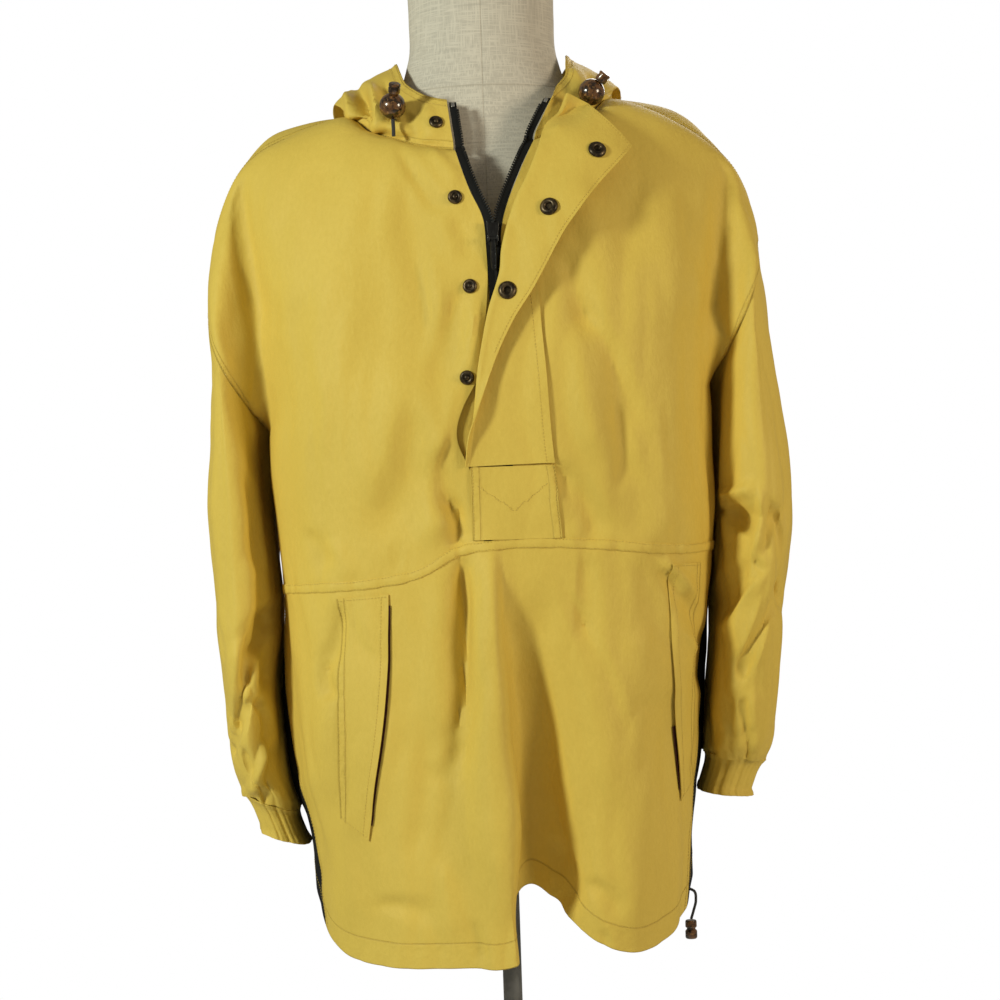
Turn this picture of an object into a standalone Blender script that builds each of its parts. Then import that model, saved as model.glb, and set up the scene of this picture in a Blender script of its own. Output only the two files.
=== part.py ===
"""Hooded anorak pullover worn by a limbless dress form on a pole and round base.

Metres, +Z up, +X to the wearer's left, front towards -Y. The origin is the centre of the
underside of the base. The garment's body is one surface, body_point(angle, height): angle runs
round the body in degrees from the centre front (0) over the wearer's left side (90) to the
centre back (180), the wearer's right side being negative. Each panel is a region of it.
"""

import math

import bmesh
import bpy
import numpy as np
from mathutils import Matrix, Vector
from mathutils.bvhtree import BVHTree

# ---------------------------------------------------------------- driving dimensions (metres)
WALL = 0.0013            # cloth with its coating, seam allowances and air between them
SEAM_GAP = 0.0002        # each of two joined panels is cut back by this much
SEAM_MITRE = 0.0011      # and its inside by this much more
RIM_ANGLE = 50.0         # edges sharper than this show as edges
ARMPIT = 1.050           # height where the body ring ends and the yoke begins
YOKE_SPAN = 0.250        # length given to the yoke above the armpit level
YOKE_ROUND = 2.3         # how late the yoke turns over towards the shoulder seam
ARM_DEPTH = 0.086        # how far the upper arm reaches to the front and to the back
RIDGE = 0.024            # height of the shoulder top over the forward shoulder seam
GUSSET = 24.0            # half angle of the side panels at the hem, degrees
NECK_CORNER = 39.0       # angle of the neck end of the shoulder seam
POLE_RADIUS = 0.0085
BASE_RADIUS = 0.175
BASE_THICK = 0.010

# body sections: half widths to the wearer's right and left, depths, squareness of the corners
BODY_COLUMNS = ("height", "right", "left", "front", "back", "square")
BODY = (
    (0.540, 0.168, 0.158, 0.137, 0.150, 2.6),
    (0.630, 0.172, 0.163, 0.138, 0.150, 2.6),
    (0.670, 0.173, 0.165, 0.138, 0.149, 2.6),
    (0.720, 0.180, 0.169, 0.138, 0.148, 2.7),
    (0.800, 0.188, 0.177, 0.138, 0.145, 2.8),
    (0.860, 0.191, 0.185, 0.138, 0.142, 2.9),
    (0.920, 0.194, 0.192, 0.138, 0.139, 3.0),
    (1.000, 0.198, 0.194, 0.141, 0.136, 3.0),
    (1.050, 0.200, 0.194, 0.142, 0.134, 3.0),
)

# shoulder seams and front neck seam, from the top of the right armhole to that of the left one
SEAM_LINE_COLUMNS = ("angle", "x", "y", "z")
SEAM_LINE = (
    (-90, -0.2500, 0.000, 1.153),
    (-80, -0.2475, -0.014, 1.188),
    (-71, -0.2400, -0.028, 1.224),
    (-63, -0.2220, -0.040, 1.261),
    (-56, -0.2020, -0.036, 1.283),
    (-48, -0.1700, -0.031, 1.299),
    (-39, -0.1234, -0.030, 1.314),
    (-30, -0.1010, -0.055, 1.297),
    (-22, -0.0800, -0.072, 1.287),
    (-14, -0.0520, -0.090, 1.276),
    (-8, -0.0260, -0.100, 1.271),
    (0, 0.0060, -0.104, 1.268),
    (11, 0.0400, -0.098, 1.277),
    (20, 0.0700, -0.083, 1.290),
    (30, 0.0950, -0.058, 1.306),
    (39, 0.1125, -0.030, 1.322),
    (48, 0.1560, -0.031, 1.307),
    (56, 0.1910, -0.036, 1.286),
    (63, 0.2140, -0.040, 1.264),
    (72, 0.2300, -0.028, 1.240),
    (81, 0.2370, -0.012, 1.220),
    (90, 0.2390, 0.000, 1.202),
)

# back neck seam between the neck corners
NECK_BACK = (
    (-141, -0.1234, -0.030, 1.314),
    (-150, -0.1220, 0.010, 1.333),
    (-158, -0.1020, 0.042, 1.338),
    (-168, -0.0600, 0.066, 1.339),
    (-180, 0.0000, 0.076, 1.339),
    (-192, 0.0590, 0.066, 1.340),
    (-202, 0.0980, 0.042, 1.341),
    (-210, 0.1150, 0.010, 1.339),
    (-219, 0.1125, -0.030, 1.322),
)

# hem height round the body
HEM = (
    (-180, 0.600), (-145, 0.603), (-115, 0.624), (-90, 0.646), (-75, 0.630), (-62, 0.600),
    (-50, 0.583), (-36, 0.577), (-10, 0.578), (-3, 0.579), (0, 0.585), (3, 0.606), (7, 0.634),
    (13, 0.627), (20, 0.605), (30, 0.588), (42, 0.583), (52, 0.592), (62, 0.608), (75, 0.628),
    (90, 0.642), (115, 0.622), (145, 0.603), (180, 0.600),
)

# waist seam height across the front
WAIST = (
    (-90, 0.895), (-70, 0.898), (-45, 0.900), (-30, 0.903), (-18, 0.912), (-11, 0.926),
    (0, 0.932), (24, 0.930), (40, 0.924), (70, 0.924), (90, 0.924),
)

# edges of the front opening: x at each height, wearer's right and left
OPENING_RIGHT = (
    (0.925, -0.0120), (0.975, -0.0120), (1.000, -0.0225), (1.025, -0.0300),
    (1.050, -0.0240), (1.073, -0.0125), (1.095, -0.0085), (1.163, -0.0010), (1.183, -0.0016),
    (1.208, -0.0035), (1.235, -0.0146), (1.271, -0.0257), (1.300, -0.0320),
)
OPENING_LEFT = (
    (0.925, 0.0145), (0.985, 0.0145), (1.060, 0.0150), (1.163, 0.0125), (1.197, 0.0115),
    (1.213, 0.0150), (1.247, 0.0282), (1.280, 0.0434), (1.300, 0.0530),
)

# soft troughs (+) and ridges (-) of the front, along a line from top to bottom
FRONT_FOLD_COLUMNS = ("x_top", "z_top", "x_low", "z_low", "width", "depth")
FRONT_FOLDS = (
    (-0.216, 1.255, -0.190, 1.040, 0.013, 0.012),    # between front and right upper arm
    (0.213, 1.255, 0.191, 1.120, 0.012, 0.010),      # between front and left upper arm
    (-0.070, 1.270, -0.040, 1.000, 0.026, -0.004),   # rise beside the opening
    (-0.040, 1.090, -0.036, 0.930, 0.014, 0.006),    # trough beside the placket
    (-0.030, 0.915, -0.040, 0.760, 0.012, 0.008),
    (-0.008, 0.925, -0.012, 0.640, 0.016, -0.006),
    (0.028, 0.880, 0.040, 0.640, 0.020, 0.009),
    (0.085, 0.860, 0.095, 0.600, 0.030, -0.004),
    (0.130, 0.920, 0.146, 0.700, 0.012, 0.004),
)

# upright folds of the back: angle at the top and at the hem, half width, depth, top height
BACK_FOLD_COLUMNS = ("top_angle", "hem_angle", "width", "depth", "top")
BACK_FOLDS = (
    (-150, -154, 7.0, 0.016, 1.10),
    (-172, -170, 8.0, 0.011, 1.16),
    (168, 166, 7.0, 0.013, 1.14),
    (147, 150, 7.0, 0.015, 1.08),
    (-128, -126, 6.0, 0.009, 0.95),
    (126, 127, 6.0, 0.010, 0.97),
)

# sleeve sections, from the armhole to the cuff: mean height, how much higher the outer side
# lies than the mean, outer and inner x, and the depths
SLEEVE_COLUMNS = ("way", "height", "tilt", "outer", "inner", "front", "back")
SLEEVE_RIGHT = (
    (0.00, 1.095, 0.056, -0.2500, -0.2000, 0.086, 0.086),
    (0.12, 1.035, 0.038, -0.2530, -0.2000, 0.088, 0.088),
    (0.26, 0.972, 0.022, -0.2570, -0.1980, 0.090, 0.086),
    (0.40, 0.915, 0.010, -0.2572, -0.1960, 0.090, 0.082),
    (0.54, 0.858, 0.004, -0.2560, -0.1930, 0.087, 0.076),
    (0.68, 0.803, 0.000, -0.2510, -0.1920, 0.078, 0.069),
    (0.82, 0.757, 0.004, -0.2470, -0.1900, 0.067, 0.060),
    (0.93, 0.724, 0.008, -0.2390, -0.1870, 0.055, 0.050),
    (1.00, 0.708, 0.009, -0.2350, -0.1870, 0.044, 0.040),
)
SLEEVE_LEFT = (
    (0.00, 1.133, 0.065, 0.2390, 0.1940, 0.086, 0.086),
    (0.12, 1.070, 0.046, 0.2505, 0.1940, 0.088, 0.088),
    (0.26, 1.005, 0.026, 0.2605, 0.1940, 0.092, 0.086),
    (0.40, 0.942, 0.010, 0.2625, 0.1940, 0.092, 0.082),
    (0.54, 0.880, 0.004, 0.2550, 0.1870, 0.087, 0.076),
    (0.68, 0.824, 0.000, 0.2490, 0.1820, 0.078, 0.067),
    (0.82, 0.778, -0.002, 0.2455, 0.1780, 0.067, 0.058),
    (0.93, 0.750, -0.004, 0.2400, 0.1760, 0.055, 0.050),
    (1.00, 0.735, -0.004, 0.2340, 0.1800, 0.044, 0.040),
)
SLEEVE_CLEAR = 0.0018    # nearest that a sleeve hangs to the body
# sleeve folds: place round the sleeve (0 inner, 0.25 front, 0.5 outer), way along it at both
# ends, half width in metres and depth
SLEEVE_FOLD_COLUMNS = ("side_a", "way_a", "side_b", "way_b", "width", "depth")
SLEEVE_FOLDS_RIGHT = (
    (0.16, 0.20, 0.12, 0.62, 0.014, 0.009),
    (0.10, 0.50, 0.34, 0.74, 0.010, 0.008),
    (0.20, 0.66, 0.42, 0.84, 0.010, 0.006),
    (0.62, 0.30, 0.72, 0.60, 0.014, 0.008),
    (0.90, 0.35, 0.84, 0.75, 0.014, 0.008),
    (0.30, 0.84, 0.26, 0.98, 0.009, 0.005),
)
SLEEVE_FOLDS_LEFT = (
    (0.12, 0.36, 0.30, 0.40, 0.010, 0.009),
    (0.33, 0.40, 0.38, 0.56, 0.009, 0.008),
    (0.36, 0.54, 0.20, 0.70, 0.010, 0.007),
    (0.64, 0.34, 0.74, 0.62, 0.014, 0.008),
    (0.86, 0.30, 0.80, 0.70, 0.014, 0.006),
    (0.22, 0.80, 0.28, 0.97, 0.009, 0.005),
)
SLEEVE_COLUMNS_ROUND = 22
CUFF_HEIGHT = 0.033
CUFF_WAVES = 12
CUFF_DROP = 0.0008       # its upper edge below the sleeve's end
CUFF_LEAN = 0.012        # its lower edge lies this much nearer the body
# cuff rows: share of its height, how far it is drawn in, depth of its gathers
CUFF_ROWS = ((0.0, 0.970, 0.0002), (0.22, 0.86, 0.0016), (0.80, 0.82, 0.0018), (1.0, 0.88, 0.0016))

# hood sections from the right zip edge round the back to the left one. Each runs from the neck
# seam (taken from the body) over three points to the rim: x, y, z of each point
HOOD_COLUMNS = ("way", "low", "pouch", "swell", "over", "rim")
HOOD = (
    (0.00, (-0.0272, -0.0980, 1.280), (-0.0285, -0.0945, 1.290), (-0.0297, -0.0903, 1.300),
     (-0.0308, -0.0855, 1.3095), (-0.0318, -0.0800, 1.3185)),
    (0.08, (-0.0570, -0.0905, 1.289), (-0.0565, -0.0865, 1.299), (-0.0550, -0.0815, 1.308),
     (-0.0530, -0.0760, 1.3165), (-0.0500, -0.0700, 1.3245)),
    (0.16, (-0.0940, -0.0760, 1.299), (-0.0960, -0.0680, 1.312), (-0.0900, -0.0610, 1.324),
     (-0.0790, -0.0540, 1.3330), (-0.0680, -0.0480, 1.3400)),
    (0.24, (-0.1290, -0.0330, 1.319), (-0.1340, -0.0220, 1.330), (-0.1210, -0.0170, 1.344),
     (-0.0980, -0.0130, 1.3560), (-0.0765, -0.0100, 1.3640)),
    (0.285, (-0.1320, 0.0060, 1.337), (-0.1400, 0.0260, 1.336), (-0.1350, 0.0420, 1.346),
     (-0.1120, 0.0360, 1.3580), (-0.0790, 0.0180, 1.3660)),
    (0.33, (-0.1340, 0.0520, 1.330), (-0.1450, 0.0820, 1.300), (-0.1400, 0.1120, 1.320),
     (-0.1160, 0.0960, 1.3580), (-0.0800, 0.0480, 1.3660)),
    (0.42, (-0.0800, 0.1400, 1.285), (-0.0920, 0.1640, 1.185), (-0.1000, 0.1940, 1.200),
     (-0.0900, 0.1860, 1.2900), (-0.0560, 0.1050, 1.3560)),
    (0.50, (0.0000, 0.1480, 1.270), (0.0000, 0.1700, 1.138), (0.0000, 0.2080, 1.152),
     (0.0000, 0.2080, 1.2650), (0.0000, 0.1220, 1.3500)),
    (0.58, (0.0800, 0.1400, 1.287), (0.0920, 0.1640, 1.187), (0.1000, 0.1940, 1.202),
     (0.0900, 0.1860, 1.2920), (0.0560, 0.1050, 1.3570)),
    (0.67, (0.1220, 0.0520, 1.337), (0.1340, 0.0820, 1.307), (0.1270, 0.1120, 1.327),
     (0.1060, 0.0960, 1.3620), (0.0780, 0.0480, 1.3690)),
    (0.715, (0.1240, 0.0070, 1.345), (0.1290, 0.0260, 1.344), (0.1230, 0.0420, 1.352),
     (0.1020, 0.0360, 1.3620), (0.0785, 0.0180, 1.3690)),
    (0.76, (0.1125, -0.0330, 1.327), (0.1110, -0.0230, 1.338), (0.1010, -0.0180, 1.350),
     (0.0870, -0.0130, 1.3600), (0.0755, -0.0100, 1.3670)),
    (0.84, (0.0965, -0.0575, 1.313), (0.0955, -0.0550, 1.321), (0.0910, -0.0525, 1.330),
     (0.0830, -0.0490, 1.3370), (0.0730, -0.0450, 1.3440)),
    (0.92, (0.0700, -0.0840, 1.298), (0.0695, -0.0800, 1.306), (0.0680, -0.0750, 1.314),
     (0.0660, -0.0700, 1.3220), (0.0640, -0.0640, 1.3300)),
    (1.00, (0.0445, -0.0955, 1.286), (0.0490, -0.0920, 1.295), (0.0535, -0.0880, 1.304),
     (0.0578, -0.0835, 1.3120), (0.0620, -0.0780, 1.3200)),
)
HOOD_CORNER = 0.24       # way of the neck corner, and of the other one from the far end
HOOD_CENTRE = 1 / 6      # the centre strip takes this part of the back neck seam each way
HOOD_RISES = (0, 0.015, 0.04, 0.08, 0.13, 0.19, 0.26, 0.33, 0.39, 0.45, 0.52, 0.61, 0.73, 0.87, 1.0)
HOOD_RELAX = 4           # rounds of evening out the hood's sheet
HOOD_CLEAR = 0.007       # the laid-back hood stays this far from the back
NECK_START = (-8.2, 11.8)         # angles of the zip's edges at the neck seam

# zip: outer edge x of each tape below the hood
ZIP_RIGHT = (
    (0.990, -0.0004), (1.100, -0.0006), (1.163, -0.0009), (1.183, -0.0019), (1.208, -0.0037),
    (1.235, -0.0146), (1.271, -0.0257), (1.300, -0.0320),
)
ZIP_LEFT = (
    (0.990, 0.0142), (1.060, 0.0142), (1.163, 0.0129), (1.197, 0.0117), (1.213, 0.0150),
    (1.247, 0.0282), (1.280, 0.0434), (1.300, 0.0530),
)
ZIP_FOOT = 1.004
ZIP_TAPE = 0.0062
ZIP_SLANT = 1.15         # the slanting tapes are this much wider across
ZIP_TOP = {-1: 1.3155, 1: 1.3168}
SLIDER_X = 0.0045
SLIDER_Z = 1.1945
SLIDER_WIDTH = 0.0100
SLIDER_LENGTH = 0.0200
SLIDER_DEPTH = 0.0028
LUG = 0.0014
LUG_REACH = 0.0036
TAB_PIN = 0.0058
TAB_Z = 1.1900
TAB_LENGTH = 0.0270

# storm flap, top to foot: seam, visible roll and free edge as x, z; the turn of the roll in
# degrees; how far the free edge stands up; distance from the cloth under it
FLAP = (
    (0.0740, 1.3120, 0.0684, 1.3130, 0.1188, 1.2617, 180, 0.006, 0.0050),
    (0.0700, 1.2960, 0.0615, 1.2980, 0.1090, 1.2510, 180, 0.008, 0.0050),
    (0.0660, 1.2790, 0.0530, 1.2800, 0.0965, 1.2365, 180, 0.009, 0.0050),
    (0.0610, 1.2610, 0.0440, 1.2630, 0.0860, 1.2240, 180, 0.009, 0.0036),
    (0.0560, 1.2410, 0.0345, 1.2416, 0.0745, 1.2085, 180, 0.010, 0.0026),
    (0.0500, 1.2220, 0.0248, 1.2230, 0.0640, 1.1940, 180, 0.009, 0.0020),
    (0.0455, 1.2010, 0.0168, 1.2021, 0.0551, 1.1790, 180, 0.008, 0.0018),
    (0.0425, 1.1800, 0.0108, 1.1799, 0.0470, 1.1640, 180, 0.006, 0.0018),
    (0.0410, 1.1570, 0.0082, 1.1590, 0.0360, 1.1450, 180, 0.004, 0.0018),
    (0.0420, 1.1280, -0.0015, 1.1300, 0.0206, 1.1222, 180, 0.003, 0.0018),
    (0.0438, 1.1010, -0.0080, 1.1020, 0.0070, 1.0965, 180, 0.002, 0.0018),
)
# rows of the flap below, where the fold opens out: seam, roll, turn, and the width of the
# piece beyond the roll
FLAP_FOOT = (
    (0.0455, 1.0750, -0.0130, 1.0755, 165, 0.0085),
    (0.0465, 1.0500, -0.0160, 1.0500, 125, 0.0060),
    (0.0480, 1.0250, -0.0191, 1.0250, 70, 0.0045),
    (0.0500, 1.0000, -0.0215, 0.9988, 25, 0.0030),
)
FLAP_ROLL = 0.0032
FLAP_WALL = 0.0012
FLAP_CLEAR = 0.0018
FLAP_ACROSS = 5          # steps from the roll to the free edge

PLACKET_BOX = (-0.0210, 0.0500, 0.9365, 0.9981)
PLACKET_FLARE = 0.08
FACING_BOX = (-0.0460, 0.0100, 0.9900, 1.1600)
WAIST_BAND = 0.0065
WAIST_GAP = 0.0007       # the waist seam is cut back this much more under the band
BAND_CLEAR = 0.0009      # bands, welts and plackets lie this far off the cloth under them
# pocket welts, top to bottom: angles of the edge towards the centre and of the other edge, how
# much lower the first lies, height, and how far it stands open
WELT_RIGHT = (
    (-26.8, -40.0, -0.0030, 0.8905, 0.0008),
    (-27.4, -40.6, -0.0010, 0.8600, 0.0022),
    (-28.4, -41.6, 0.0020, 0.8200, 0.0030),
    (-30.6, -42.9, 0.0060, 0.7800, 0.0034),
    (-34.2, -44.9, 0.0110, 0.7400, 0.0028),
    (-38.4, -46.8, 0.0190, 0.7030, 0.0010),
)
WELT_LEFT = (
    (43.0, 57.0, -0.0010, 0.9100, 0.0006),
    (44.5, 58.0, 0.0010, 0.8750, 0.0010),
    (46.5, 59.5, 0.0030, 0.8350, 0.0014),
    (49.5, 61.5, 0.0060, 0.7900, 0.0026),
    (53.0, 64.0, 0.0100, 0.7500, 0.0030),
    (57.0, 67.0, 0.0160, 0.7200, 0.0010),
)

STUDS = ((-0.0414, 1.2970), (-0.0266, 1.2272), (-0.0162, 1.1505), (-0.0212, 1.0735))
STUD_RADIUS = 0.0062
SOCKETS = ((0.0949, 1.2634), (0.0523, 1.2146), (0.0150, 1.1453))
SOCKET_RADIUS = 0.0078

LOCK_PLACE = {-1: (-0.0764, 1.3073), 1: (0.0885, 1.3180)}
LOCK_LEAN = {-1: (0.15, -0.45, 0.88), 1: (0.62, -0.30, 0.72)}
LOCK_RADIUS = 0.0098
HOOD_CORD = 0.0032
HEM_CORD = 0.0024
HEM_CORD_ANGLE = 68.0

# dress form: trimmed to the cloth that it carries, then its sections
FORM_SHIFT = 0.0003
FORM_BACK = 0.0040
FORM_LIFT = 0.0090
FORM_COLUMNS = ("height", "half", "front", "back", "power")
FORM = (
    (0.660, 0.138, 0.074, 0.100, 2.1),
    (0.700, 0.147, 0.084, 0.110, 2.2),
    (0.780, 0.148, 0.098, 0.104, 2.2),
    (0.880, 0.138, 0.098, 0.094, 2.2),
    (0.980, 0.148, 0.106, 0.102, 2.2),
    (1.080, 0.163, 0.116, 0.112, 2.2),
    (1.160, 0.170, 0.117, 0.114, 2.2),
    (1.220, 0.170, 0.106, 0.108, 2.1),
    (1.260, 0.164, 0.090, 0.096, 1.9),
    (1.290, 0.146, 0.076, 0.084, 1.6),
    (1.310, 0.112, 0.069, 0.074, 1.6),
    (1.330, 0.080, 0.065, 0.066, 1.9),
    (1.355, 0.068, 0.0615, 0.0615, 2.0),
    (1.395, 0.0655, 0.0600, 0.0600, 2.0),
    (1.432, 0.0665, 0.0605, 0.0605, 2.0),
)


# ---------------------------------------------------------------- small maths
def column(rows, columns, name):
    """One named column of a table as an array."""
    return np.array([row[columns.index(name)] for row in rows], dtype=float)


def through(knots, values, at):
    """Smooth curve through the values at the knots, read at one or more places."""
    knots = np.asarray(knots, dtype=float)
    values = np.asarray(values, dtype=float)
    at = np.clip(np.asarray(at, dtype=float), knots[0], knots[-1])
    slopes = np.gradient(values, knots, axis=0)
    low = np.clip(np.searchsorted(knots, at, side="right") - 1, 0, len(knots) - 2)
    span = knots[low + 1] - knots[low]
    s = (at - knots[low]) / span
    if values.ndim > 1:
        s = s[..., None]
        span = span[..., None]
    keep = (1 + 2 * s) * (1 - s) ** 2
    take = s * s * (3 - 2 * s)
    lean_in = s * (1 - s) ** 2 * span
    lean_out = s * s * (s - 1) * span
    return keep * values[low] + take * values[low + 1] + lean_in * slopes[low] + lean_out * slopes[low + 1]


def ease(at):
    """Smooth step from 0 to 1."""
    at = np.clip(at, 0.0, 1.0)
    return at * at * (3 - 2 * at)


def wrap(angle):
    """Brings an angle into -180 to 180 degrees."""
    return (np.asarray(angle, dtype=float) + 180.0) % 360.0 - 180.0


def rounded(angle, power):
    """Unit superellipse: sine and cosine stretched towards the corners."""
    sine = np.sin(np.radians(angle))
    cosine = np.cos(np.radians(angle))
    reach = (np.abs(sine) ** power + np.abs(cosine) ** power) ** (-1.0 / power)
    return sine * reach, cosine * reach


# ---------------------------------------------------------------- the body surface
def ring(angle, height):
    """Section of the body below the yoke, with the side panels' swell and the front fold."""
    angle, height = np.broadcast_arrays(wrap(angle), np.asarray(height, dtype=float))
    heights = column(BODY, BODY_COLUMNS, "height")
    size = {name: through(heights, column(BODY, BODY_COLUMNS, name), height)
            for name in BODY_COLUMNS[1:]}
    sine, cosine = rounded(angle, size["square"])
    x = np.where(sine < 0, size["right"], size["left"]) * sine
    y = -np.where(cosine > 0, size["front"], size["back"]) * cosine
    below = ease((0.90 - height) / 0.10) * ease((height - 0.66) / 0.08)
    x = x - 0.011 * below * np.exp(-((angle + 97) / 21) ** 2)
    x = x + 0.006 * below * np.exp(-((angle - 100) / 21) ** 2)
    fade = np.clip((0.850 - height) / 0.250, 0, 1.2) ** 1.3
    inwards = ease((angle + 2.0) / 6.5) * np.exp(-np.clip((angle - 6.0) / 12.0, 0, None) ** 2)
    y = y + 0.066 * fade * inwards
    x = x - 0.014 * fade * np.exp(-((angle - 5.5) / 4.5) ** 2)
    lobe = np.exp(-((angle + 3.0) / 9.0) ** 2)
    y = y - 0.014 * fade * lobe
    x = x + 0.010 * fade * np.exp(-((angle + 1.5) / 3.5) ** 2)
    y = y - 0.006 * fade * np.exp(-((angle - 38.0) / 18.0) ** 2)
    lift = np.where(angle < 0, -0.015, 0.020) * np.abs(np.sin(np.radians(angle))) ** 4
    z = height + lift * ease((height - 0.93) / 0.12)
    return np.stack([x, y, z], axis=-1)


def seam_point(angle):
    """Upper edge of the yoke: neck seam and shoulder seams. The back shares the shoulder."""
    angle = np.asarray(angle, dtype=float)
    wrapped = wrap(angle)
    mirrored = np.where(wrapped > 90, 180 - wrapped, np.where(wrapped < -90, -180 - wrapped, wrapped))
    line = np.array(SEAM_LINE, dtype=float)
    shoulder = through(line[:, 0], line[:, 1:], mirrored)
    neck = np.array(NECK_BACK, dtype=float)[::-1]
    turned = np.where(wrapped > 0, wrapped - 360, wrapped)
    behind = through(neck[:, 0], neck[:, 1:], turned)
    at_neck = (np.abs(wrapped) > 180 - NECK_CORNER)[..., None]
    return np.where(at_neck, behind, shoulder)


def yoke(angle, way):
    """Surface from the armpit level (way 0) to the shoulder and neck seams (way 1)."""
    angle, way = np.broadcast_arrays(np.asarray(angle, dtype=float), np.asarray(way, dtype=float))
    wrapped = wrap(angle)
    start = ring(wrapped, np.full(wrapped.shape, ARMPIT))
    end = seam_point(wrapped)
    rise, lean = rounded(way * 90.0, YOKE_ROUND)
    front = np.abs(wrapped) <= 90.0
    from_side = np.abs(np.abs(wrapped) - 90.0)
    arm = ease((38.0 - from_side) / 30.0)
    outwards = way + (np.sin(np.radians(way * 90.0)) - way) * arm
    x = start[..., 0] + (end[..., 0] - start[..., 0]) * outwards
    y = end[..., 1] + (start[..., 1] - end[..., 1]) * lean
    z = start[..., 2] + (end[..., 2] - start[..., 2]) * rise
    facing = np.where(front, -1.0, 1.0)
    swell = np.clip(ARM_DEPTH - np.abs(y), 0, None) * np.sin(np.pi * way) ** 0.8 * arm
    y = y + facing * swell
    z_arm = start[..., 2] + (end[..., 2] - start[..., 2]) * way
    z = z + (z_arm - z) * arm
    top = np.where(front, 0.0, ease((from_side - 6.0) / 16.0) * ease((58.0 - from_side) / 20.0))
    z = z + RIDGE * top * np.sin(np.pi * np.clip((way - 0.5) / 0.5, 0, 1))
    return np.stack([x, y, z], axis=-1)


def front_folds(points, height):
    """Pushes the front in and out along its soft troughs and ridges, but not at the top seams."""
    x = points[..., 0]
    z = points[..., 2]
    push = np.zeros(x.shape)
    for x_top, z_top, x_low, z_low, width, depth in FRONT_FOLDS:
        way = (z_top - z) / (z_top - z_low)
        off = (x - (x_top + (x_low - x_top) * way)) / width
        ends = ease((way + 0.12) / 0.24) * ease((1.12 - way) / 0.24)
        push = push + depth * np.exp(-off * off) * ends
    moved = points.copy()
    below_seams = ease((ARMPIT + YOKE_SPAN - height) / 0.05)
    moved[..., 1] += push * ease(-points[..., 1] / 0.05) * below_seams
    return moved


def back_folds(points, angle, height):
    """Pushes the back in along its upright folds."""
    push = np.zeros(points.shape[:-1])
    for top_angle, hem_angle, width, depth, top in BACK_FOLDS:
        down = np.clip((top - height) / (top - 0.58), 0, 1)
        centre = top_angle + (hem_angle - top_angle) * down
        off = wrap(angle - centre) / width
        push = push + depth * np.exp(-off * off) * ease(down * 1.6)
    moved = points.copy()
    moved[..., 1] -= push
    return moved


def body_point(angle, height):
    """The garment's outside at an angle and a height. Above the armpit the height is counted
    along the yoke, so ARMPIT + YOKE_SPAN is the shoulder and neck seam."""
    angle, height = np.broadcast_arrays(np.asarray(angle, dtype=float), np.asarray(height, dtype=float))
    low = ring(angle, np.minimum(height, ARMPIT))
    way = np.clip((height - ARMPIT) / YOKE_SPAN, 0, 1)
    high = yoke(angle, way)
    points = np.where((height > ARMPIT)[..., None], high, low)
    points = front_folds(points, height)
    behind = (np.abs(wrap(angle)) > 90)[..., None]
    return np.where(behind, back_folds(points, angle, height), points)


def hem(angle):
    knots = np.array(HEM, dtype=float)
    return through(knots[:, 0], knots[:, 1], wrap(angle))


def waist(angle):
    knots = np.array(WAIST, dtype=float)
    return through(knots[:, 0], knots[:, 1], angle)


def gusset(side, height):
    """Half angle of the side panel: a wedge from the hem to the end of the waist seam."""
    top = float(waist(90.0 * side))
    return GUSSET * np.clip((top - np.asarray(height, dtype=float)) / (top - 0.64), 0, 1.1)


# ---------------------------------------------------------------- meshes
def cleared():
    for item in list(bpy.data.objects):
        bpy.data.objects.remove(item, do_unlink=True)


def material(name, colour, roughness, metallic=0.0):
    """A Principled material, made once and shared."""
    found = bpy.data.materials.get(name)
    if found:
        return found
    made = bpy.data.materials.new(name)
    made.use_nodes = True
    shader = made.node_tree.nodes["Principled BSDF"]
    shader.inputs["Base Color"].default_value = (*colour, 1.0)
    shader.inputs["Roughness"].default_value = roughness
    shader.inputs["Metallic"].default_value = metallic
    return made


def shell_cloth():
    return material("yellow cloth", (0.62, 0.45, 0.08), 0.62)


def black_cloth():
    return material("black cloth", (0.012, 0.012, 0.014), 0.75)


def black_plastic():
    return material("black plastic", (0.010, 0.010, 0.012), 0.4)


def linen():
    return material("linen", (0.62, 0.59, 0.51), 0.85)


def steel():
    return material("grey steel", (0.35, 0.35, 0.37), 0.35, 1.0)


def antique_brass():
    return material("antique brass", (0.055, 0.042, 0.022), 0.38, 0.9)


def tortoiseshell():
    return material("tortoiseshell", (0.07, 0.030, 0.012), 0.18)


def silver():
    return material("bright steel", (0.75, 0.75, 0.76), 0.25, 1.0)


def placed(name, mesh, finish, parts):
    """Makes the object of a sub-part and puts it in the collection."""
    made = bpy.data.objects.new(name, mesh)
    mesh.materials.append(finish)
    parts.objects.link(made)
    return made


def grid_normals(points, closed=False):
    """Normals of a sheet: columns run to the right and rows upwards, seen from outside."""
    across = np.gradient(points, axis=1)
    if closed:
        across = (np.roll(points, -1, axis=1) - np.roll(points, 1, axis=1)) / 2
    up = np.gradient(points, axis=0)
    normals = np.cross(across, up)
    return normals / np.maximum(np.linalg.norm(normals, axis=-1, keepdims=True), 1e-12)


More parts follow.
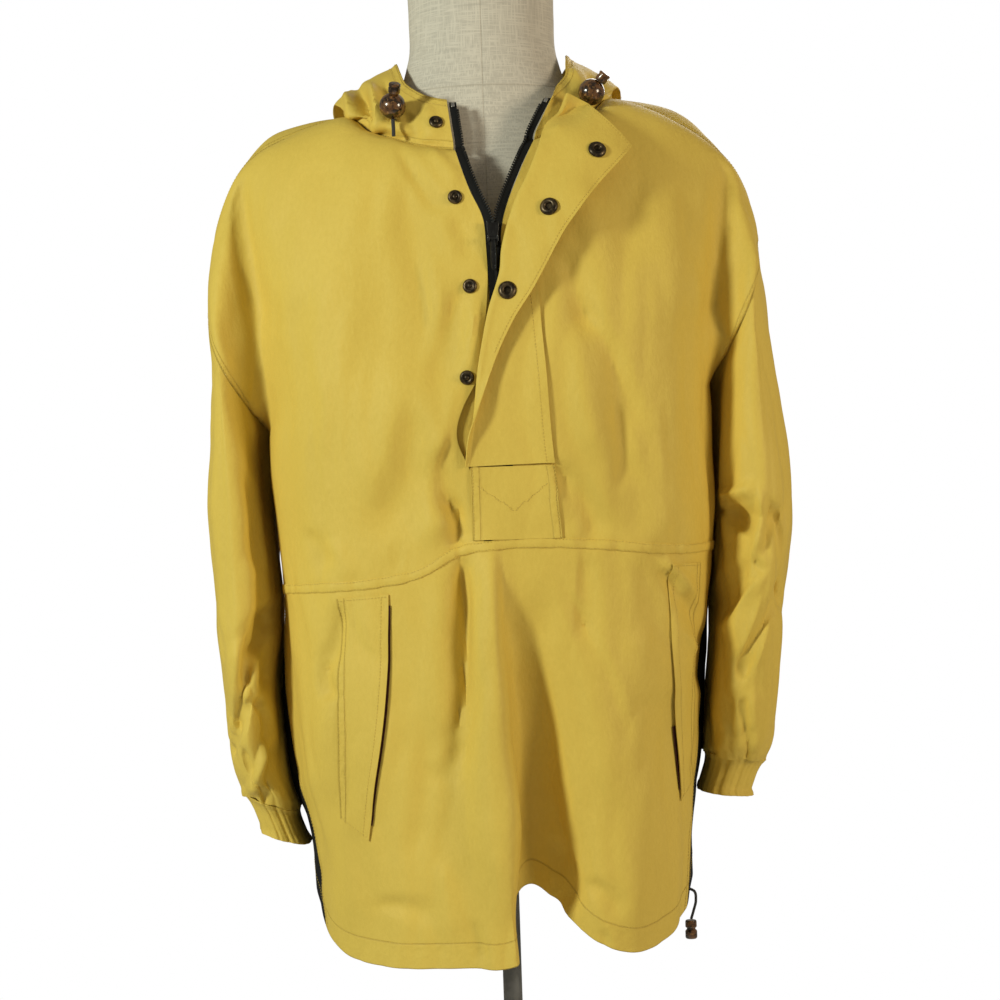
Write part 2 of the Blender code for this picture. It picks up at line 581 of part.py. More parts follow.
def wall_mesh(name, outer, inner, closed=False):
    """A loft round both faces of a wall: outside, top rim, inside and bottom rim. Both faces
    are split along the same diagonals, the shorter ones, so that they never cross."""
    rows, columns = outer.shape[:2]
    skin = bmesh.new()
    out = [[skin.verts.new(p) for p in row] for row in outer]
    back = [[skin.verts.new(p) for p in row] for row in inner]
    last = columns if closed else columns - 1
    for c in range(last):
        n = (c + 1) % columns
        for r in range(rows - 1):
            rising = (out[r][c].co - out[r + 1][n].co).length
            falling = (out[r][n].co - out[r + 1][c].co).length
            for sheet, turn in ((out, 1), (back, -1)):
                corners = [sheet[r][c], sheet[r][n], sheet[r + 1][n], sheet[r + 1][c]]
                if falling < rising:
                    corners = corners[1:] + corners[:1]
                skin.faces.new((corners[0], corners[1], corners[2])[::turn])
                skin.faces.new((corners[0], corners[2], corners[3])[::turn])
        skin.faces.new((back[0][c], back[0][n], out[0][n], out[0][c]))
        skin.faces.new((out[-1][c], out[-1][n], back[-1][n], back[-1][c]))
    if not closed:
        for r in range(rows - 1):
            skin.faces.new((back[r][0], out[r][0], out[r + 1][0], back[r + 1][0]))
            skin.faces.new((out[r][-1], back[r][-1], back[r + 1][-1], out[r + 1][-1]))
    bmesh.ops.recalc_face_normals(skin, faces=skin.faces)
    mesh = bpy.data.meshes.new(name)
    skin.to_mesh(mesh)
    skin.free()
    mesh.shade_smooth()
    mesh.set_sharp_from_angle(angle=math.radians(RIM_ANGLE))
    return mesh


def cloth(name, points, finish, parts, closed=False, thick=WALL, flip=False, mitre=SEAM_MITRE, sides="lrtb"):
    """A cloth panel: the sheet is its outside and the wall lies behind it. The inside is cut
    back further at the sides, as a mitre, so that panels which meet at an angle stay apart."""
    if flip:
        points = points[:, ::-1]
    inner = points - grid_normals(points, closed) * thick
    if closed:
        sides = "tb" if mitre else ""
    inner = trimmed(inner, mitre, sides) if mitre else inner
    return placed(name, wall_mesh(name, points, inner, closed), finish, parts)


def trimmed(points, gap=SEAM_GAP, sides="lrtb"):
    """Cuts a sheet back at its sides: l and r are the first and last column, b and t the
    first and last row."""
    cut = points.copy()

    def moved(edge, inner):
        way = inner - edge
        length = np.linalg.norm(way, axis=-1, keepdims=True)
        return edge + way / np.maximum(length, 1e-9) * gap

    if "l" in sides:
        cut[:, 0] = moved(points[:, 0], points[:, 1])
    if "r" in sides:
        cut[:, -1] = moved(points[:, -1], points[:, -2])
    if "b" in sides:
        cut[0] = moved(cut[0], cut[1])
    if "t" in sides:
        cut[-1] = moved(cut[-1], cut[-2])
    return cut


def sheet_tree(sheets):
    """A search tree over sheets of points whose columns run right and rows up."""
    points = []
    faces = []
    for grid in sheets:
        rows, columns = grid.shape[:2]
        start = len(points)
        points += [tuple(p) for p in grid.reshape(-1, 3)]
        faces += [tuple(start + i for i in (r * columns + c, r * columns + c + 1,
                                            (r + 1) * columns + c + 1, (r + 1) * columns + c))
                  for r in range(rows - 1) for c in range(columns - 1)]
    return BVHTree.FromPolygons(points, faces)


class Surface:
    """Finds the point of the front that lies behind a place (x, z), and its normal."""

    def __init__(self, sheets):
        self.tree = sheet_tree(sheets)

    def at(self, x, z, out=0.0):
        """The point at (x, z) moved out of the surface by a distance, and the normal."""
        for aside in (0.0, 0.001, -0.001, 0.003, -0.003, -0.006):
            hit, normal, _index, _far = self.tree.ray_cast(Vector((x, -1.0, z + aside)), Vector((0, 1, 0)))
            if hit is not None:
                break
        if hit is None:
            raise ValueError(f"no front at {x:.3f}, {z:.3f}")
        hit.z = z
        if normal.y > 0:
            normal = -normal
        return np.array(hit + normal * out), np.array(normal)


# ---------------------------------------------------------------- garment panels
def opening_angle(side, height_rows):
    """Angle of the opening's edge on each row of the front."""
    knots = np.array(OPENING_LEFT if side > 0 else OPENING_RIGHT, dtype=float)
    angles = []
    for row in height_rows:
        guess = 0.0
        for _step in range(6):
            point = body_point(np.array(guess), np.array(row))
            wanted = through(knots[:, 0], knots[:, 1], float(point[2]))
            guess = guess + math.degrees((float(wanted) - point[0]) / 0.188)
        angles.append(guess)
    return np.array(angles)


# columns of the panels: both sides of a seam use the same ones
NECK_COLUMNS = 7
SHOULDER_ANGLES = np.linspace(NECK_CORNER, 90.0, 9)
BACK_NECK_COLUMNS = 10


def back_angles():
    """Angles of the back's columns, from the wearer's left armhole to the right one."""
    shoulder = 180.0 - SHOULDER_ANGLES[::-1]
    shoulder[0] = 90.0005
    neck = np.linspace(180.0 - NECK_CORNER, 180.0 + NECK_CORNER, BACK_NECK_COLUMNS)[1:-1]
    return np.concatenate([shoulder, neck, 360.0 - shoulder[::-1]])


def front_rows(count_low, count_high, waist_height):
    low = np.linspace(waist_height, ARMPIT, count_low + 1)
    high = np.linspace(ARMPIT, ARMPIT + YOKE_SPAN, count_high + 1)[1:]
    return np.concatenate([low, high])


def upper_front(side, parts):
    """One half of the upper front: from the opening to the armhole, waist seam to shoulder."""
    rows = front_rows(5, 9, 0.93)
    inner = opening_angle(side, rows)
    points = []
    for row, edge in zip(rows, inner):
        near = edge + (side * NECK_CORNER - edge) * np.linspace(0, 1, NECK_COLUMNS)[:-1]
        angles = np.concatenate([near, side * SHOULDER_ANGLES])
        share = np.clip((ARMPIT - row) / (ARMPIT - 0.93), 0, 1)
        heights = row + (waist(angles) - 0.93) * share
        points.append(body_point(angles, heights))
    points = trimmed(trimmed(np.array(points)), WAIST_GAP, "b")
    name = "front_upper_left" if side > 0 else "front_upper_right"
    cloth(name, points, shell_cloth(), parts, flip=side < 0)


def settled(angle_of, bottom_of, top_of, share):
    """Angle and height of a place whose side edge and hem depend on each other."""
    height = 0.75
    for _step in range(8):
        angle = angle_of(height)
        height = bottom_of(angle) + (top_of(angle) - bottom_of(angle)) * share
    return angle, height


def lower_front(parts):
    """The lower front with its deep hem fold, between the side panels."""
    columns = np.concatenate([np.linspace(-1, -0.11, 11), np.linspace(-0.08, 0.16, 11),
                              np.linspace(0.23, 1, 9)])
    points = []
    for share in np.linspace(0, 1, 12):
        row = []
        for place in columns:
            side = -1.0 if place < 0 else 1.0
            angle, height = settled(lambda h: place * (90.0 - gusset(side, h)), hem, waist, share)
            row.append(body_point(angle, height))
        points.append(row)
    points = trimmed(trimmed(np.array(points)), WAIST_GAP, "t")
    cloth("front_lower", points, shell_cloth(), parts)


def back_panel(parts):
    """The back in one piece from the hem over the shoulders to the forward seams."""
    angles = back_angles()
    across = (angles - angles[0]) / (angles[-1] - angles[0])
    points = []
    for share in np.linspace(0, 1, 11):
        row = []
        for place in across:
            def around(h):
                first = 90.0005 + gusset(1, h)
                last = 269.9995 - gusset(-1, h)
                return first + (last - first) * place
            angle, height = settled(around, hem, lambda a: ARMPIT, share)
            row.append(body_point(angle, height))
        points.append(row)
    for height in np.linspace(ARMPIT, ARMPIT + YOKE_SPAN, 10)[1:]:
        points.append(list(body_point(angles, np.full(angles.shape, height))))
    cloth("back", trimmed(np.array(points)), shell_cloth(), parts)


def side_panel(side, parts):
    """Black wedge between the lower front and the back."""
    top = float(waist(90.0 * side)) - 0.014
    points = []
    for share in np.linspace(0, 1, 12):
        row = []
        for place in np.linspace(-1, 1, 5):
            angle, height = settled(lambda h: side * 90.0 + place * gusset(side, h), hem,
                                    lambda a: top, share)
            row.append(body_point(angle, height))
        points.append(row)
    name = "side_panel_left" if side > 0 else "side_panel_right"
    cloth(name, trimmed(np.array(points)), black_cloth(), parts)


def armhole(side, place):
    """The armhole: place 0 is the armpit, 0.25 the front, 0.5 the top and 0.75 the back."""
    place = np.asarray(place, dtype=float) % 1.0
    front = place <= 0.5
    way = np.where(front, place * 2, 2 - place * 2)
    angle = side * np.where(front, 90.0, 90.0005)
    return body_point(angle, ARMPIT + YOKE_SPAN * np.maximum(way, 1e-4))


def flank(side, height):
    """How far the body reaches to a side at a height."""
    angles = side * np.arange(60.0, 126.0, 3.0)
    widths = ring(angles, np.minimum(np.asarray(height, dtype=float), ARMPIT)[..., None])[..., 0]
    return np.max(side * widths, axis=-1)


def sleeve_table(side):
    return SLEEVE_LEFT if side > 0 else SLEEVE_RIGHT


def sleeve_section(side, place, way):
    """Plain oval section of the sleeve from its table."""
    rows = sleeve_table(side)
    ways = column(rows, SLEEVE_COLUMNS, "way")
    size = {name: through(ways, column(rows, SLEEVE_COLUMNS, name), way)
            for name in SLEEVE_COLUMNS[1:]}
    turn = np.asarray(place, dtype=float) * 360.0
    sine, cosine = rounded(turn, 2.3)
    inner = side * np.maximum(side * size["inner"], flank(side, size["height"] - size["tilt"]) + SLEEVE_CLEAR)
    middle = (size["outer"] + inner) / 2
    half = (size["outer"] - inner) / 2
    x = middle - half * cosine
    y = -np.where(sine > 0, size["front"], size["back"]) * sine
    z = size["height"] - size["tilt"] * cosine
    return np.stack([x, y, z], axis=-1)


def sleeve_point(side, place, way):
    """The sleeve's outside: the armhole's own shape fades into the oval sections."""
    place, way = np.broadcast_arrays(np.asarray(place, dtype=float), np.asarray(way, dtype=float))
    points = sleeve_section(side, place, way)
    start = armhole(side, place) - sleeve_section(side, place, np.zeros(way.shape))
    points = points + start * (1 - ease(way / 0.30))[..., None]
    folds = SLEEVE_FOLDS_LEFT if side > 0 else SLEEVE_FOLDS_RIGHT
    centre = points.copy()
    rows = sleeve_table(side)
    ways = column(rows, SLEEVE_COLUMNS, "way")
    middle = (column(rows, SLEEVE_COLUMNS, "outer") * 0.6 + column(rows, SLEEVE_COLUMNS, "inner") * 0.4)
    centre[..., 0] = through(ways, middle, way)
    centre[..., 1] = points[..., 1] * 0.55
    inwards = centre - points
    inwards = inwards / np.maximum(np.linalg.norm(inwards, axis=-1, keepdims=True), 1e-6)
    push = np.zeros(way.shape)
    round_length = 0.40
    long_length = 0.42
    for side_a, way_a, side_b, way_b, width, depth in folds:
        a = np.array([side_a * round_length, way_a * long_length])
        b = np.array([side_b * round_length, way_b * long_length])
        here = np.stack([place % 1.0 * round_length, way * long_length], axis=-1)
        along = ((here - a) @ (b - a)) / ((b - a) @ (b - a))
        near = a + np.clip(along, 0, 1)[..., None] * (b - a)
        off = np.linalg.norm(here - near, axis=-1) / width
        push = push + depth * np.exp(-off * off)
    return points + inwards * push[..., None]


def sleeve(side, parts):
    """One sleeve as a tube from the armhole to the gathered wrist."""
    places = np.arange(SLEEVE_COLUMNS_ROUND) / SLEEVE_COLUMNS_ROUND
    ways = np.concatenate([[0.0, 0.04], np.linspace(0.10, 1.0, 15)])
    points = sleeve_point(side, places[None, :], ways[:, None])
    points = trimmed(points, 0.0005, "b")
    name = "sleeve_left" if side > 0 else "sleeve_right"
    cloth(name, points, shell_cloth(), parts, closed=True, flip=side > 0)


def cuff(side, parts):
    """Gathered elastic cuff below the sleeve."""
    count = CUFF_WAVES * 2
    places = np.arange(count) / count
    rim = sleeve_point(side, places, np.ones(count))
    centre = rim.mean(axis=0)
    points = []
    for share, tuck, depth in CUFF_ROWS:
        outwards = rim - centre
        outwards[:, 2] = outwards[:, 2] * (1 - 0.2 * share)
        wave = 1 + depth / 0.03 * np.cos(places * 2 * np.pi * CUFF_WAVES)
        row = centre + outwards * tuck * wave[:, None]
        row[:, 2] -= CUFF_DROP + CUFF_HEIGHT * share
        row[:, 0] -= side * CUFF_LEAN * share
        short = flank(side, row[:, 2]) + SLEEVE_CLEAR - side * row[:, 0]
        row[:, 0] += side * max(0.0, short.max())
        points.append(row)
    name = "cuff_left" if side > 0 else "cuff_right"
    cloth(name, np.array(points), shell_cloth(), parts, closed=True, thick=0.0012, flip=side > 0)


def hood_ways():
    """Places of the hood's columns, matched to the columns of the fronts and the back."""
    front = np.linspace(0, HOOD_CORNER, NECK_COLUMNS)[:-1]
    behind = np.linspace(HOOD_CORNER, 1 - HOOD_CORNER, 2 * BACK_NECK_COLUMNS - 1)
    return np.concatenate([front, behind, 1 - front[::-1]])


def hood_point(way, rise):
    """The hood laid back: way runs from the right zip edge round the back to the left one,
    rise from the neck seam to the rim."""
    ways = column(HOOD, HOOD_COLUMNS, "way")
    stops = [0.0, HOOD_CORNER, 0.5, 1 - HOOD_CORNER, 1.0]
    front = np.interp(way, stops, [NECK_START[0], -NECK_CORNER, -180, -360 + NECK_CORNER, NECK_START[1] - 360])
    behind = np.interp(way, stops, [0, NECK_CORNER - 180, -180, -180 - NECK_CORNER, 0])
    at_back = (way > HOOD_CORNER) & (way < 1 - HOOD_CORNER)
    base = seam_point(np.where(at_back, behind, front))
    levels = [base + np.array([0.0, 0.0, SEAM_GAP])]
    for name in HOOD_COLUMNS[1:]:
        values = np.array([row[HOOD_COLUMNS.index(name)] for row in HOOD])
        levels.append(through(ways, values, way))
    levels = np.array(levels)
    dense = np.linspace(0, 1, 61)
    curves = through(np.linspace(0, 1, len(levels)), levels.reshape(len(levels), -1), dense)
    curves = curves.reshape((61,) + levels.shape[1:])
    points = np.zeros(np.shape(rise) + levels.shape[1:])
    for c in range(curves.shape[1]):
        run = np.concatenate([[0], np.cumsum(np.linalg.norm(np.diff(curves[:, c], axis=0), axis=1))])
        even = np.linspace(rise[0], rise[-1], len(rise))
        share = rise + (even - rise) * float(ease((0.30 - run[-1]) / 0.20))
        for axis in range(3):
            points[:, c, axis] = np.interp(share, run / run[-1], curves[:, c, axis])
    return cleared_of_back(relaxed(points), way)


def relaxed(points):
    """Evens out a sheet, its outline kept."""
    if points.shape[1] < 5:
        return points
    for _step in range(HOOD_RELAX):
        around = (points[:-2, 1:-1] + points[2:, 1:-1] + points[1:-1, :-2] + points[1:-1, 2:]) / 4
        points = points.copy()
        points[1:-1, 1:-1] = (points[1:-1, 1:-1] + around) / 2
    return points


def cleared_of_back(points, way):
    """Moves the hood's underside out of the back and shoulders that it lies over."""
    angles = np.linspace(-180, 180, 181)
    heights = np.linspace(ARMPIT, ARMPIT + YOKE_SPAN, 40)
    tree = sheet_tree([body_point(angles[None, :], heights[:, None])])
    moved = points.copy()
    for c, along in enumerate(way):
        beside = float(ease((0.5 - abs(along - 0.5) - 0.22) / 0.06))
        run = 0.0
        for r in range(1, len(points)):
            run += float(np.linalg.norm(points[r, c] - points[r - 1, c]))
            want = min(HOOD_CLEAR, 0.0008 + 0.4 * run) * beside
            place, normal, _index, far = tree.find_nearest(Vector(points[r, c]))
            gap = (Vector(points[r, c]) - place).dot(normal)
            facing_out = normal.z > -0.1 and abs(gap) > 0.9 * far
            if want > 0 and gap < want and facing_out and run < 0.28:
                moved[r, c] = np.array(place + normal * want)
    return moved


def hood(parts):
    """The hood's three panels, cut from one sheet at the seams beside the centre strip."""
    ways = hood_ways()
    points = hood_point(ways, np.array(HOOD_RISES))
    half = (0.5 - HOOD_CORNER) * 2 * HOOD_CENTRE
    first, last = (int(np.argmin(np.abs(ways - (0.5 + off)))) for off in (-half, half))
    for name, start, end in (("hood_right", 0, first), ("hood_centre", first, last),
                             ("hood_left", last, len(ways) - 1)):
        cloth(name, trimmed(points[:, start:end + 1]), shell_cloth(), parts, flip=True)


def lay(surface, rows, out):
    """Sheet of points that lie out of the front by a distance; rows hold (x, z) or (x, z, out)."""
    return np.array([[surface.at(p[0], p[1], p[2] if len(p) > 2 else out)[0] for p in row] for row in rows])


def zip_edge(side, height):
    """Outer edge of the zip: the opening's edge, then the front edge of the hood."""
    top_way = 0.0 if side < 0 else 1.0
    hood = hood_point(np.array([top_way]), np.linspace(0, 1, 9))[:, 0]
    if height >= hood[0, 2]:
        x, y = (float(np.interp(height, hood[:, 2], hood[:, axis])) for axis in (0, 1))
        return np.array([x, y, height])
    return None


def zip_tape(side, surface, parts):
    """Zip tape from the top stop down the opening, then straight down to the placket."""
    table = ZIP_LEFT if side > 0 else ZIP_RIGHT
    heights = np.concatenate([np.linspace(ZIP_FOOT, 1.165, 5), np.linspace(1.18, ZIP_TOP[side], 11)])
    points = []
    for height in heights:
        row = []
        on_hood = zip_edge(side, height)
        for place in (0.0, 1.0):
            if on_hood is not None:
                inwards = -side * (ZIP_TAPE * place + 0.0016)
                point = on_hood + np.array([inwards, 0.0006 - 0.10 * abs(inwards), 0.0])
            else:
                knots = np.array(table, dtype=float)
                edge = float(through(knots[:, 0], knots[:, 1], height))
                slant = ZIP_SLANT if height > 1.20 else 1.0
                x = edge - side * (SEAM_GAP * 2 + ZIP_TAPE * slant * place)
                point = surface.at(x, height, -0.0006)[0]
            row.append(point)
        points.append(row)
    name = "zip_tape_left" if side > 0 else "zip_tape_right"
    cloth(name, np.array(points), black_cloth(), parts, thick=0.0011, flip=side > 0, mitre=0)
    return points[-2:]


def turned(name, profile, centre, normal, finish, parts, steps=14):
    """A turned piece: the profile (radius, height) with a Screw modifier, its axis along a normal."""
    mesh = bpy.data.meshes.new(name)
    mesh.from_pydata([(radius, 0.0, height) for radius, height in profile],
                     [(i, i + 1) for i in range(len(profile) - 1)], [])
    made = placed(name, mesh, finish, parts)
    spin = made.modifiers.new("turn", "SCREW")
    spin.steps = steps
    spin.render_steps = steps
    spin.use_merge_vertices = True
    spin.merge_threshold = 0.00005
    spin.use_smooth_shade = True
    aim = Vector(normal).to_track_quat("Z", "Y").to_matrix().to_4x4()
    made.matrix_world = Matrix.Translation(Vector(centre)) @ aim
    return made


def snap(name, surface, x, z, out, radius, depth, parts, bore=0.0):
    """A press stud cap, or a socket where bore is the radius of its hole."""
    centre, normal = surface.at(x, z, out)
    if bore:
        profile = ((0.0, depth * 0.35), (bore, depth * 0.35), (bore * 1.15, depth * 0.85),
                   (radius * 0.62, depth), (radius * 0.93, depth * 0.7), (radius, depth * 0.3),
                   (radius, 0.0), (0.0, 0.0))
    else:
        profile = ((0.0, depth), (radius * 0.30, depth * 0.96), (radius * 0.34, depth * 0.68),
                   (radius * 0.80, depth * 0.60), (radius, depth * 0.25), (radius, 0.0), (0.0, 0.0))
    turned(name, profile, centre, normal, antique_brass(), parts)


def storm_flap(surface, parts):
    """The flap over the zip, sewn down along its outer seam and at its foot, and folded back
    along a slanting roll. Each row runs from the seam under the roll to the free edge."""
    rows = list(FLAP)
    rows += [row[:4] + (None, None, row[4], row[5], FLAP_CLEAR) for row in FLAP_FOOT]
    sheet = []
    for index, row in enumerate(rows):
        attach_x, attach_z, roll_x, roll_z, free_x, free_z, turn, reach, clear = row
        before = rows[max(index - 1, 0)]
        after = rows[min(index + 1, len(rows) - 1)]
        axis = np.array([before[2] - after[2], 0.0, before[3] - after[3]])
        axis = axis / np.linalg.norm(axis)
        bulge = np.array([-axis[2], 0.0, axis[0]])
        roll_x = roll_x + FLAP_ROLL * (-bulge[0]) * min(turn / 90.0, 1.0)
        line = []
        for place in np.linspace(0, 1, 5):
            x = attach_x + (roll_x - attach_x) * place
            z = attach_z + (roll_z - attach_z) * place
            line.append(surface.at(x, z, clear)[0])
        foot, normal = surface.at(roll_x, roll_z, clear)
        for step in (0.33, 0.67, 1.0):
            bend = math.radians(turn * step)
            line.append(foot + normal * FLAP_ROLL * (1 - math.cos(bend)) + bulge * FLAP_ROLL * math.sin(bend))
        last = line[-1]
        shares = np.linspace(0, 1, FLAP_ACROSS + 1)[1:]
        if free_x is None:
            onwards = bulge * math.cos(bend) + normal * math.sin(bend)
            line += [last + onwards * reach * share for share in shares]
        else:
            height = float((last - foot) @ normal) + clear
            for share in shares:
                x = last[0] + (free_x - last[0]) * share
                z = last[2] + (free_z - last[2]) * share
                line.append(surface.at(x, z, height + reach * ease(share * 0.9))[0])
        sheet.append(line)
    sheet = np.array(sheet)[::-1]
    cloth("storm_flap", sheet, shell_cloth(), parts, thick=-FLAP_WALL, mitre=0, flip=True)
    return sheet


def placket(surface, parts):
    """The sewn-down foot of the placket, and the facing seen inside the opening."""
    left, right, low, high = PLACKET_BOX
    rows = [[(x, z) for x in np.linspace(left, right + (high - z) * PLACKET_FLARE, 7)]
            for z in np.linspace(low, high, 4)]
    cloth("placket_base", lay(surface, rows, BAND_CLEAR + WALL), shell_cloth(), parts, mitre=0)
    left, right, low, high = FACING_BOX
    rows = [[(x, z) for x in np.linspace(left, right, 5)] for z in np.linspace(low, high, 7)]
    cloth("placket_facing", lay(surface, rows, -WALL - 0.0022), shell_cloth(), parts, mitre=0)


def normal_at(angle, height):
    """Outward normal of the body surface."""
    step = 0.4
    across = body_point(angle + step, height) - body_point(angle - step, height)
    up = body_point(angle, height + 0.002) - body_point(angle, height - 0.002)
    normal = np.cross(across, up)
    return normal / np.linalg.norm(normal, axis=-1, keepdims=True)


def lifted(angle, height, out):
    """A place on the body surface, moved out of it."""
    return body_point(angle, height) + normal_at(angle, height) * np.asarray(out)[..., None]


def waist_band(parts):
    """Raised, topstitched welt over the waist seam of the front."""
    angles = np.linspace(-84, 84, 45)
    rows = []
    for step in (-1.0, 0.0, 1.0):
        heights = waist(angles) + WAIST_BAND / 2 * step
        rows.append(lifted(angles, heights, np.full(angles.shape, BAND_CLEAR + WALL)))
    cloth("waist_band", np.array(rows), shell_cloth(), parts, mitre=0)


def pocket_welt(side, parts):
    """Slanting pocket welt on the lower front; its edge towards the centre stands open."""
    table = WELT_LEFT if side > 0 else WELT_RIGHT
    rows = []
    for inner, outer, drop, height, open_by in table:
        line = []
        for place in np.linspace(0, 1, 5):
            angle = outer + (inner - outer) * place
            out = BAND_CLEAR + WALL + open_by * ease(place * 1.2 - 0.2)
            line.append(lifted(np.array(angle), np.array(height - drop * place), np.array(out)))
        rows.append(line)
    name = "pocket_welt_left" if side > 0 else "pocket_welt_right"
    cloth(name, np.array(rows)[::-1], shell_cloth(), parts, mitre=0, flip=side > 0)


def slider(surface, parts):
    """Zip slider with its two lugs, and the pull tab hanging between them on its pin."""
    reach = [surface.at(SLIDER_X + SLIDER_WIDTH / 2 * across, SLIDER_Z + SLIDER_LENGTH / 2 * up)[0][1]
             for across in (-1, 0, 1) for up in (-1, 0, 1)]
    front_y = min(reach) + 0.0001
    skin = bmesh.new()
    bmesh.ops.create_cube(skin, size=1.0, matrix=Matrix.Translation(
        (SLIDER_X, front_y - SLIDER_DEPTH / 2, SLIDER_Z)) @ Matrix.Diagonal(
        (SLIDER_WIDTH, SLIDER_DEPTH, SLIDER_LENGTH, 1)))
    mesh = bpy.data.meshes.new("zip_slider")
    skin.to_mesh(mesh)
    skin.free()
    body = placed("zip_slider", mesh, black_plastic(), parts)
    for index, side in enumerate((-1, 1)):
        lug = bmesh.new()
        bmesh.ops.create_cube(lug, size=1.0, matrix=Matrix.Translation(
            (SLIDER_X + side * (TAB_PIN / 2 + 0.0003 + LUG / 2), front_y - SLIDER_DEPTH - LUG_REACH / 2 + 0.0005,
             TAB_Z)) @ Matrix.Diagonal((LUG, LUG_REACH + 0.001, 0.0052, 1)))
        lug_mesh = bpy.data.meshes.new(f"lug {index}")
        lug.to_mesh(lug_mesh)
        lug.free()
        cutter = bpy.data.objects.new(f"lug {index}", lug_mesh)
        cutter.hide_render = True
        cutter.display_type = "WIRE"
        bpy.data.collections["cutters"].objects.link(cutter)
        union = body.modifiers.new(f"lug {index}", "BOOLEAN")
        union.operation = "UNION"
        union.object = cutter
    axis_y = front_y - SLIDER_DEPTH - 0.0019
    tab = bmesh.new()
    bmesh.ops.create_cone(tab, cap_ends=True, segments=16, radius1=0.0011, radius2=0.0011, depth=TAB_PIN,
                          matrix=Matrix.Rotation(math.pi / 2, 4, "Y"))
    tab_mesh = bpy.data.meshes.new("zip_pull_tab")
    tab.to_mesh(tab_mesh)
    tab.free()
    pull = placed("zip_pull_tab", tab_mesh, black_plastic(), parts)
    pull.location = (SLIDER_X, axis_y, TAB_Z)
    plate = bmesh.new()
    bmesh.ops.create_cube(plate, size=1.0, matrix=Matrix.Translation(
        (0, 0.0, -TAB_LENGTH / 2)) @ Matrix.Diagonal((TAB_PIN - 0.0004, 0.0018, TAB_LENGTH, 1)))
    plate_mesh = bpy.data.meshes.new("tab plate")
    plate.to_mesh(plate_mesh)
    plate.free()
    plate_object = bpy.data.objects.new("tab plate", plate_mesh)
    plate_object.location = pull.location
    plate_object.hide_render = True
    plate_object.display_type = "WIRE"
    bpy.data.collections["cutters"].objects.link(plate_object)
    union = pull.modifiers.new("plate", "BOOLEAN")
    union.operation = "UNION"
    union.object = plate_object


def zip_stop(side, rows, parts):
    """Metal stop on the top end of a zip tape, square to it."""
    below, end = rows
    up = Vector(end[0] - below[0]).normalized()
    across = Vector(side * (end[0] - end[-1])).normalized()
    out = across.cross(up).normalized()
    across = up.cross(out)
    middle = Vector((end[0] + end[-1]) / 2) + out * 0.0012 - up * 0.0040
    frame = Matrix((across, up, out)).transposed().to_4x4()
    stop = bmesh.new()
    bmesh.ops.create_cube(stop, size=1.0, matrix=Matrix.Translation(middle) @ frame @ Matrix.Diagonal(
        (0.0028, 0.0046, 0.0016, 1)))
    mesh = bpy.data.meshes.new("zip_stop")
    stop.to_mesh(mesh)
    stop.free()
    placed("zip_stop_left" if side > 0 else "zip_stop_right", mesh, silver(), parts)


def hood_lock(side, surface, parts):
    """Ball cord lock with its plunger on the hood, and the end of the drawcord below it."""
    name = "left" if side > 0 else "right"
    x, z = LOCK_PLACE[side]
    centre, normal = surface.at(x, z, LOCK_RADIUS - 0.0008)
    half = [(LOCK_RADIUS * math.sin(a), LOCK_RADIUS * math.cos(a))
            for a in np.linspace(0.0, math.pi, 10)]
    turned(f"hood_lock_{name}", half, centre, (0, 0, 1), tortoiseshell(), parts, steps=16)
    lean = Vector(LOCK_LEAN[side]).normalized()
    start = Vector(centre) + lean * (LOCK_RADIUS + 0.0003)
    profile = ((0.0, 0.009), (0.0046, 0.009), (0.0052, 0.0080), (0.0052, 0.0010), (0.0046, 0.0), (0.0, 0.0))
    turned(f"hood_plunger_{name}", profile, start, lean, tortoiseshell(), parts, steps=12)
    if side < 0:
        drop = np.array([centre + np.array([0.0, -0.0020, -LOCK_RADIUS - 0.0004]),
                         centre + np.array([0.0003, -0.0032, -LOCK_RADIUS - 0.008]),
                         centre + np.array([0.0003, -0.0036, -LOCK_RADIUS - 0.016])])
        cord_tube("hood_cord", drop, HOOD_CORD, parts)


def cord_tube(name, route, diameter, parts):
    """A cord along a smooth curve through its route, a point every two or three diameters."""
    route = np.asarray(route)
    lengths = np.concatenate([[0], np.cumsum(np.linalg.norm(np.diff(route, axis=0), axis=1))])
    count = max(4, int(lengths[-1] / (diameter * 2.5)) + 2)
    points = through(lengths, route, np.linspace(0, lengths[-1], count))
    curve = bpy.data.curves.new(name, "CURVE")
    curve.dimensions = "3D"
    curve.bevel_depth = diameter / 2
    curve.bevel_resolution = 2
    curve.use_fill_caps = True
    line = curve.splines.new("POLY")
    line.points.add(count - 1)
    for place, point in zip(line.points, points):
        place.co = (*point, 1.0)
    curve.materials.append(black_cloth())
    made = bpy.data.objects.new(name, curve)
    parts.objects.link(made)
    return made


def hem_lock(parts):
    """Drawcord end that leaves the left side panel's hem, and its barrel lock."""
    start = body_point(np.array(HEM_CORD_ANGLE), np.array(float(hem(HEM_CORD_ANGLE)) + 0.006))
    out = normal_at(np.array(HEM_CORD_ANGLE), np.array(float(hem(HEM_CORD_ANGLE)) + 0.006))
    route = [start + out * 0.0007, start + out * 0.0050 + np.array([0, 0, -0.002]),
             start + out * 0.0062 + np.array([0, 0, -0.010]),
             start + out * 0.0045 + np.array([-0.0006, 0, -0.019]),
             start + out * 0.0030 + np.array([-0.0015, 0, -0.0265])]
    cord_tube("hem_cord", route, HEM_CORD, parts)
    top = route[-1] + np.array([-0.0003, 0.0, -0.0009])
    profile = ((0.0, 0.0), (0.0042, 0.0), (0.0050, -0.0012), (0.0050, -0.0060), (0.0038, -0.0066),
               (0.0038, -0.0082), (0.0052, -0.0090), (0.0052, -0.0150), (0.0042, -0.0162), (0.0, -0.0162))
    turned("hem_lock", profile, top, (0, 0, 1), tortoiseshell(), parts, steps=12)


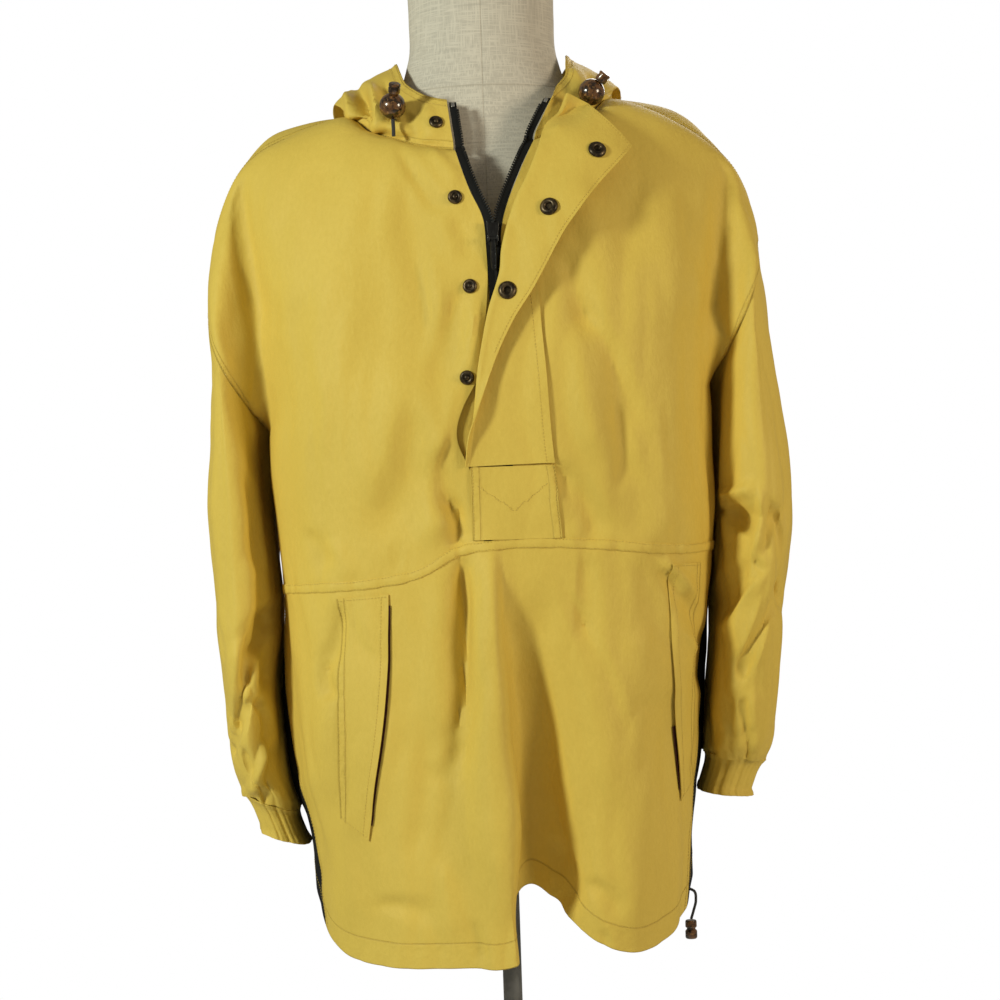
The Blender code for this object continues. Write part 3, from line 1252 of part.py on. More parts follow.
def dress_form(parts):
    """Linen torso without limbs, its neck cap, the pole and the round base."""
    heights = np.array([row[0] for row in FORM])
    levels = np.concatenate([np.linspace(heights[0], 1.20, 7), np.linspace(1.23, heights[-1], 11)])
    count = 28
    turns = np.arange(count) * 360.0 / count
    rings = []
    for level in levels:
        size = {name: float(through(heights, column(FORM, FORM_COLUMNS, name), level))
                for name in FORM_COLUMNS[1:]}
        sine, cosine = rounded(turns, size["power"])
        x = FORM_SHIFT + size["half"] * sine
        y = FORM_BACK - np.where(cosine > 0, size["front"], size["back"]) * cosine
        rings.append(np.stack([x, y, np.full(x.shape, level + FORM_LIFT)], axis=-1))
    skin = bmesh.new()
    verts = [[skin.verts.new(p) for p in ring_points] for ring_points in rings]
    for low, high in zip(verts, verts[1:]):
        for c in range(count):
            n = (c + 1) % count
            skin.faces.new((low[c], low[n], high[n], high[c]))
    skin.faces.new(verts[0][::-1])
    skin.faces.new(verts[-1])
    bmesh.ops.recalc_face_normals(skin, faces=skin.faces)
    mesh = bpy.data.meshes.new("form_torso")
    skin.to_mesh(mesh)
    skin.free()
    mesh.shade_smooth()
    placed("form_torso", mesh, linen(), parts)
    neck_top = heights[-1] + FORM_LIFT + 0.0003
    cap = ((0.0, 0.013), (0.020, 0.0125), (0.045, 0.0105), (0.060, 0.0065), (0.0635, 0.0020), (0.0635, 0.0),
           (0.0, 0.0))
    turned("form_neck_cap", cap, (FORM_SHIFT, FORM_BACK, neck_top), (0, 0, 1), linen(), parts, steps=28)
    bottom = heights[0] + FORM_LIFT
    pole_low = BASE_THICK + 0.0003
    pole_length = bottom - 0.0003 - pole_low
    bpy.ops.mesh.primitive_cylinder_add(vertices=24, radius=POLE_RADIUS, depth=pole_length,
                                        location=(0, 0, pole_low + pole_length / 2))
    pole = bpy.context.object
    pole.name = "stand_pole"
    pole.data.materials.append(steel())
    pole.data.shade_smooth()
    for holder in pole.users_collection:
        holder.objects.unlink(pole)
    parts.objects.link(pole)
    inner = POLE_RADIUS + 0.0003
    plate = ((0.0, BASE_THICK), (inner, BASE_THICK), (inner, 0.036), (0.0145, 0.036), (0.0160, 0.0340),
             (0.0170, BASE_THICK + 0.004), (0.0210, BASE_THICK), (BASE_RADIUS - 0.004, BASE_THICK - 0.001),
             (BASE_RADIUS, BASE_THICK - 0.004), (BASE_RADIUS, 0.0), (0.0, 0.0))
    turned("stand_base", plate, (0, 0, 0), (0, 0, 1), steel(), parts, steps=40)


def whole_front():
    """The fronts and the hood's front parts as one surface to lay things on."""
    angles = np.linspace(-90, 90, 181)
    heights = np.concatenate([np.linspace(0.56, ARMPIT, 80), np.linspace(ARMPIT + 0.002, 1.30, 60)])
    sheets = [body_point(angles[None, :], heights[:, None])]
    for first, last in ((0.0, 0.28), (0.72, 1.0)):
        sheets.append(hood_point(np.linspace(first, last, 40), np.linspace(0, 1, 30)))
    return Surface(sheets)


def build():
    cleared()
    parts = bpy.data.collections.new("anorak pullover")
    bpy.context.scene.collection.children.link(parts)
    cutters = bpy.data.collections.new("cutters")
    bpy.context.scene.collection.children.link(cutters)
    for side in (-1, 1):
        upper_front(side, parts)
        side_panel(side, parts)
        sleeve(side, parts)
        cuff(side, parts)
        pocket_welt(side, parts)
    lower_front(parts)
    back_panel(parts)
    waist_band(parts)
    hood(parts)
    surface = whole_front()
    placket(surface, parts)
    for side in (-1, 1):
        zip_stop(side, zip_tape(side, surface, parts), parts)
        hood_lock(side, surface, parts)
    slider(surface, parts)
    flap = Surface([storm_flap(surface, parts)])
    for index, (x, z) in enumerate(STUDS):
        snap(f"stud_{index + 1}", surface, x, z, BAND_CLEAR, STUD_RADIUS, 0.0032, parts)
    for index, (x, z) in enumerate(SOCKETS):
        snap(f"socket_{index + 1}", flap, x, z, 0.0006, SOCKET_RADIUS, 0.0030, parts, bore=0.0028)
    hem_lock(parts)
    dress_form(parts)


build()
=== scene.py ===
"""Looks of the hooded anorak pullover on its dress form, laid out as an add-on.

Metres, +Z up, +X to the wearer's left, front towards -Y. The cloth is cut from one surface,
body_point(angle, height), as its solids are. Each panel is a thin shell on that surface with its
creases pressed in; seams, sewing, zip, fasteners, cords, dress form and stand are made round it.
"""

import math

import bmesh
import bpy
import numpy as np
from bpy.props import FloatProperty, FloatVectorProperty, IntProperty, PointerProperty
from mathutils import Matrix, Vector
from mathutils.bvhtree import BVHTree


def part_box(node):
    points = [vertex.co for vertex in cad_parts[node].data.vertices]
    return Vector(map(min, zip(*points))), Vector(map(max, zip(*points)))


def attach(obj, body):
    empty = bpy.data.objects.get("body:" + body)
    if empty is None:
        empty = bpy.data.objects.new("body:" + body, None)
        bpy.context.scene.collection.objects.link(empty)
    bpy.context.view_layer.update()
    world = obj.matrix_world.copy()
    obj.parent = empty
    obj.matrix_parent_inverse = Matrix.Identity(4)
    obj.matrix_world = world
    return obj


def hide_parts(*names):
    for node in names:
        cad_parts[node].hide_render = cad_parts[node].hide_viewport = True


bl_info = {
    "name": "Anorak pullover on a dress form",
    "version": (1, 0, 0),
    "blender": (4, 5, 0),
    "location": "View3D > Sidebar > Anorak",
    "description": "Cloth, sewing, fasteners, dress form and stage of a hooded anorak pullover",
    "category": "Object",
}

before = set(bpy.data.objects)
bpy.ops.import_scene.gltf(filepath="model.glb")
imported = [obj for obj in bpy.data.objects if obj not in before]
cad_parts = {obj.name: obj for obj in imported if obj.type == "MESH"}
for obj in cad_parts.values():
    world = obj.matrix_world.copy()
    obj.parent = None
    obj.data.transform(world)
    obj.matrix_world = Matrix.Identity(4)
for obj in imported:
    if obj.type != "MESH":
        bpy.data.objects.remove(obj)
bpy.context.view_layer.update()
ROOT = "garment_on_form"
TAB = "pull_tab"
SIDES = ((-1, "right"), (1, "left"))
BACK_LEFT, BACK_RIGHT = 90.0005, 269.9995    # side edges of the back in degrees, just behind the fronts

# ---------------------------------------------------------------- sizes (metres)
WALL = 0.0013            # cloth with its coating, seam allowances and air between them
ARMPIT = 1.050           # height where the body ring ends and the yoke begins
YOKE_SPAN = 0.250        # length given to the yoke above the armpit level
YOKE_ROUND = 2.3         # how late the yoke turns over towards the shoulder seam
ARM_DEPTH = 0.086        # how far the upper arm reaches to the front and to the back
RIDGE = 0.024            # height of the shoulder top over the forward shoulder seam
GUSSET = 24.0            # half angle of the side panels at the hem, degrees
NECK_CORNER = 39.0       # angle of the neck end of the shoulder seam
POLE_RADIUS = 0.0085
BASE_RADIUS = 0.175
BASE_THICK = 0.010
# body sections: half widths to the wearer's right and left, depths, squareness of the corners
BODY_COLUMNS = ("height", "right", "left", "front", "back", "square")
BODY = (
    (0.540, 0.168, 0.158, 0.137, 0.150, 2.6),
    (0.630, 0.172, 0.163, 0.138, 0.150, 2.6),
    (0.670, 0.173, 0.165, 0.138, 0.149, 2.6),
    (0.720, 0.180, 0.169, 0.138, 0.148, 2.7),
    (0.800, 0.188, 0.177, 0.138, 0.145, 2.8),
    (0.860, 0.191, 0.185, 0.138, 0.142, 2.9),
    (0.920, 0.194, 0.192, 0.138, 0.139, 3.0),
    (1.000, 0.198, 0.194, 0.141, 0.136, 3.0),
    (1.050, 0.200, 0.194, 0.142, 0.134, 3.0),
)
SEAM_LINE = (
    (-90, -0.2500, 0.000, 1.153),
    (-80, -0.2475, -0.014, 1.188),
    (-71, -0.2400, -0.028, 1.224),
    (-63, -0.2220, -0.040, 1.261),
    (-56, -0.2020, -0.036, 1.283),
    (-48, -0.1700, -0.031, 1.299),
    (-39, -0.1234, -0.030, 1.314),
    (-30, -0.1010, -0.055, 1.297),
    (-22, -0.0800, -0.072, 1.287),
    (-14, -0.0520, -0.090, 1.276),
    (-8, -0.0260, -0.100, 1.271),
    (0, 0.0060, -0.104, 1.268),
    (11, 0.0400, -0.098, 1.277),
    (20, 0.0700, -0.083, 1.290),
    (30, 0.0950, -0.058, 1.306),
    (39, 0.1125, -0.030, 1.322),
    (48, 0.1560, -0.031, 1.307),
    (56, 0.1910, -0.036, 1.286),
    (63, 0.2140, -0.040, 1.264),
    (72, 0.2300, -0.028, 1.240),
    (81, 0.2370, -0.012, 1.220),
    (90, 0.2390, 0.000, 1.202),
)
# back neck seam between the neck corners
NECK_BACK = (
    (-141, -0.1234, -0.030, 1.314),
    (-150, -0.1220, 0.010, 1.333),
    (-158, -0.1020, 0.042, 1.338),
    (-168, -0.0600, 0.066, 1.339),
    (-180, 0.0000, 0.076, 1.339),
    (-192, 0.0590, 0.066, 1.340),
    (-202, 0.0980, 0.042, 1.341),
    (-210, 0.1150, 0.010, 1.339),
    (-219, 0.1125, -0.030, 1.322),
)
# hem height round the body
HEM = (
    (-180, 0.600), (-145, 0.603), (-115, 0.624), (-90, 0.646), (-75, 0.630), (-62, 0.600),
    (-50, 0.583), (-36, 0.577), (-10, 0.578), (-3, 0.579), (0, 0.585), (3, 0.606), (7, 0.634),
    (13, 0.627), (20, 0.605), (30, 0.588), (42, 0.583), (52, 0.592), (62, 0.608), (75, 0.628),
    (90, 0.642), (115, 0.622), (145, 0.603), (180, 0.600),
)
# waist seam height across the front
WAIST = (
    (-90, 0.895), (-70, 0.898), (-45, 0.900), (-30, 0.903), (-18, 0.912), (-11, 0.926),
    (0, 0.932), (24, 0.930), (40, 0.924), (70, 0.924), (90, 0.924),
)
# edges of the front opening: x at each height, wearer's right and left
OPENING_RIGHT = (
    (0.925, -0.0120), (0.975, -0.0120), (1.000, -0.0225), (1.025, -0.0300),
    (1.050, -0.0240), (1.073, -0.0125), (1.095, -0.0085), (1.163, -0.0010), (1.183, -0.0016),
    (1.208, -0.0035), (1.235, -0.0146), (1.271, -0.0257), (1.300, -0.0320),
)
OPENING_LEFT = (
    (0.925, 0.0145), (0.985, 0.0145), (1.060, 0.0150), (1.163, 0.0125), (1.197, 0.0115),
    (1.213, 0.0150), (1.247, 0.0282), (1.280, 0.0434), (1.300, 0.0530),
)
FRONT_FOLDS = (
    (-0.216, 1.255, -0.190, 1.040, 0.013, 0.012),    # between front and right upper arm
    (0.213, 1.255, 0.191, 1.120, 0.012, 0.010),      # between front and left upper arm
    (-0.070, 1.270, -0.040, 1.000, 0.026, -0.004),   # rise beside the opening
    (-0.040, 1.090, -0.036, 0.930, 0.014, 0.006),    # trough beside the placket
    (-0.030, 0.915, -0.040, 0.760, 0.012, 0.008),
    (-0.008, 0.925, -0.012, 0.640, 0.016, -0.006),
    (0.028, 0.880, 0.040, 0.640, 0.020, 0.009),
    (0.085, 0.860, 0.095, 0.600, 0.030, -0.004),
    (0.130, 0.920, 0.146, 0.700, 0.012, 0.004),
)
BACK_FOLDS = (
    (-150, -154, 7.0, 0.016, 1.10),
    (-172, -170, 8.0, 0.011, 1.16),
    (168, 166, 7.0, 0.013, 1.14),
    (147, 150, 7.0, 0.015, 1.08),
    (-128, -126, 6.0, 0.009, 0.95),
    (126, 127, 6.0, 0.010, 0.97),
)
# sleeve sections, from the armhole to the cuff: mean height, how much higher the outer side
# lies than the mean, outer and inner x, and the depths
SLEEVE_COLUMNS = ("way", "height", "tilt", "outer", "inner", "front", "back")
SLEEVE_RIGHT = (
    (0.00, 1.095, 0.056, -0.2500, -0.2000, 0.086, 0.086),
    (0.12, 1.035, 0.038, -0.2530, -0.2000, 0.088, 0.088),
    (0.26, 0.972, 0.022, -0.2570, -0.1980, 0.090, 0.086),
    (0.40, 0.915, 0.010, -0.2572, -0.1960, 0.090, 0.082),
    (0.54, 0.858, 0.004, -0.2560, -0.1930, 0.087, 0.076),
    (0.68, 0.803, 0.000, -0.2510, -0.1920, 0.078, 0.069),
    (0.82, 0.757, 0.004, -0.2470, -0.1900, 0.067, 0.060),
    (0.93, 0.724, 0.008, -0.2390, -0.1870, 0.055, 0.050),
    (1.00, 0.708, 0.009, -0.2350, -0.1870, 0.044, 0.040),
)
SLEEVE_LEFT = (
    (0.00, 1.133, 0.065, 0.2390, 0.1940, 0.086, 0.086),
    (0.12, 1.070, 0.046, 0.2505, 0.1940, 0.088, 0.088),
    (0.26, 1.005, 0.026, 0.2605, 0.1940, 0.092, 0.086),
    (0.40, 0.942, 0.010, 0.2625, 0.1940, 0.092, 0.082),
    (0.54, 0.880, 0.004, 0.2550, 0.1870, 0.087, 0.076),
    (0.68, 0.824, 0.000, 0.2490, 0.1820, 0.078, 0.067),
    (0.82, 0.778, -0.002, 0.2455, 0.1780, 0.067, 0.058),
    (0.93, 0.750, -0.004, 0.2400, 0.1760, 0.055, 0.050),
    (1.00, 0.735, -0.004, 0.2340, 0.1800, 0.044, 0.040),
)
SLEEVE_CLEAR = 0.0018    # nearest that a sleeve hangs to the body
SLEEVE_FOLDS_RIGHT = (
    (0.16, 0.20, 0.12, 0.62, 0.014, 0.009),
    (0.10, 0.50, 0.34, 0.74, 0.010, 0.008),
    (0.20, 0.66, 0.42, 0.84, 0.010, 0.006),
    (0.62, 0.30, 0.72, 0.60, 0.014, 0.008),
    (0.90, 0.35, 0.84, 0.75, 0.014, 0.008),
    (0.30, 0.84, 0.26, 0.98, 0.009, 0.005),
)
SLEEVE_FOLDS_LEFT = (
    (0.12, 0.36, 0.30, 0.40, 0.010, 0.009),
    (0.33, 0.40, 0.38, 0.56, 0.009, 0.008),
    (0.36, 0.54, 0.20, 0.70, 0.010, 0.007),
    (0.64, 0.34, 0.74, 0.62, 0.014, 0.008),
    (0.86, 0.30, 0.80, 0.70, 0.014, 0.006),
    (0.22, 0.80, 0.28, 0.97, 0.009, 0.005),
)
CUFF_HEIGHT = 0.033
CUFF_DROP = 0.0008       # its upper edge below the sleeve's end
CUFF_LEAN = 0.012        # its lower edge lies this much nearer the body
# hood sections from the right zip edge round the back to the left one. Each runs from the neck
# seam (taken from the body) over three points to the rim: x, y, z of each point
HOOD_COLUMNS = ("way", "low", "pouch", "swell", "over", "rim")
HOOD = (
    (0.00, (-0.0272, -0.0980, 1.280), (-0.0285, -0.0945, 1.290), (-0.0297, -0.0903, 1.300),
     (-0.0308, -0.0855, 1.3095), (-0.0318, -0.0800, 1.3185)),
    (0.08, (-0.0570, -0.0905, 1.289), (-0.0565, -0.0865, 1.299), (-0.0550, -0.0815, 1.308),
     (-0.0530, -0.0760, 1.3165), (-0.0500, -0.0700, 1.3245)),
    (0.16, (-0.0940, -0.0760, 1.299), (-0.0960, -0.0680, 1.312), (-0.0900, -0.0610, 1.324),
     (-0.0790, -0.0540, 1.3330), (-0.0680, -0.0480, 1.3400)),
    (0.24, (-0.1290, -0.0330, 1.319), (-0.1340, -0.0220, 1.330), (-0.1210, -0.0170, 1.344),
     (-0.0980, -0.0130, 1.3560), (-0.0765, -0.0100, 1.3640)),
    (0.285, (-0.1320, 0.0060, 1.337), (-0.1400, 0.0260, 1.336), (-0.1350, 0.0420, 1.346),
     (-0.1120, 0.0360, 1.3580), (-0.0790, 0.0180, 1.3660)),
    (0.33, (-0.1340, 0.0520, 1.330), (-0.1450, 0.0820, 1.300), (-0.1400, 0.1120, 1.320),
     (-0.1160, 0.0960, 1.3580), (-0.0800, 0.0480, 1.3660)),
    (0.42, (-0.0800, 0.1400, 1.285), (-0.0920, 0.1640, 1.185), (-0.1000, 0.1940, 1.200),
     (-0.0900, 0.1860, 1.2900), (-0.0560, 0.1050, 1.3560)),
    (0.50, (0.0000, 0.1480, 1.270), (0.0000, 0.1700, 1.138), (0.0000, 0.2080, 1.152),
     (0.0000, 0.2080, 1.2650), (0.0000, 0.1220, 1.3500)),
    (0.58, (0.0800, 0.1400, 1.287), (0.0920, 0.1640, 1.187), (0.1000, 0.1940, 1.202),
     (0.0900, 0.1860, 1.2920), (0.0560, 0.1050, 1.3570)),
    (0.67, (0.1220, 0.0520, 1.337), (0.1340, 0.0820, 1.307), (0.1270, 0.1120, 1.327),
     (0.1060, 0.0960, 1.3620), (0.0780, 0.0480, 1.3690)),
    (0.715, (0.1240, 0.0070, 1.345), (0.1290, 0.0260, 1.344), (0.1230, 0.0420, 1.352),
     (0.1020, 0.0360, 1.3620), (0.0785, 0.0180, 1.3690)),
    (0.76, (0.1125, -0.0330, 1.327), (0.1110, -0.0230, 1.338), (0.1010, -0.0180, 1.350),
     (0.0870, -0.0130, 1.3600), (0.0755, -0.0100, 1.3670)),
    (0.84, (0.0965, -0.0575, 1.313), (0.0955, -0.0550, 1.321), (0.0910, -0.0525, 1.330),
     (0.0830, -0.0490, 1.3370), (0.0730, -0.0450, 1.3440)),
    (0.92, (0.0700, -0.0840, 1.298), (0.0695, -0.0800, 1.306), (0.0680, -0.0750, 1.314),
     (0.0660, -0.0700, 1.3220), (0.0640, -0.0640, 1.3300)),
    (1.00, (0.0445, -0.0955, 1.286), (0.0490, -0.0920, 1.295), (0.0535, -0.0880, 1.304),
     (0.0578, -0.0835, 1.3120), (0.0620, -0.0780, 1.3200)),
)
HOOD_CORNER = 0.24       # way of the neck corner, and of the other one from the far end
HOOD_CENTRE = 1 / 6      # the centre strip takes this part of the back neck seam each way
HOOD_RISES = (0, 0.015, 0.04, 0.08, 0.13, 0.19, 0.26, 0.33, 0.39, 0.45, 0.52, 0.61, 0.73, 0.87, 1.0)
HOOD_RELAX = 4           # rounds of evening out the hood's sheet
HOOD_CLEAR = 0.007       # the laid-back hood stays this far from the back
NECK_START = (-8.2, 11.8)         # angles of the zip's edges at the neck seam
# zip: outer edge x of each tape below the hood
ZIP_RIGHT = (
    (0.990, -0.0004), (1.100, -0.0006), (1.163, -0.0009), (1.183, -0.0019), (1.208, -0.0037),
    (1.235, -0.0146), (1.271, -0.0257), (1.300, -0.0320),
)
ZIP_LEFT = (
    (0.990, 0.0142), (1.060, 0.0142), (1.163, 0.0129), (1.197, 0.0117), (1.213, 0.0150),
    (1.247, 0.0282), (1.280, 0.0434), (1.300, 0.0530),
)
ZIP_FOOT = 1.004
ZIP_TAPE = 0.0062
ZIP_SLANT = 1.15         # the slanting tapes are this much wider across
ZIP_TOP = {-1: 1.3155, 1: 1.3168}
SLIDER_X = 0.0045
# storm flap, top to foot: seam, visible roll and free edge as x, z; the turn of the roll in
# degrees; how far the free edge stands up; distance from the cloth under it
FLAP = (
    (0.0740, 1.3120, 0.0684, 1.3130, 0.1188, 1.2617, 180, 0.006, 0.0050),
    (0.0700, 1.2960, 0.0615, 1.2980, 0.1090, 1.2510, 180, 0.008, 0.0050),
    (0.0660, 1.2790, 0.0530, 1.2800, 0.0965, 1.2365, 180, 0.009, 0.0050),
    (0.0610, 1.2610, 0.0440, 1.2630, 0.0860, 1.2240, 180, 0.009, 0.0036),
    (0.0560, 1.2410, 0.0345, 1.2416, 0.0745, 1.2085, 180, 0.010, 0.0026),
    (0.0500, 1.2220, 0.0248, 1.2230, 0.0640, 1.1940, 180, 0.009, 0.0020),
    (0.0455, 1.2010, 0.0168, 1.2021, 0.0551, 1.1790, 180, 0.008, 0.0018),
    (0.0425, 1.1800, 0.0108, 1.1799, 0.0470, 1.1640, 180, 0.006, 0.0018),
    (0.0410, 1.1570, 0.0082, 1.1590, 0.0360, 1.1450, 180, 0.004, 0.0018),
    (0.0420, 1.1280, -0.0015, 1.1300, 0.0206, 1.1222, 180, 0.003, 0.0018),
    (0.0438, 1.1010, -0.0080, 1.1020, 0.0070, 1.0965, 180, 0.002, 0.0018),
)
# rows of the flap below, where the fold opens out: seam, roll, turn, and the width of the
# piece beyond the roll
FLAP_FOOT = (
    (0.0455, 1.0750, -0.0130, 1.0755, 165, 0.0085),
    (0.0465, 1.0500, -0.0160, 1.0500, 125, 0.0060),
    (0.0480, 1.0250, -0.0191, 1.0250, 70, 0.0045),
    (0.0500, 1.0000, -0.0215, 0.9988, 25, 0.0030),
)
FLAP_ROLL = 0.0032
FLAP_CLEAR = 0.0018
FLAP_ACROSS = 5          # steps from the roll to the free edge
PLACKET_BOX = (-0.0210, 0.0500, 0.9365, 0.9981)
PLACKET_FLARE = 0.08
FACING_BOX = (-0.0460, 0.0100, 0.9900, 1.1600)
BAND_CLEAR = 0.0009      # bands, welts and plackets lie this far off the cloth under them
# pocket welts, top to bottom: angles of the edge towards the centre and of the other edge, how
# much lower the first lies, height, and how far it stands open
WELT_RIGHT = (
    (-26.8, -40.0, -0.0030, 0.8905, 0.0008),
    (-27.4, -40.6, -0.0010, 0.8600, 0.0022),
    (-28.4, -41.6, 0.0020, 0.8200, 0.0030),
    (-30.6, -42.9, 0.0060, 0.7800, 0.0034),
    (-34.2, -44.9, 0.0110, 0.7400, 0.0028),
    (-38.4, -46.8, 0.0190, 0.7030, 0.0010),
)
WELT_LEFT = (
    (43.0, 57.0, -0.0010, 0.9100, 0.0006),
    (44.5, 58.0, 0.0010, 0.8750, 0.0010),
    (46.5, 59.5, 0.0030, 0.8350, 0.0014),
    (49.5, 61.5, 0.0060, 0.7900, 0.0026),
    (53.0, 64.0, 0.0100, 0.7500, 0.0030),
    (57.0, 67.0, 0.0160, 0.7200, 0.0010),
)
STUDS = ((-0.0414, 1.2970), (-0.0266, 1.2272), (-0.0162, 1.1505), (-0.0212, 1.0735))
STUD_RADIUS = 0.0062
SOCKETS = ((0.0949, 1.2634), (0.0523, 1.2146), (0.0150, 1.1453))
SOCKET_RADIUS = 0.0078
LOCK_PLACE = {-1: (-0.0764, 1.3073), 1: (0.0885, 1.3180)}
LOCK_LEAN = {-1: (0.15, -0.45, 0.88), 1: (0.62, -0.30, 0.72)}
LOCK_RADIUS = 0.0098
HOOD_CORD = 0.0032
HEM_CORD = 0.0024
HEM_CORD_ANGLE = 68.0
# dress form: trimmed to the cloth that it carries, then its sections
FORM_SHIFT = 0.0003
FORM_BACK = 0.0040
FORM_LIFT = 0.0090
FORM_COLUMNS = ("height", "half", "front", "back", "power")
FORM = (
    (0.660, 0.138, 0.074, 0.100, 2.1),
    (0.700, 0.147, 0.084, 0.110, 2.2),
    (0.780, 0.148, 0.098, 0.104, 2.2),
    (0.880, 0.138, 0.098, 0.094, 2.2),
    (0.980, 0.148, 0.106, 0.102, 2.2),
    (1.080, 0.163, 0.116, 0.112, 2.2),
    (1.160, 0.170, 0.117, 0.114, 2.2),
    (1.220, 0.170, 0.106, 0.108, 2.1),
    (1.260, 0.164, 0.090, 0.096, 1.9),
    (1.290, 0.146, 0.076, 0.084, 1.6),
    (1.310, 0.112, 0.069, 0.074, 1.6),
    (1.330, 0.080, 0.065, 0.066, 1.9),
    (1.355, 0.068, 0.0615, 0.0615, 2.0),
    (1.395, 0.0655, 0.0600, 0.0600, 2.0),
    (1.432, 0.0665, 0.0605, 0.0605, 2.0),
)
NECK_COLUMNS = 7
BACK_NECK_COLUMNS = 10
SEAM_GAP = 0.0002


# ---------------------------------------------------------------- the surface
def column(rows, columns, name):
    """One named column of a table as an array."""
    return np.array([row[columns.index(name)] for row in rows], dtype=float)


def through(knots, values, at):
    """Smooth curve through the values at the knots, read at one or more places."""
    knots = np.asarray(knots, dtype=float)
    values = np.asarray(values, dtype=float)
    at = np.clip(np.asarray(at, dtype=float), knots[0], knots[-1])
    slopes = np.gradient(values, knots, axis=0)
    low = np.clip(np.searchsorted(knots, at, side="right") - 1, 0, len(knots) - 2)
    span = knots[low + 1] - knots[low]
    s = (at - knots[low]) / span
    if values.ndim > 1:
        s = s[..., None]
        span = span[..., None]
    keep = (1 + 2 * s) * (1 - s) ** 2
    take = s * s * (3 - 2 * s)
    lean_in = s * (1 - s) ** 2 * span
    lean_out = s * s * (s - 1) * span
    return keep * values[low] + take * values[low + 1] + lean_in * slopes[low] + lean_out * slopes[low + 1]


def read_off(table, at):
    """Smooth curve through a table of two columns, read at one or more places."""
    knots = np.array(table, dtype=float)
    return through(knots[:, 0], knots[:, 1], at)


def unit(vectors, least=1e-12):
    """Vectors brought to length 1."""
    return vectors / np.maximum(np.linalg.norm(vectors, axis=-1, keepdims=True), least)


def travelled(route):
    """Length run along a route up to each of its points."""
    return np.concatenate([[0], np.cumsum(np.linalg.norm(np.diff(route, axis=0), axis=1))])


def ease(at):
    """Smooth step from 0 to 1."""
    at = np.clip(at, 0.0, 1.0)
    return at * at * (3 - 2 * at)


def wrap(angle):
    """Brings an angle into -180 to 180 degrees."""
    return (np.asarray(angle, dtype=float) + 180.0) % 360.0 - 180.0


def rounded(angle, power):
    """Unit superellipse: sine and cosine stretched towards the corners."""
    sine = np.sin(np.radians(angle))
    cosine = np.cos(np.radians(angle))
    reach = (np.abs(sine) ** power + np.abs(cosine) ** power) ** (-1.0 / power)
    return sine * reach, cosine * reach


def ring(angle, height):
    """Section of the body below the yoke, with the side panels' swell and the front fold."""
    angle, height = np.broadcast_arrays(wrap(angle), np.asarray(height, dtype=float))
    heights = column(BODY, BODY_COLUMNS, "height")
    size = {name: through(heights, column(BODY, BODY_COLUMNS, name), height)
            for name in BODY_COLUMNS[1:]}
    sine, cosine = rounded(angle, size["square"])
    x = np.where(sine < 0, size["right"], size["left"]) * sine
    y = -np.where(cosine > 0, size["front"], size["back"]) * cosine
    below = ease((0.90 - height) / 0.10) * ease((height - 0.66) / 0.08)
    x = x - 0.011 * below * np.exp(-((angle + 97) / 21) ** 2)
    x = x + 0.006 * below * np.exp(-((angle - 100) / 21) ** 2)
    fade = np.clip((0.850 - height) / 0.250, 0, 1.2) ** 1.3
    inwards = ease((angle + 2.0) / 6.5) * np.exp(-np.clip((angle - 6.0) / 12.0, 0, None) ** 2)
    y = y + 0.066 * fade * inwards
    x = x - 0.014 * fade * np.exp(-((angle - 5.5) / 4.5) ** 2)
    lobe = np.exp(-((angle + 3.0) / 9.0) ** 2)
    y = y - 0.014 * fade * lobe
    x = x + 0.010 * fade * np.exp(-((angle + 1.5) / 3.5) ** 2)
    y = y - 0.006 * fade * np.exp(-((angle - 38.0) / 18.0) ** 2)
    lift = np.where(angle < 0, -0.015, 0.020) * np.abs(np.sin(np.radians(angle))) ** 4
    z = height + lift * ease((height - 0.93) / 0.12)
    return np.stack([x, y, z], axis=-1)


def seam_point(angle):
    """Upper edge of the yoke: neck seam and shoulder seams. The back shares the shoulder."""
    angle = np.asarray(angle, dtype=float)
    wrapped = wrap(angle)
    mirrored = np.where(wrapped > 90, 180 - wrapped, np.where(wrapped < -90, -180 - wrapped, wrapped))
    line = np.array(SEAM_LINE, dtype=float)
    shoulder = through(line[:, 0], line[:, 1:], mirrored)
    neck = np.array(NECK_BACK, dtype=float)[::-1]
    turned = np.where(wrapped > 0, wrapped - 360, wrapped)
    behind = through(neck[:, 0], neck[:, 1:], turned)
    at_neck = (np.abs(wrapped) > 180 - NECK_CORNER)[..., None]
    return np.where(at_neck, behind, shoulder)


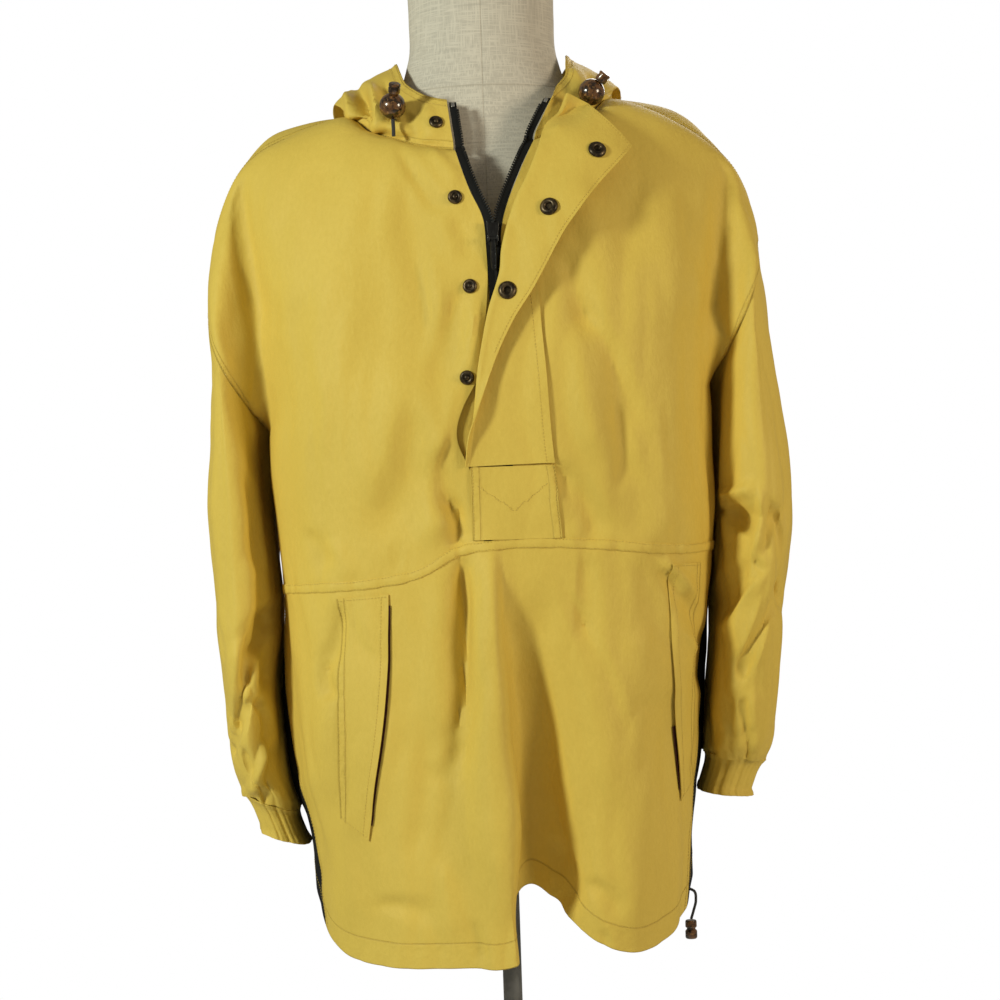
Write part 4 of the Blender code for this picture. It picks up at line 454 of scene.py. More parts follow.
def yoke(angle, way):
    """Surface from the armpit level (way 0) to the shoulder and neck seams (way 1)."""
    angle, way = np.broadcast_arrays(np.asarray(angle, dtype=float), np.asarray(way, dtype=float))
    wrapped = wrap(angle)
    start = ring(wrapped, np.full(wrapped.shape, ARMPIT))
    end = seam_point(wrapped)
    rise, lean = rounded(way * 90.0, YOKE_ROUND)
    front = np.abs(wrapped) <= 90.0
    from_side = np.abs(np.abs(wrapped) - 90.0)
    arm = ease((38.0 - from_side) / 30.0)
    outwards = way + (np.sin(np.radians(way * 90.0)) - way) * arm
    x = start[..., 0] + (end[..., 0] - start[..., 0]) * outwards
    y = end[..., 1] + (start[..., 1] - end[..., 1]) * lean
    z = start[..., 2] + (end[..., 2] - start[..., 2]) * rise
    facing = np.where(front, -1.0, 1.0)
    swell = np.clip(ARM_DEPTH - np.abs(y), 0, None) * np.sin(np.pi * way) ** 0.8 * arm
    y = y + facing * swell
    z_arm = start[..., 2] + (end[..., 2] - start[..., 2]) * way
    z = z + (z_arm - z) * arm
    top = np.where(front, 0.0, ease((from_side - 6.0) / 16.0) * ease((58.0 - from_side) / 20.0))
    z = z + RIDGE * top * np.sin(np.pi * np.clip((way - 0.5) / 0.5, 0, 1))
    return np.stack([x, y, z], axis=-1)


def front_folds(points, height):
    """Pushes the front in and out along its soft troughs and ridges, but not at the top seams."""
    x = points[..., 0]
    z = points[..., 2]
    push = np.zeros(x.shape)
    for x_top, z_top, x_low, z_low, width, depth in FRONT_FOLDS:
        way = (z_top - z) / (z_top - z_low)
        off = (x - (x_top + (x_low - x_top) * way)) / width
        ends = ease((way + 0.12) / 0.24) * ease((1.12 - way) / 0.24)
        push = push + depth * np.exp(-off * off) * ends
    moved = points.copy()
    below_seams = ease((ARMPIT + YOKE_SPAN - height) / 0.05)
    moved[..., 1] += push * ease(-points[..., 1] / 0.05) * below_seams
    return moved


def back_folds(points, angle, height):
    """Pushes the back in along its upright folds."""
    push = np.zeros(points.shape[:-1])
    for top_angle, hem_angle, width, depth, top in BACK_FOLDS:
        down = np.clip((top - height) / (top - 0.58), 0, 1)
        centre = top_angle + (hem_angle - top_angle) * down
        off = wrap(angle - centre) / width
        push = push + depth * np.exp(-off * off) * ease(down * 1.6)
    moved = points.copy()
    moved[..., 1] -= push
    return moved


def body_point(angle, height):
    """The garment's outside at an angle and a height. Above the armpit the height is counted
    along the yoke, so ARMPIT + YOKE_SPAN is the shoulder and neck seam."""
    angle, height = np.broadcast_arrays(np.asarray(angle, dtype=float), np.asarray(height, dtype=float))
    low = ring(angle, np.minimum(height, ARMPIT))
    way = np.clip((height - ARMPIT) / YOKE_SPAN, 0, 1)
    high = yoke(angle, way)
    points = np.where((height > ARMPIT)[..., None], high, low)
    points = front_folds(points, height)
    behind = (np.abs(wrap(angle)) > 90)[..., None]
    return np.where(behind, back_folds(points, angle, height), points)


def hem(angle):
    return read_off(HEM, wrap(angle))


def waist(angle):
    return read_off(WAIST, angle)


def gusset(side, height):
    """Half angle of the side panel: a wedge from the hem to the end of the waist seam."""
    top = float(waist(90.0 * side))
    return GUSSET * np.clip((top - np.asarray(height, dtype=float)) / (top - 0.64), 0, 1.1)


def grid_normals(points, closed=False):
    """Normals of a sheet: columns run to the right and rows upwards, seen from outside."""
    across = np.gradient(points, axis=1)
    if closed:
        across = (np.roll(points, -1, axis=1) - np.roll(points, 1, axis=1)) / 2
    up = np.gradient(points, axis=0)
    return unit(np.cross(across, up))


def grid_faces(rows, columns, closed=False, start=0):
    """Faces between the rows and columns of a grid of points."""
    faces = []
    for r in range(rows - 1):
        low, high = start + r * columns, start + (r + 1) * columns
        for c in range(columns if closed else columns - 1):
            n = (c + 1) % columns
            faces.append((low + c, low + n, high + n, high + c))
    return faces


def sheet_tree(sheets):
    """A search tree over sheets of points whose columns run right and rows up."""
    points = []
    faces = []
    for grid in sheets:
        faces += grid_faces(*grid.shape[:2], start=len(points))
        points += [tuple(p) for p in grid.reshape(-1, 3)]
    return BVHTree.FromPolygons(points, faces)


def opening_angle(side, height_rows):
    """Angle of the opening's edge on each row of the front."""
    table = OPENING_LEFT if side > 0 else OPENING_RIGHT
    angles = []
    for row in height_rows:
        guess = 0.0
        for _step in range(6):
            point = body_point(np.array(guess), np.array(row))
            wanted = read_off(table, float(point[2]))
            guess = guess + math.degrees((float(wanted) - point[0]) / 0.188)
        angles.append(guess)
    return np.array(angles)


def armhole(side, place):
    """The armhole: place 0 is the armpit, 0.25 the front, 0.5 the top and 0.75 the back."""
    place = np.asarray(place, dtype=float) % 1.0
    front = place <= 0.5
    way = np.where(front, place * 2, 2 - place * 2)
    angle = side * np.where(front, 90.0, BACK_LEFT)
    return body_point(angle, ARMPIT + YOKE_SPAN * np.maximum(way, 1e-4))


def flank(side, height):
    """How far the body reaches to a side at a height."""
    angles = side * np.arange(60.0, 126.0, 3.0)
    widths = ring(angles, np.minimum(np.asarray(height, dtype=float), ARMPIT)[..., None])[..., 0]
    return np.max(side * widths, axis=-1)


def sleeve_table(side):
    return SLEEVE_LEFT if side > 0 else SLEEVE_RIGHT


def sleeve_section(side, place, way):
    """Plain oval section of the sleeve from its table."""
    rows = sleeve_table(side)
    ways = column(rows, SLEEVE_COLUMNS, "way")
    size = {name: through(ways, column(rows, SLEEVE_COLUMNS, name), way)
            for name in SLEEVE_COLUMNS[1:]}
    turn = np.asarray(place, dtype=float) * 360.0
    sine, cosine = rounded(turn, 2.3)
    inner = side * np.maximum(side * size["inner"], flank(side, size["height"] - size["tilt"]) + SLEEVE_CLEAR)
    middle = (size["outer"] + inner) / 2
    half = (size["outer"] - inner) / 2
    x = middle - half * cosine
    y = -np.where(sine > 0, size["front"], size["back"]) * sine
    z = size["height"] - size["tilt"] * cosine
    return np.stack([x, y, z], axis=-1)


def sleeve_point(side, place, way):
    """The sleeve's outside: the armhole's own shape fades into the oval sections."""
    place, way = np.broadcast_arrays(np.asarray(place, dtype=float), np.asarray(way, dtype=float))
    points = sleeve_section(side, place, way)
    start = armhole(side, place) - sleeve_section(side, place, np.zeros(way.shape))
    points = points + start * (1 - ease(way / 0.30))[..., None]
    folds = SLEEVE_FOLDS_LEFT if side > 0 else SLEEVE_FOLDS_RIGHT
    centre = points.copy()
    rows = sleeve_table(side)
    ways = column(rows, SLEEVE_COLUMNS, "way")
    middle = (column(rows, SLEEVE_COLUMNS, "outer") * 0.6 + column(rows, SLEEVE_COLUMNS, "inner") * 0.4)
    centre[..., 0] = through(ways, middle, way)
    centre[..., 1] = points[..., 1] * 0.55
    inwards = unit(centre - points, 1e-6)
    push = np.zeros(way.shape)
    round_length = 0.40
    long_length = 0.42
    for side_a, way_a, side_b, way_b, width, depth in folds:
        a = np.array([side_a * round_length, way_a * long_length])
        b = np.array([side_b * round_length, way_b * long_length])
        here = np.stack([place % 1.0 * round_length, way * long_length], axis=-1)
        along = ((here - a) @ (b - a)) / ((b - a) @ (b - a))
        near = a + np.clip(along, 0, 1)[..., None] * (b - a)
        off = np.linalg.norm(here - near, axis=-1) / width
        push = push + depth * np.exp(-off * off)
    return points + inwards * push[..., None]


def hood_ways():
    """Places of the hood's columns, matched to the columns of the fronts and the back."""
    front = np.linspace(0, HOOD_CORNER, NECK_COLUMNS)[:-1]
    behind = np.linspace(HOOD_CORNER, 1 - HOOD_CORNER, 2 * BACK_NECK_COLUMNS - 1)
    return np.concatenate([front, behind, 1 - front[::-1]])


def hood_point(way, rise):
    """The hood laid back: way runs from the right zip edge round the back to the left one,
    rise from the neck seam to the rim."""
    ways = column(HOOD, HOOD_COLUMNS, "way")
    stops = [0.0, HOOD_CORNER, 0.5, 1 - HOOD_CORNER, 1.0]
    front = np.interp(way, stops, [NECK_START[0], -NECK_CORNER, -180, -360 + NECK_CORNER, NECK_START[1] - 360])
    behind = np.interp(way, stops, [0, NECK_CORNER - 180, -180, -180 - NECK_CORNER, 0])
    at_back = (way > HOOD_CORNER) & (way < 1 - HOOD_CORNER)
    base = seam_point(np.where(at_back, behind, front))
    levels = [base + np.array([0.0, 0.0, SEAM_GAP])]
    for name in HOOD_COLUMNS[1:]:
        values = np.array([row[HOOD_COLUMNS.index(name)] for row in HOOD])
        levels.append(through(ways, values, way))
    levels = np.array(levels)
    dense = np.linspace(0, 1, 61)
    curves = through(np.linspace(0, 1, len(levels)), levels.reshape(len(levels), -1), dense)
    curves = curves.reshape((61,) + levels.shape[1:])
    points = np.zeros(np.shape(rise) + levels.shape[1:])
    for c in range(curves.shape[1]):
        run = travelled(curves[:, c])
        even = np.linspace(rise[0], rise[-1], len(rise))
        share = rise + (even - rise) * float(ease((0.30 - run[-1]) / 0.20))
        for axis in range(3):
            points[:, c, axis] = np.interp(share, run / run[-1], curves[:, c, axis])
    return cleared_of_back(relaxed(points), way)


def relaxed(points):
    """Evens out a sheet, its outline kept."""
    if points.shape[1] < 5:
        return points
    for _step in range(HOOD_RELAX):
        around = (points[:-2, 1:-1] + points[2:, 1:-1] + points[1:-1, :-2] + points[1:-1, 2:]) / 4
        points = points.copy()
        points[1:-1, 1:-1] = (points[1:-1, 1:-1] + around) / 2
    return points


def cleared_of_back(points, way):
    """Moves the hood's underside out of the back and shoulders that it lies over."""
    angles = np.linspace(-180, 180, 181)
    heights = np.linspace(ARMPIT, ARMPIT + YOKE_SPAN, 40)
    tree = sheet_tree([body_point(angles[None, :], heights[:, None])])
    moved = points.copy()
    for c, along in enumerate(way):
        beside = float(ease((0.5 - abs(along - 0.5) - 0.22) / 0.06))
        run = 0.0
        for r in range(1, len(points)):
            run += float(np.linalg.norm(points[r, c] - points[r - 1, c]))
            want = min(HOOD_CLEAR, 0.0008 + 0.4 * run) * beside
            place, normal, _index, far = tree.find_nearest(Vector(points[r, c]))
            gap = (Vector(points[r, c]) - place).dot(normal)
            facing_out = normal.z > -0.1 and abs(gap) > 0.9 * far
            if want > 0 and gap < want and facing_out and run < 0.28:
                moved[r, c] = np.array(place + normal * want)
    return moved


# ---------------------------------------------------------------- creases
# A plan of the garment as it hangs, seen from EYE_AWAY in front: units of PLAN_UNIT at the cloth,
# across from the wearer's right and down, with the middle of the plan at PLAN_MIDDLE. It leans
# with the garment.
PLAN_UNIT = 0.00084
PLAN_MIDDLE = 500.0
PLAN_AT = (0.003, 0.970)
PLAN_LEAN = 1.9
EYE_AWAY = 2.04
PLAN_DEPTH = 1.90

# Creases on the plan, each row: u and v of one end, u and v of the other, sideways bow, half width,
# depth as a share of the table's crease depth (troughs positive, ridges negative), how soft the
# profile is (2 soft, 1 crisp), and for some how much wider one of its sides is
FRONT_CREASES = (
    (398, 158, 430, 400, 5, 36, 2.6, 1.0, 0.3),
    (432, 250, 446, 330, -3, 8, -0.7, 1.2),
    (400, 148, 447, 211, -4, 7, 1.2, 1.3),
    (428, 148, 460, 186, 2, 6, -0.9, 1.2),
    (452, 215, 470, 262, 3, 8, 0.9, 1.5),
    (461, 286, 446, 384, -4, 10, 1.7, 1.5),
    (474, 300, 462, 380, 3, 8, -1.2, 1.4),
    (450, 340, 437, 470, 5, 12, -1.6, 1.6),
    (446, 440, 450, 520, -6, 9, 2.6, 1.3),
    (440, 430, 432, 545, 5, 10, -1.6, 1.5),
    (452, 500, 459, 548, 3, 6, 1.6, 1.3),
    (415, 400, 384, 540, 8, 16, 1.9, 1.5),
    (404, 350, 372, 500, 6, 22, -1.2, 1.8),
    (395, 540, 396, 574, 0, 3, 0.6, 1.3),
    (305, 530, 322, 572, 3, 9, 0.9, 1.5),
    (330, 540, 352, 580, 2, 9, -0.7, 1.5),
    (300, 300, 296, 430, 4, 24, 1.1, 2.0),
    (345, 250, 330, 420, -8, 30, -1.0, 2.0),
    (576, 290, 640, 436, 8, 11, 1.6, 1.1, 0.4),
    (617, 400, 626, 486, 3, 8, 1.2, 1.4),
    (575, 330, 600, 455, -5, 11, -1.2, 1.5),
    (556, 463, 600, 543, 4, 12, 2.2, 1.3),
    (572, 470, 582, 540, 2, 7, -1.1, 1.4),
    (636, 463, 637, 543, 2, 10, 0.9, 1.6),
    (660, 440, 668, 545, 3, 12, -0.8, 1.6),
    (590, 160, 640, 260, 8, 22, 1.3, 1.8),
    (563, 250, 578, 335, 5, 14, 1.6, 1.5),
    (650, 200, 668, 330, 6, 30, -1.4, 2.0),
    (690, 300, 690, 500, 3, 16, 1.0, 2.0),
    (236, 190, 262, 330, -6, 14, 1.6, 1.6),
    (459, 560, 461, 728, 4, 8, 1.6, 1.1, -0.5),
    (443, 575, 448, 740, -3, 14, -1.2, 1.7),
    (492, 556, 517, 900, -7, 15, -2.6, 1.1, 0.4),
    (512, 620, 534, 900, 6, 17, 2.5, 1.2, -0.4),
    (585, 552, 588, 640, 1, 8, 1.1, 1.3),
    (566, 588, 628, 745, 8, 9, 1.0, 1.1, 0.5),
    (598, 640, 612, 800, 3, 18, -1.1, 1.8),
    (600, 700, 596, 900, 2, 22, 1.0, 2.0),
    (640, 560, 645, 640, 2, 9, 0.8, 1.5),
    (662, 556, 692, 597, 2, 6, -1.2, 1.2),
    (664, 570, 700, 626, 3, 8, 1.5, 1.2, 0.3),
    (700, 620, 702, 690, 3, 9, 1.3, 1.5),
    (683, 632, 700, 653, 1, 4, -0.6, 1.3),
    (658, 640, 664, 700, 2, 10, -0.8, 1.6),
    (341, 606, 326, 668, 4, 8, 1.5, 1.2),
    (326, 660, 334, 700, -4, 6, 1.6, 1.2),
    (330, 700, 318, 800, 3, 14, -0.9, 1.7),
    (345, 800, 348, 930, 1, 10, -0.8, 1.6),
    (463, 742, 436, 784, 3, 10, 1.0, 1.4),
    (420, 720, 410, 860, 4, 26, 1.1, 2.0),
    (440, 860, 452, 940, 2, 9, -0.8, 1.5),
    (375, 905, 434, 917, 4, 9, 0.9, 1.4),
    (470, 920, 482, 962, 1, 5, 0.7, 1.3),
    (584, 882, 622, 915, 4, 9, 1.1, 1.4),
    (603, 930, 606, 950, 0, 4, 0.6, 1.4),
    (552, 840, 568, 910, 3, 10, 1.6, 1.4),
    (640, 760, 650, 930, 3, 22, -1.0, 2.0),
    (670, 700, 666, 860, 2, 14, 0.9, 1.8),
)
SLEEVE_CREASES = (
    (240, 640, 247, 704, -6, 9, -2.5, 1.3, 0.3),
    (266, 645, 249, 703, -4, 7, -2.2, 1.3, -0.3),
    (254, 636, 246, 694, -3, 6, 2.4, 1.3),
    (250, 702, 264, 708, 2, 4, 3.0, 1.2),
    (264, 708, 268, 744, 3, 4, 2.6, 1.2),
    (267, 746, 251, 798, 2, 6, -3.0, 1.1),
    (276, 740, 266, 800, 2, 8, 3.0, 1.3),
    (286, 600, 246, 660, -6, 12, 2.2, 1.4),
    (228, 420, 236, 560, -4, 18, -1.4, 1.8),
    (256, 430, 262, 560, 4, 12, 2.4, 1.5),
    (225, 350, 222, 470, 0, 16, 1.0, 2.0),
    (246, 560, 268, 620, 3, 10, -1.6, 1.4),
    (222, 700, 240, 790, -3, 10, -1.0, 1.7),
    (716, 494, 755, 486, -3, 5, -2.6, 1.1),
    (718, 508, 750, 530, 2, 6, 3.0, 1.3),
    (759, 486, 752, 560, 5, 5, -2.4, 1.1),
    (770, 500, 762, 560, 4, 6, 2.2, 1.3),
    (752, 560, 764, 574, 1, 4, 1.8, 1.3),
    (762, 575, 721, 634, -3, 7, -2.6, 1.1, -0.3),
    (738, 498, 734, 626, 1, 14, 3.4, 1.2, -0.3),
    (742, 560, 716, 620, -3, 10, 3.0, 1.3),
    (716, 712, 729, 778, 4, 6, -1.6, 1.3),
    (735, 650, 752, 700, 3, 12, 1.6, 1.6),
    (728, 690, 722, 745, 2, 9, 1.8, 1.5),
    (760, 300, 772, 440, 6, 16, 1.2, 1.8),
    (736, 330, 742, 470, 3, 12, -1.4, 1.6),
    (756, 700, 748, 770, 2, 9, -1.0, 1.6),
)
BACK_CREASES = (
    (360, 210, 392, 380, 8, 18, 1.5, 1.5),
    (330, 180, 318, 330, -6, 22, -1.3, 1.8),
    (428, 260, 440, 470, 6, 16, -1.6, 1.5),
    (470, 300, 452, 520, -5, 14, 1.4, 1.4),
    (540, 280, 560, 500, 6, 15, 1.6, 1.5),
    (585, 230, 610, 420, -6, 20, -1.4, 1.7),
    (650, 220, 632, 400, 6, 18, 1.3, 1.6),
    (290, 430, 330, 520, 6, 10, 1.5, 1.3),
    (300, 480, 352, 560, 5, 9, -1.2, 1.3),
    (700, 420, 655, 530, -6, 10, 1.6, 1.3),
    (690, 480, 640, 590, -4, 12, -1.2, 1.5),
    (380, 520, 372, 700, 4, 14, 1.3, 1.6),
    (430, 560, 446, 780, -6, 12, -1.5, 1.4),
    (505, 500, 498, 720, 5, 16, 1.2, 1.6),
    (560, 600, 572, 820, 4, 13, -1.4, 1.4),
    (620, 560, 606, 760, -4, 15, 1.3, 1.6),
    (345, 700, 340, 880, 3, 16, -1.1, 1.7),
    (400, 820, 450, 850, 5, 9, 0.9, 1.4),
    (520, 860, 566, 880, -4, 8, 0.9, 1.4),
    (640, 760, 650, 920, 3, 16, 1.1, 1.7),
)
HOOD_CREASES = (
    (356, 84, 364, 130, 3, 8, 2.6, 1.2, -0.2),
    (346, 92, 353, 124, 2, 5, -1.6, 1.3),
    (372, 84, 378, 134, 3, 7, -2.2, 1.2, 0.3),
    (384, 80, 386, 124, 3, 6, 1.3, 1.4),
    (402, 112, 417, 141, 2, 6, 0.9, 1.4),
    (425, 104, 432, 145, 2, 7, -0.6, 1.6),
    (588, 72, 600, 96, 2, 5, 1.2, 1.3),
    (572, 68, 580, 92, 2, 6, -0.9, 1.5),
)

# broad drape, folds and small creasing all over: sizes across and along, depth in metres
DRAPE = ((0.085, 0.260, 0.0030, 3), (0.034, 0.180, 0.0026, 11), (0.016, 0.034, 0.00055, 23))


def lattice(places, seed):
    """Smooth noise in -1..1 at an array of places."""
    cell = np.floor(places).astype(np.int64)
    part = places - cell
    blend = part * part * part * (part * (part * 6 - 15) + 10)
    total = np.zeros(places.shape[:-1])
    for corner in range(8):
        step = np.array([corner & 1, (corner >> 1) & 1, (corner >> 2) & 1])
        at = cell + step
        mixed = at[..., 0] * 73856093 ^ at[..., 1] * 19349663 ^ at[..., 2] * 83492791 ^ seed * 2654435761
        mixed = mixed & 0xFFFFFFFF
        mixed = (mixed ^ (mixed >> 13)) * 1274126177 & 0xFFFFFFFF
        first = (mixed & 0xFFFF) / 65535.0 * 2 * np.pi
        second = ((mixed >> 16) & 0xFFFF) / 65535.0 * 2 - 1
        flat = np.sqrt(1 - second * second)
        away = part - step
        slope = away[..., 0] * np.cos(first) * flat + away[..., 1] * np.sin(first) * flat + away[..., 2] * second
        weight = np.prod(np.where(step == 1, blend, 1 - blend), axis=-1)
        total = total + slope * weight
    return total * 1.6


def on_plan(points):
    """Places of points on the plan."""
    near = PLAN_DEPTH / (points[..., 1] + EYE_AWAY) / PLAN_UNIT
    across = (points[..., 0] - PLAN_AT[0]) * near
    up = (points[..., 2] - PLAN_AT[1]) * near
    sine = math.sin(math.radians(PLAN_LEAN))
    cosine = math.cos(math.radians(PLAN_LEAN))
    return PLAN_MIDDLE + across * cosine - up * sine, PLAN_MIDDLE - across * sine - up * cosine


CREASE_DEPTH = 0.0024    # of a sleeve crease whose depth reads 1
FRONT_DEPTH = 0.0050     # the same on the fronts and the hood
BACK_SHARE = 0.8         # the back's creases are this much of the fronts'
CREASE_SPREAD = 1.6      # a crease presses this many of its half widths to each side
HOOD_DRAPE = 1.408       # the hood's drape against the body's


def creased(points, rows, deep=CREASE_DEPTH):
    """How far the creases of a table press each point in, in metres."""
    u, v = on_plan(points)
    press = np.zeros(u.shape)
    for u_a, v_a, u_b, v_b, bow, width, depth, soft, *leans in rows:
        lean = sum(leans)
        length = math.hypot(u_b - u_a, v_b - v_a)
        along = ((u - u_a) * (u_b - u_a) + (v - v_a) * (v_b - v_a)) / length ** 2
        aside = ((u - u_a) * (v_b - v_a) - (v - v_a) * (u_b - u_a)) / length
        aside = aside - bow * 4 * along * (1 - along)
        grow = width * (0.65 + 0.7 * np.clip(along, 0, 1))
        ends = ease((along + 0.10) / 0.35) * ease((1.10 - along) / 0.35)
        round_by = 0.08 + 0.33 * (soft - 1.0)
        grow = grow * CREASE_SPREAD * (1 + lean * np.where(aside < 0, 1, -1))
        rise = 1 - np.sqrt((aside / grow) ** 2 + round_by ** 2)
        press = press + deep * depth * ends * (rise + np.sqrt(rise ** 2 + (0.5 * round_by) ** 2)) / 2
    return press


def drape(points, amount=1.0):
    """Uneven drape: broad waves, long folds with crisp crests and small creasing."""
    bent = points + 0.018 * np.stack([lattice(points / 0.09, s) for s in (41, 42, 43)], axis=-1)
    press = np.zeros(points.shape[:-1])
    for index, (across, along, depth, seed) in enumerate(DRAPE):
        value = lattice(bent / np.array([across, across, along]), seed)
        if index == 1:
            value = 0.35 - np.abs(value) * 1.6
        press = press + depth * value
    carried = 1 - 0.75 * ease((points[..., 2] - 1.22) / 0.06)
    return press * amount * carried


YOKE_TOP = ARMPIT + YOKE_SPAN


def cloth_point(angle, height, out=0.0):
    """The creased body surface at angles and heights, moved out by a distance. Its armholes,
    shoulder seams and neck seam keep their lines."""
    angle, height = np.broadcast_arrays(np.asarray(angle, dtype=float), np.asarray(height, dtype=float))
    points = body_point(angle, height)
    at_front = np.abs(wrap(angle)) <= 90.0
    low = np.where(at_front, np.maximum(angle - 0.4, -90.0), np.maximum(angle - 0.4, BACK_LEFT))
    high = np.where(at_front, np.minimum(angle + 0.4, 90.0), np.minimum(angle + 0.4, BACK_RIGHT))
    across = body_point(high, height) - body_point(low, height)
    above = np.minimum(height + 0.002, YOKE_TOP)
    up = body_point(angle, above) - body_point(angle, above - 0.004)
    normal = unit(np.cross(across, up))
    front = ease((0.012 - points[..., 1]) / 0.03)
    press = (creased(points, FRONT_CREASES, FRONT_DEPTH) * front
             + creased(points, BACK_CREASES, FRONT_DEPTH * BACK_SHARE) * (1 - front) + drape(points))
    near_side = np.abs(90.0 - np.abs(wrap(angle)))
    held = ease(near_side / 4.0) + ease((ARMPIT + 0.010 - height) / 0.03)
    press = press * np.minimum(held, 1.0) * ease((YOKE_TOP - height) / 0.012)
    return points + normal * (np.asarray(out) - press)[..., None]


def finer(sheet, rows, columns):
    """A sheet drawn smoothly through a coarse one."""
    for count in (rows, columns):
        long, wide = sheet.shape[:2]
        dense = through(np.arange(long), sheet.reshape(long, -1), np.linspace(0, long - 1, count))
        sheet = dense.reshape(count, wide, 3).transpose(1, 0, 2)
    return sheet


# ---------------------------------------------------------------- meshes
class Front:
    """Finds the creased front that lies behind a place (x, z), and its normal."""

    def __init__(self, sheets):
        self.tree = sheet_tree(sheets)

    def at(self, x, z, out=0.0):
        for aside in (0.0, 0.001, -0.001, 0.003, -0.003, -0.006):
            hit, normal, _index, _far = self.tree.ray_cast(Vector((x, -1.0, z + aside)), Vector((0, 1, 0)))
            if hit is not None:
                break
        if hit is None:
            raise ValueError(f"no front at {x:.3f}, {z:.3f}")
        hit.z = z
        if normal.y > 0:
            normal = -normal
        return np.array(hit + normal * out), np.array(normal)


def runs(sheet, closed=False):
    """Lengths along the rows and up the columns of a sheet."""
    wide = np.concatenate([sheet, sheet[:, :1]], axis=1) if closed else sheet
    across = np.linalg.norm(np.diff(wide, axis=1), axis=-1)
    across = np.concatenate([np.zeros((wide.shape[0], 1)), np.cumsum(across, axis=1)], axis=1)
    up = np.linalg.norm(np.diff(wide, axis=0), axis=-1)
    up = np.concatenate([np.zeros((1, wide.shape[1])), np.cumsum(up, axis=0)], axis=0)
    return across, up


def side_distance(sheet, sides, closed=False):
    """Distance of each point of a sheet from the nearest of its named sides."""
    across, up = runs(sheet, closed)
    found = {"l": across, "r": across[:, -1:] - across, "b": up, "t": up[-1:] - up}
    far = np.full(across.shape, FAR)
    for side in sides:
        far = np.minimum(far, found[side])
    return far[:, :sheet.shape[1]]


FAR = 0.05


def shell(name, sheet, finish, slot, node, thick=0.0009, closed=False, flip=False, seams="", hems=""):
    """A thin closed shell of cloth behind a sheet. Attributes hold the distance from its felled
    seams and from its hemmed edges, and UV maps hold lengths along the cloth in metres."""
    if flip:
        sheet = sheet[:, ::-1]
        swap = str.maketrans("lr", "rl")
        seams = seams.translate(swap)
        hems = hems.translate(swap)
    rows, columns = sheet.shape[:2]
    inner = sheet - grid_normals(sheet, closed) * thick
    count = rows * columns
    index = np.arange(count).reshape(rows, columns)
    if closed:
        index = np.concatenate([index, index[:, :1]], axis=1)
    across, up = runs(sheet, closed)
    place = np.stack([across, up], axis=-1)
    low, right = (slice(None, -1), slice(None, -1)), (slice(None, -1), slice(1, None))
    over, high = (slice(1, None), slice(1, None)), (slice(1, None), slice(None, -1))
    faces, spots = [], []
    for order, shift in (((low, right, over, high), 0), ((high, over, right, low), count)):
        faces.append(np.stack([index[c].ravel() + shift for c in order], axis=-1))
        spots.append(np.stack([place[c].reshape(-1, 2) for c in order], axis=1))
    rims = [(index[0] + count, index[0], place[0]), (index[-1], index[-1] + count, place[-1])]
    if not closed:
        rims.append((index[::-1, 0] + count, index[::-1, 0], place[::-1, 0]))
        rims.append((index[:, -1] + count, index[:, -1], place[:, -1]))
    for behind, before, spot in rims:
        faces.append(np.stack([behind[:-1], behind[1:], before[1:], before[:-1]], axis=-1))
        spots.append(np.stack([spot[:-1], spot[1:], spot[1:], spot[:-1]], axis=1))
    faces = np.concatenate(faces)
    spots = np.concatenate(spots).reshape(-1, 2)
    mesh = bpy.data.meshes.new(name)
    mesh.from_pydata(np.concatenate([sheet.reshape(-1, 3), inner.reshape(-1, 3)]), [], faces.tolist())
    uv = mesh.uv_layers.new(name="cloth")
    uv.data.foreach_set("uv", spots.ravel().astype(np.float32))
    for label, sides in (("seam", seams), ("hem", hems)):
        far = side_distance(sheet, sides, closed).ravel()
        layer = mesh.attributes.new(label, "FLOAT", "POINT")
        layer.data.foreach_set("value", np.concatenate([far, far]).astype(np.float32))
    mesh.validate()
    mesh.shade_smooth()
    mesh.set_sharp_from_angle(angle=math.radians(50))
    SHEETS[name] = (sheet, flip)
    return settle(name + "_cloth", mesh, finish, node)


SHEETS = {}


def settle(name, mesh, finish, nodes=(), body=ROOT):
    """Makes the object of a piece, puts it on its body and hides the parts that it stands for."""
    piece = bpy.data.objects.new(name, mesh)
    bpy.context.scene.collection.objects.link(piece)
    mesh.materials.append(finish)
    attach(piece, body)
    if nodes:
        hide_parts(*((nodes,) if isinstance(nodes, str) else nodes))
    return piece


def cloth_piece(name, sheet, node=None, held="draped", rests_on="dress_form", **more):
    """A piece of yellow or black cloth with its cut. Its node has its name unless another is given."""
    slot = more.pop("slot", "yellow_cloth")
    # the pocket mouths take the lining coloured as painted shade
    made = finish(shaded_pocket_lining) if name.startswith("pocket_mouth") else FINISHES[slot]()
    piece = shell(name, sheet, made, slot, name if node is None else node, **more)
    return piece


STITCH = (0.0029, 0.0022, 0.00062)    # from one stitch to the next, its length and its width
STITCH_PROUD = 0.0001


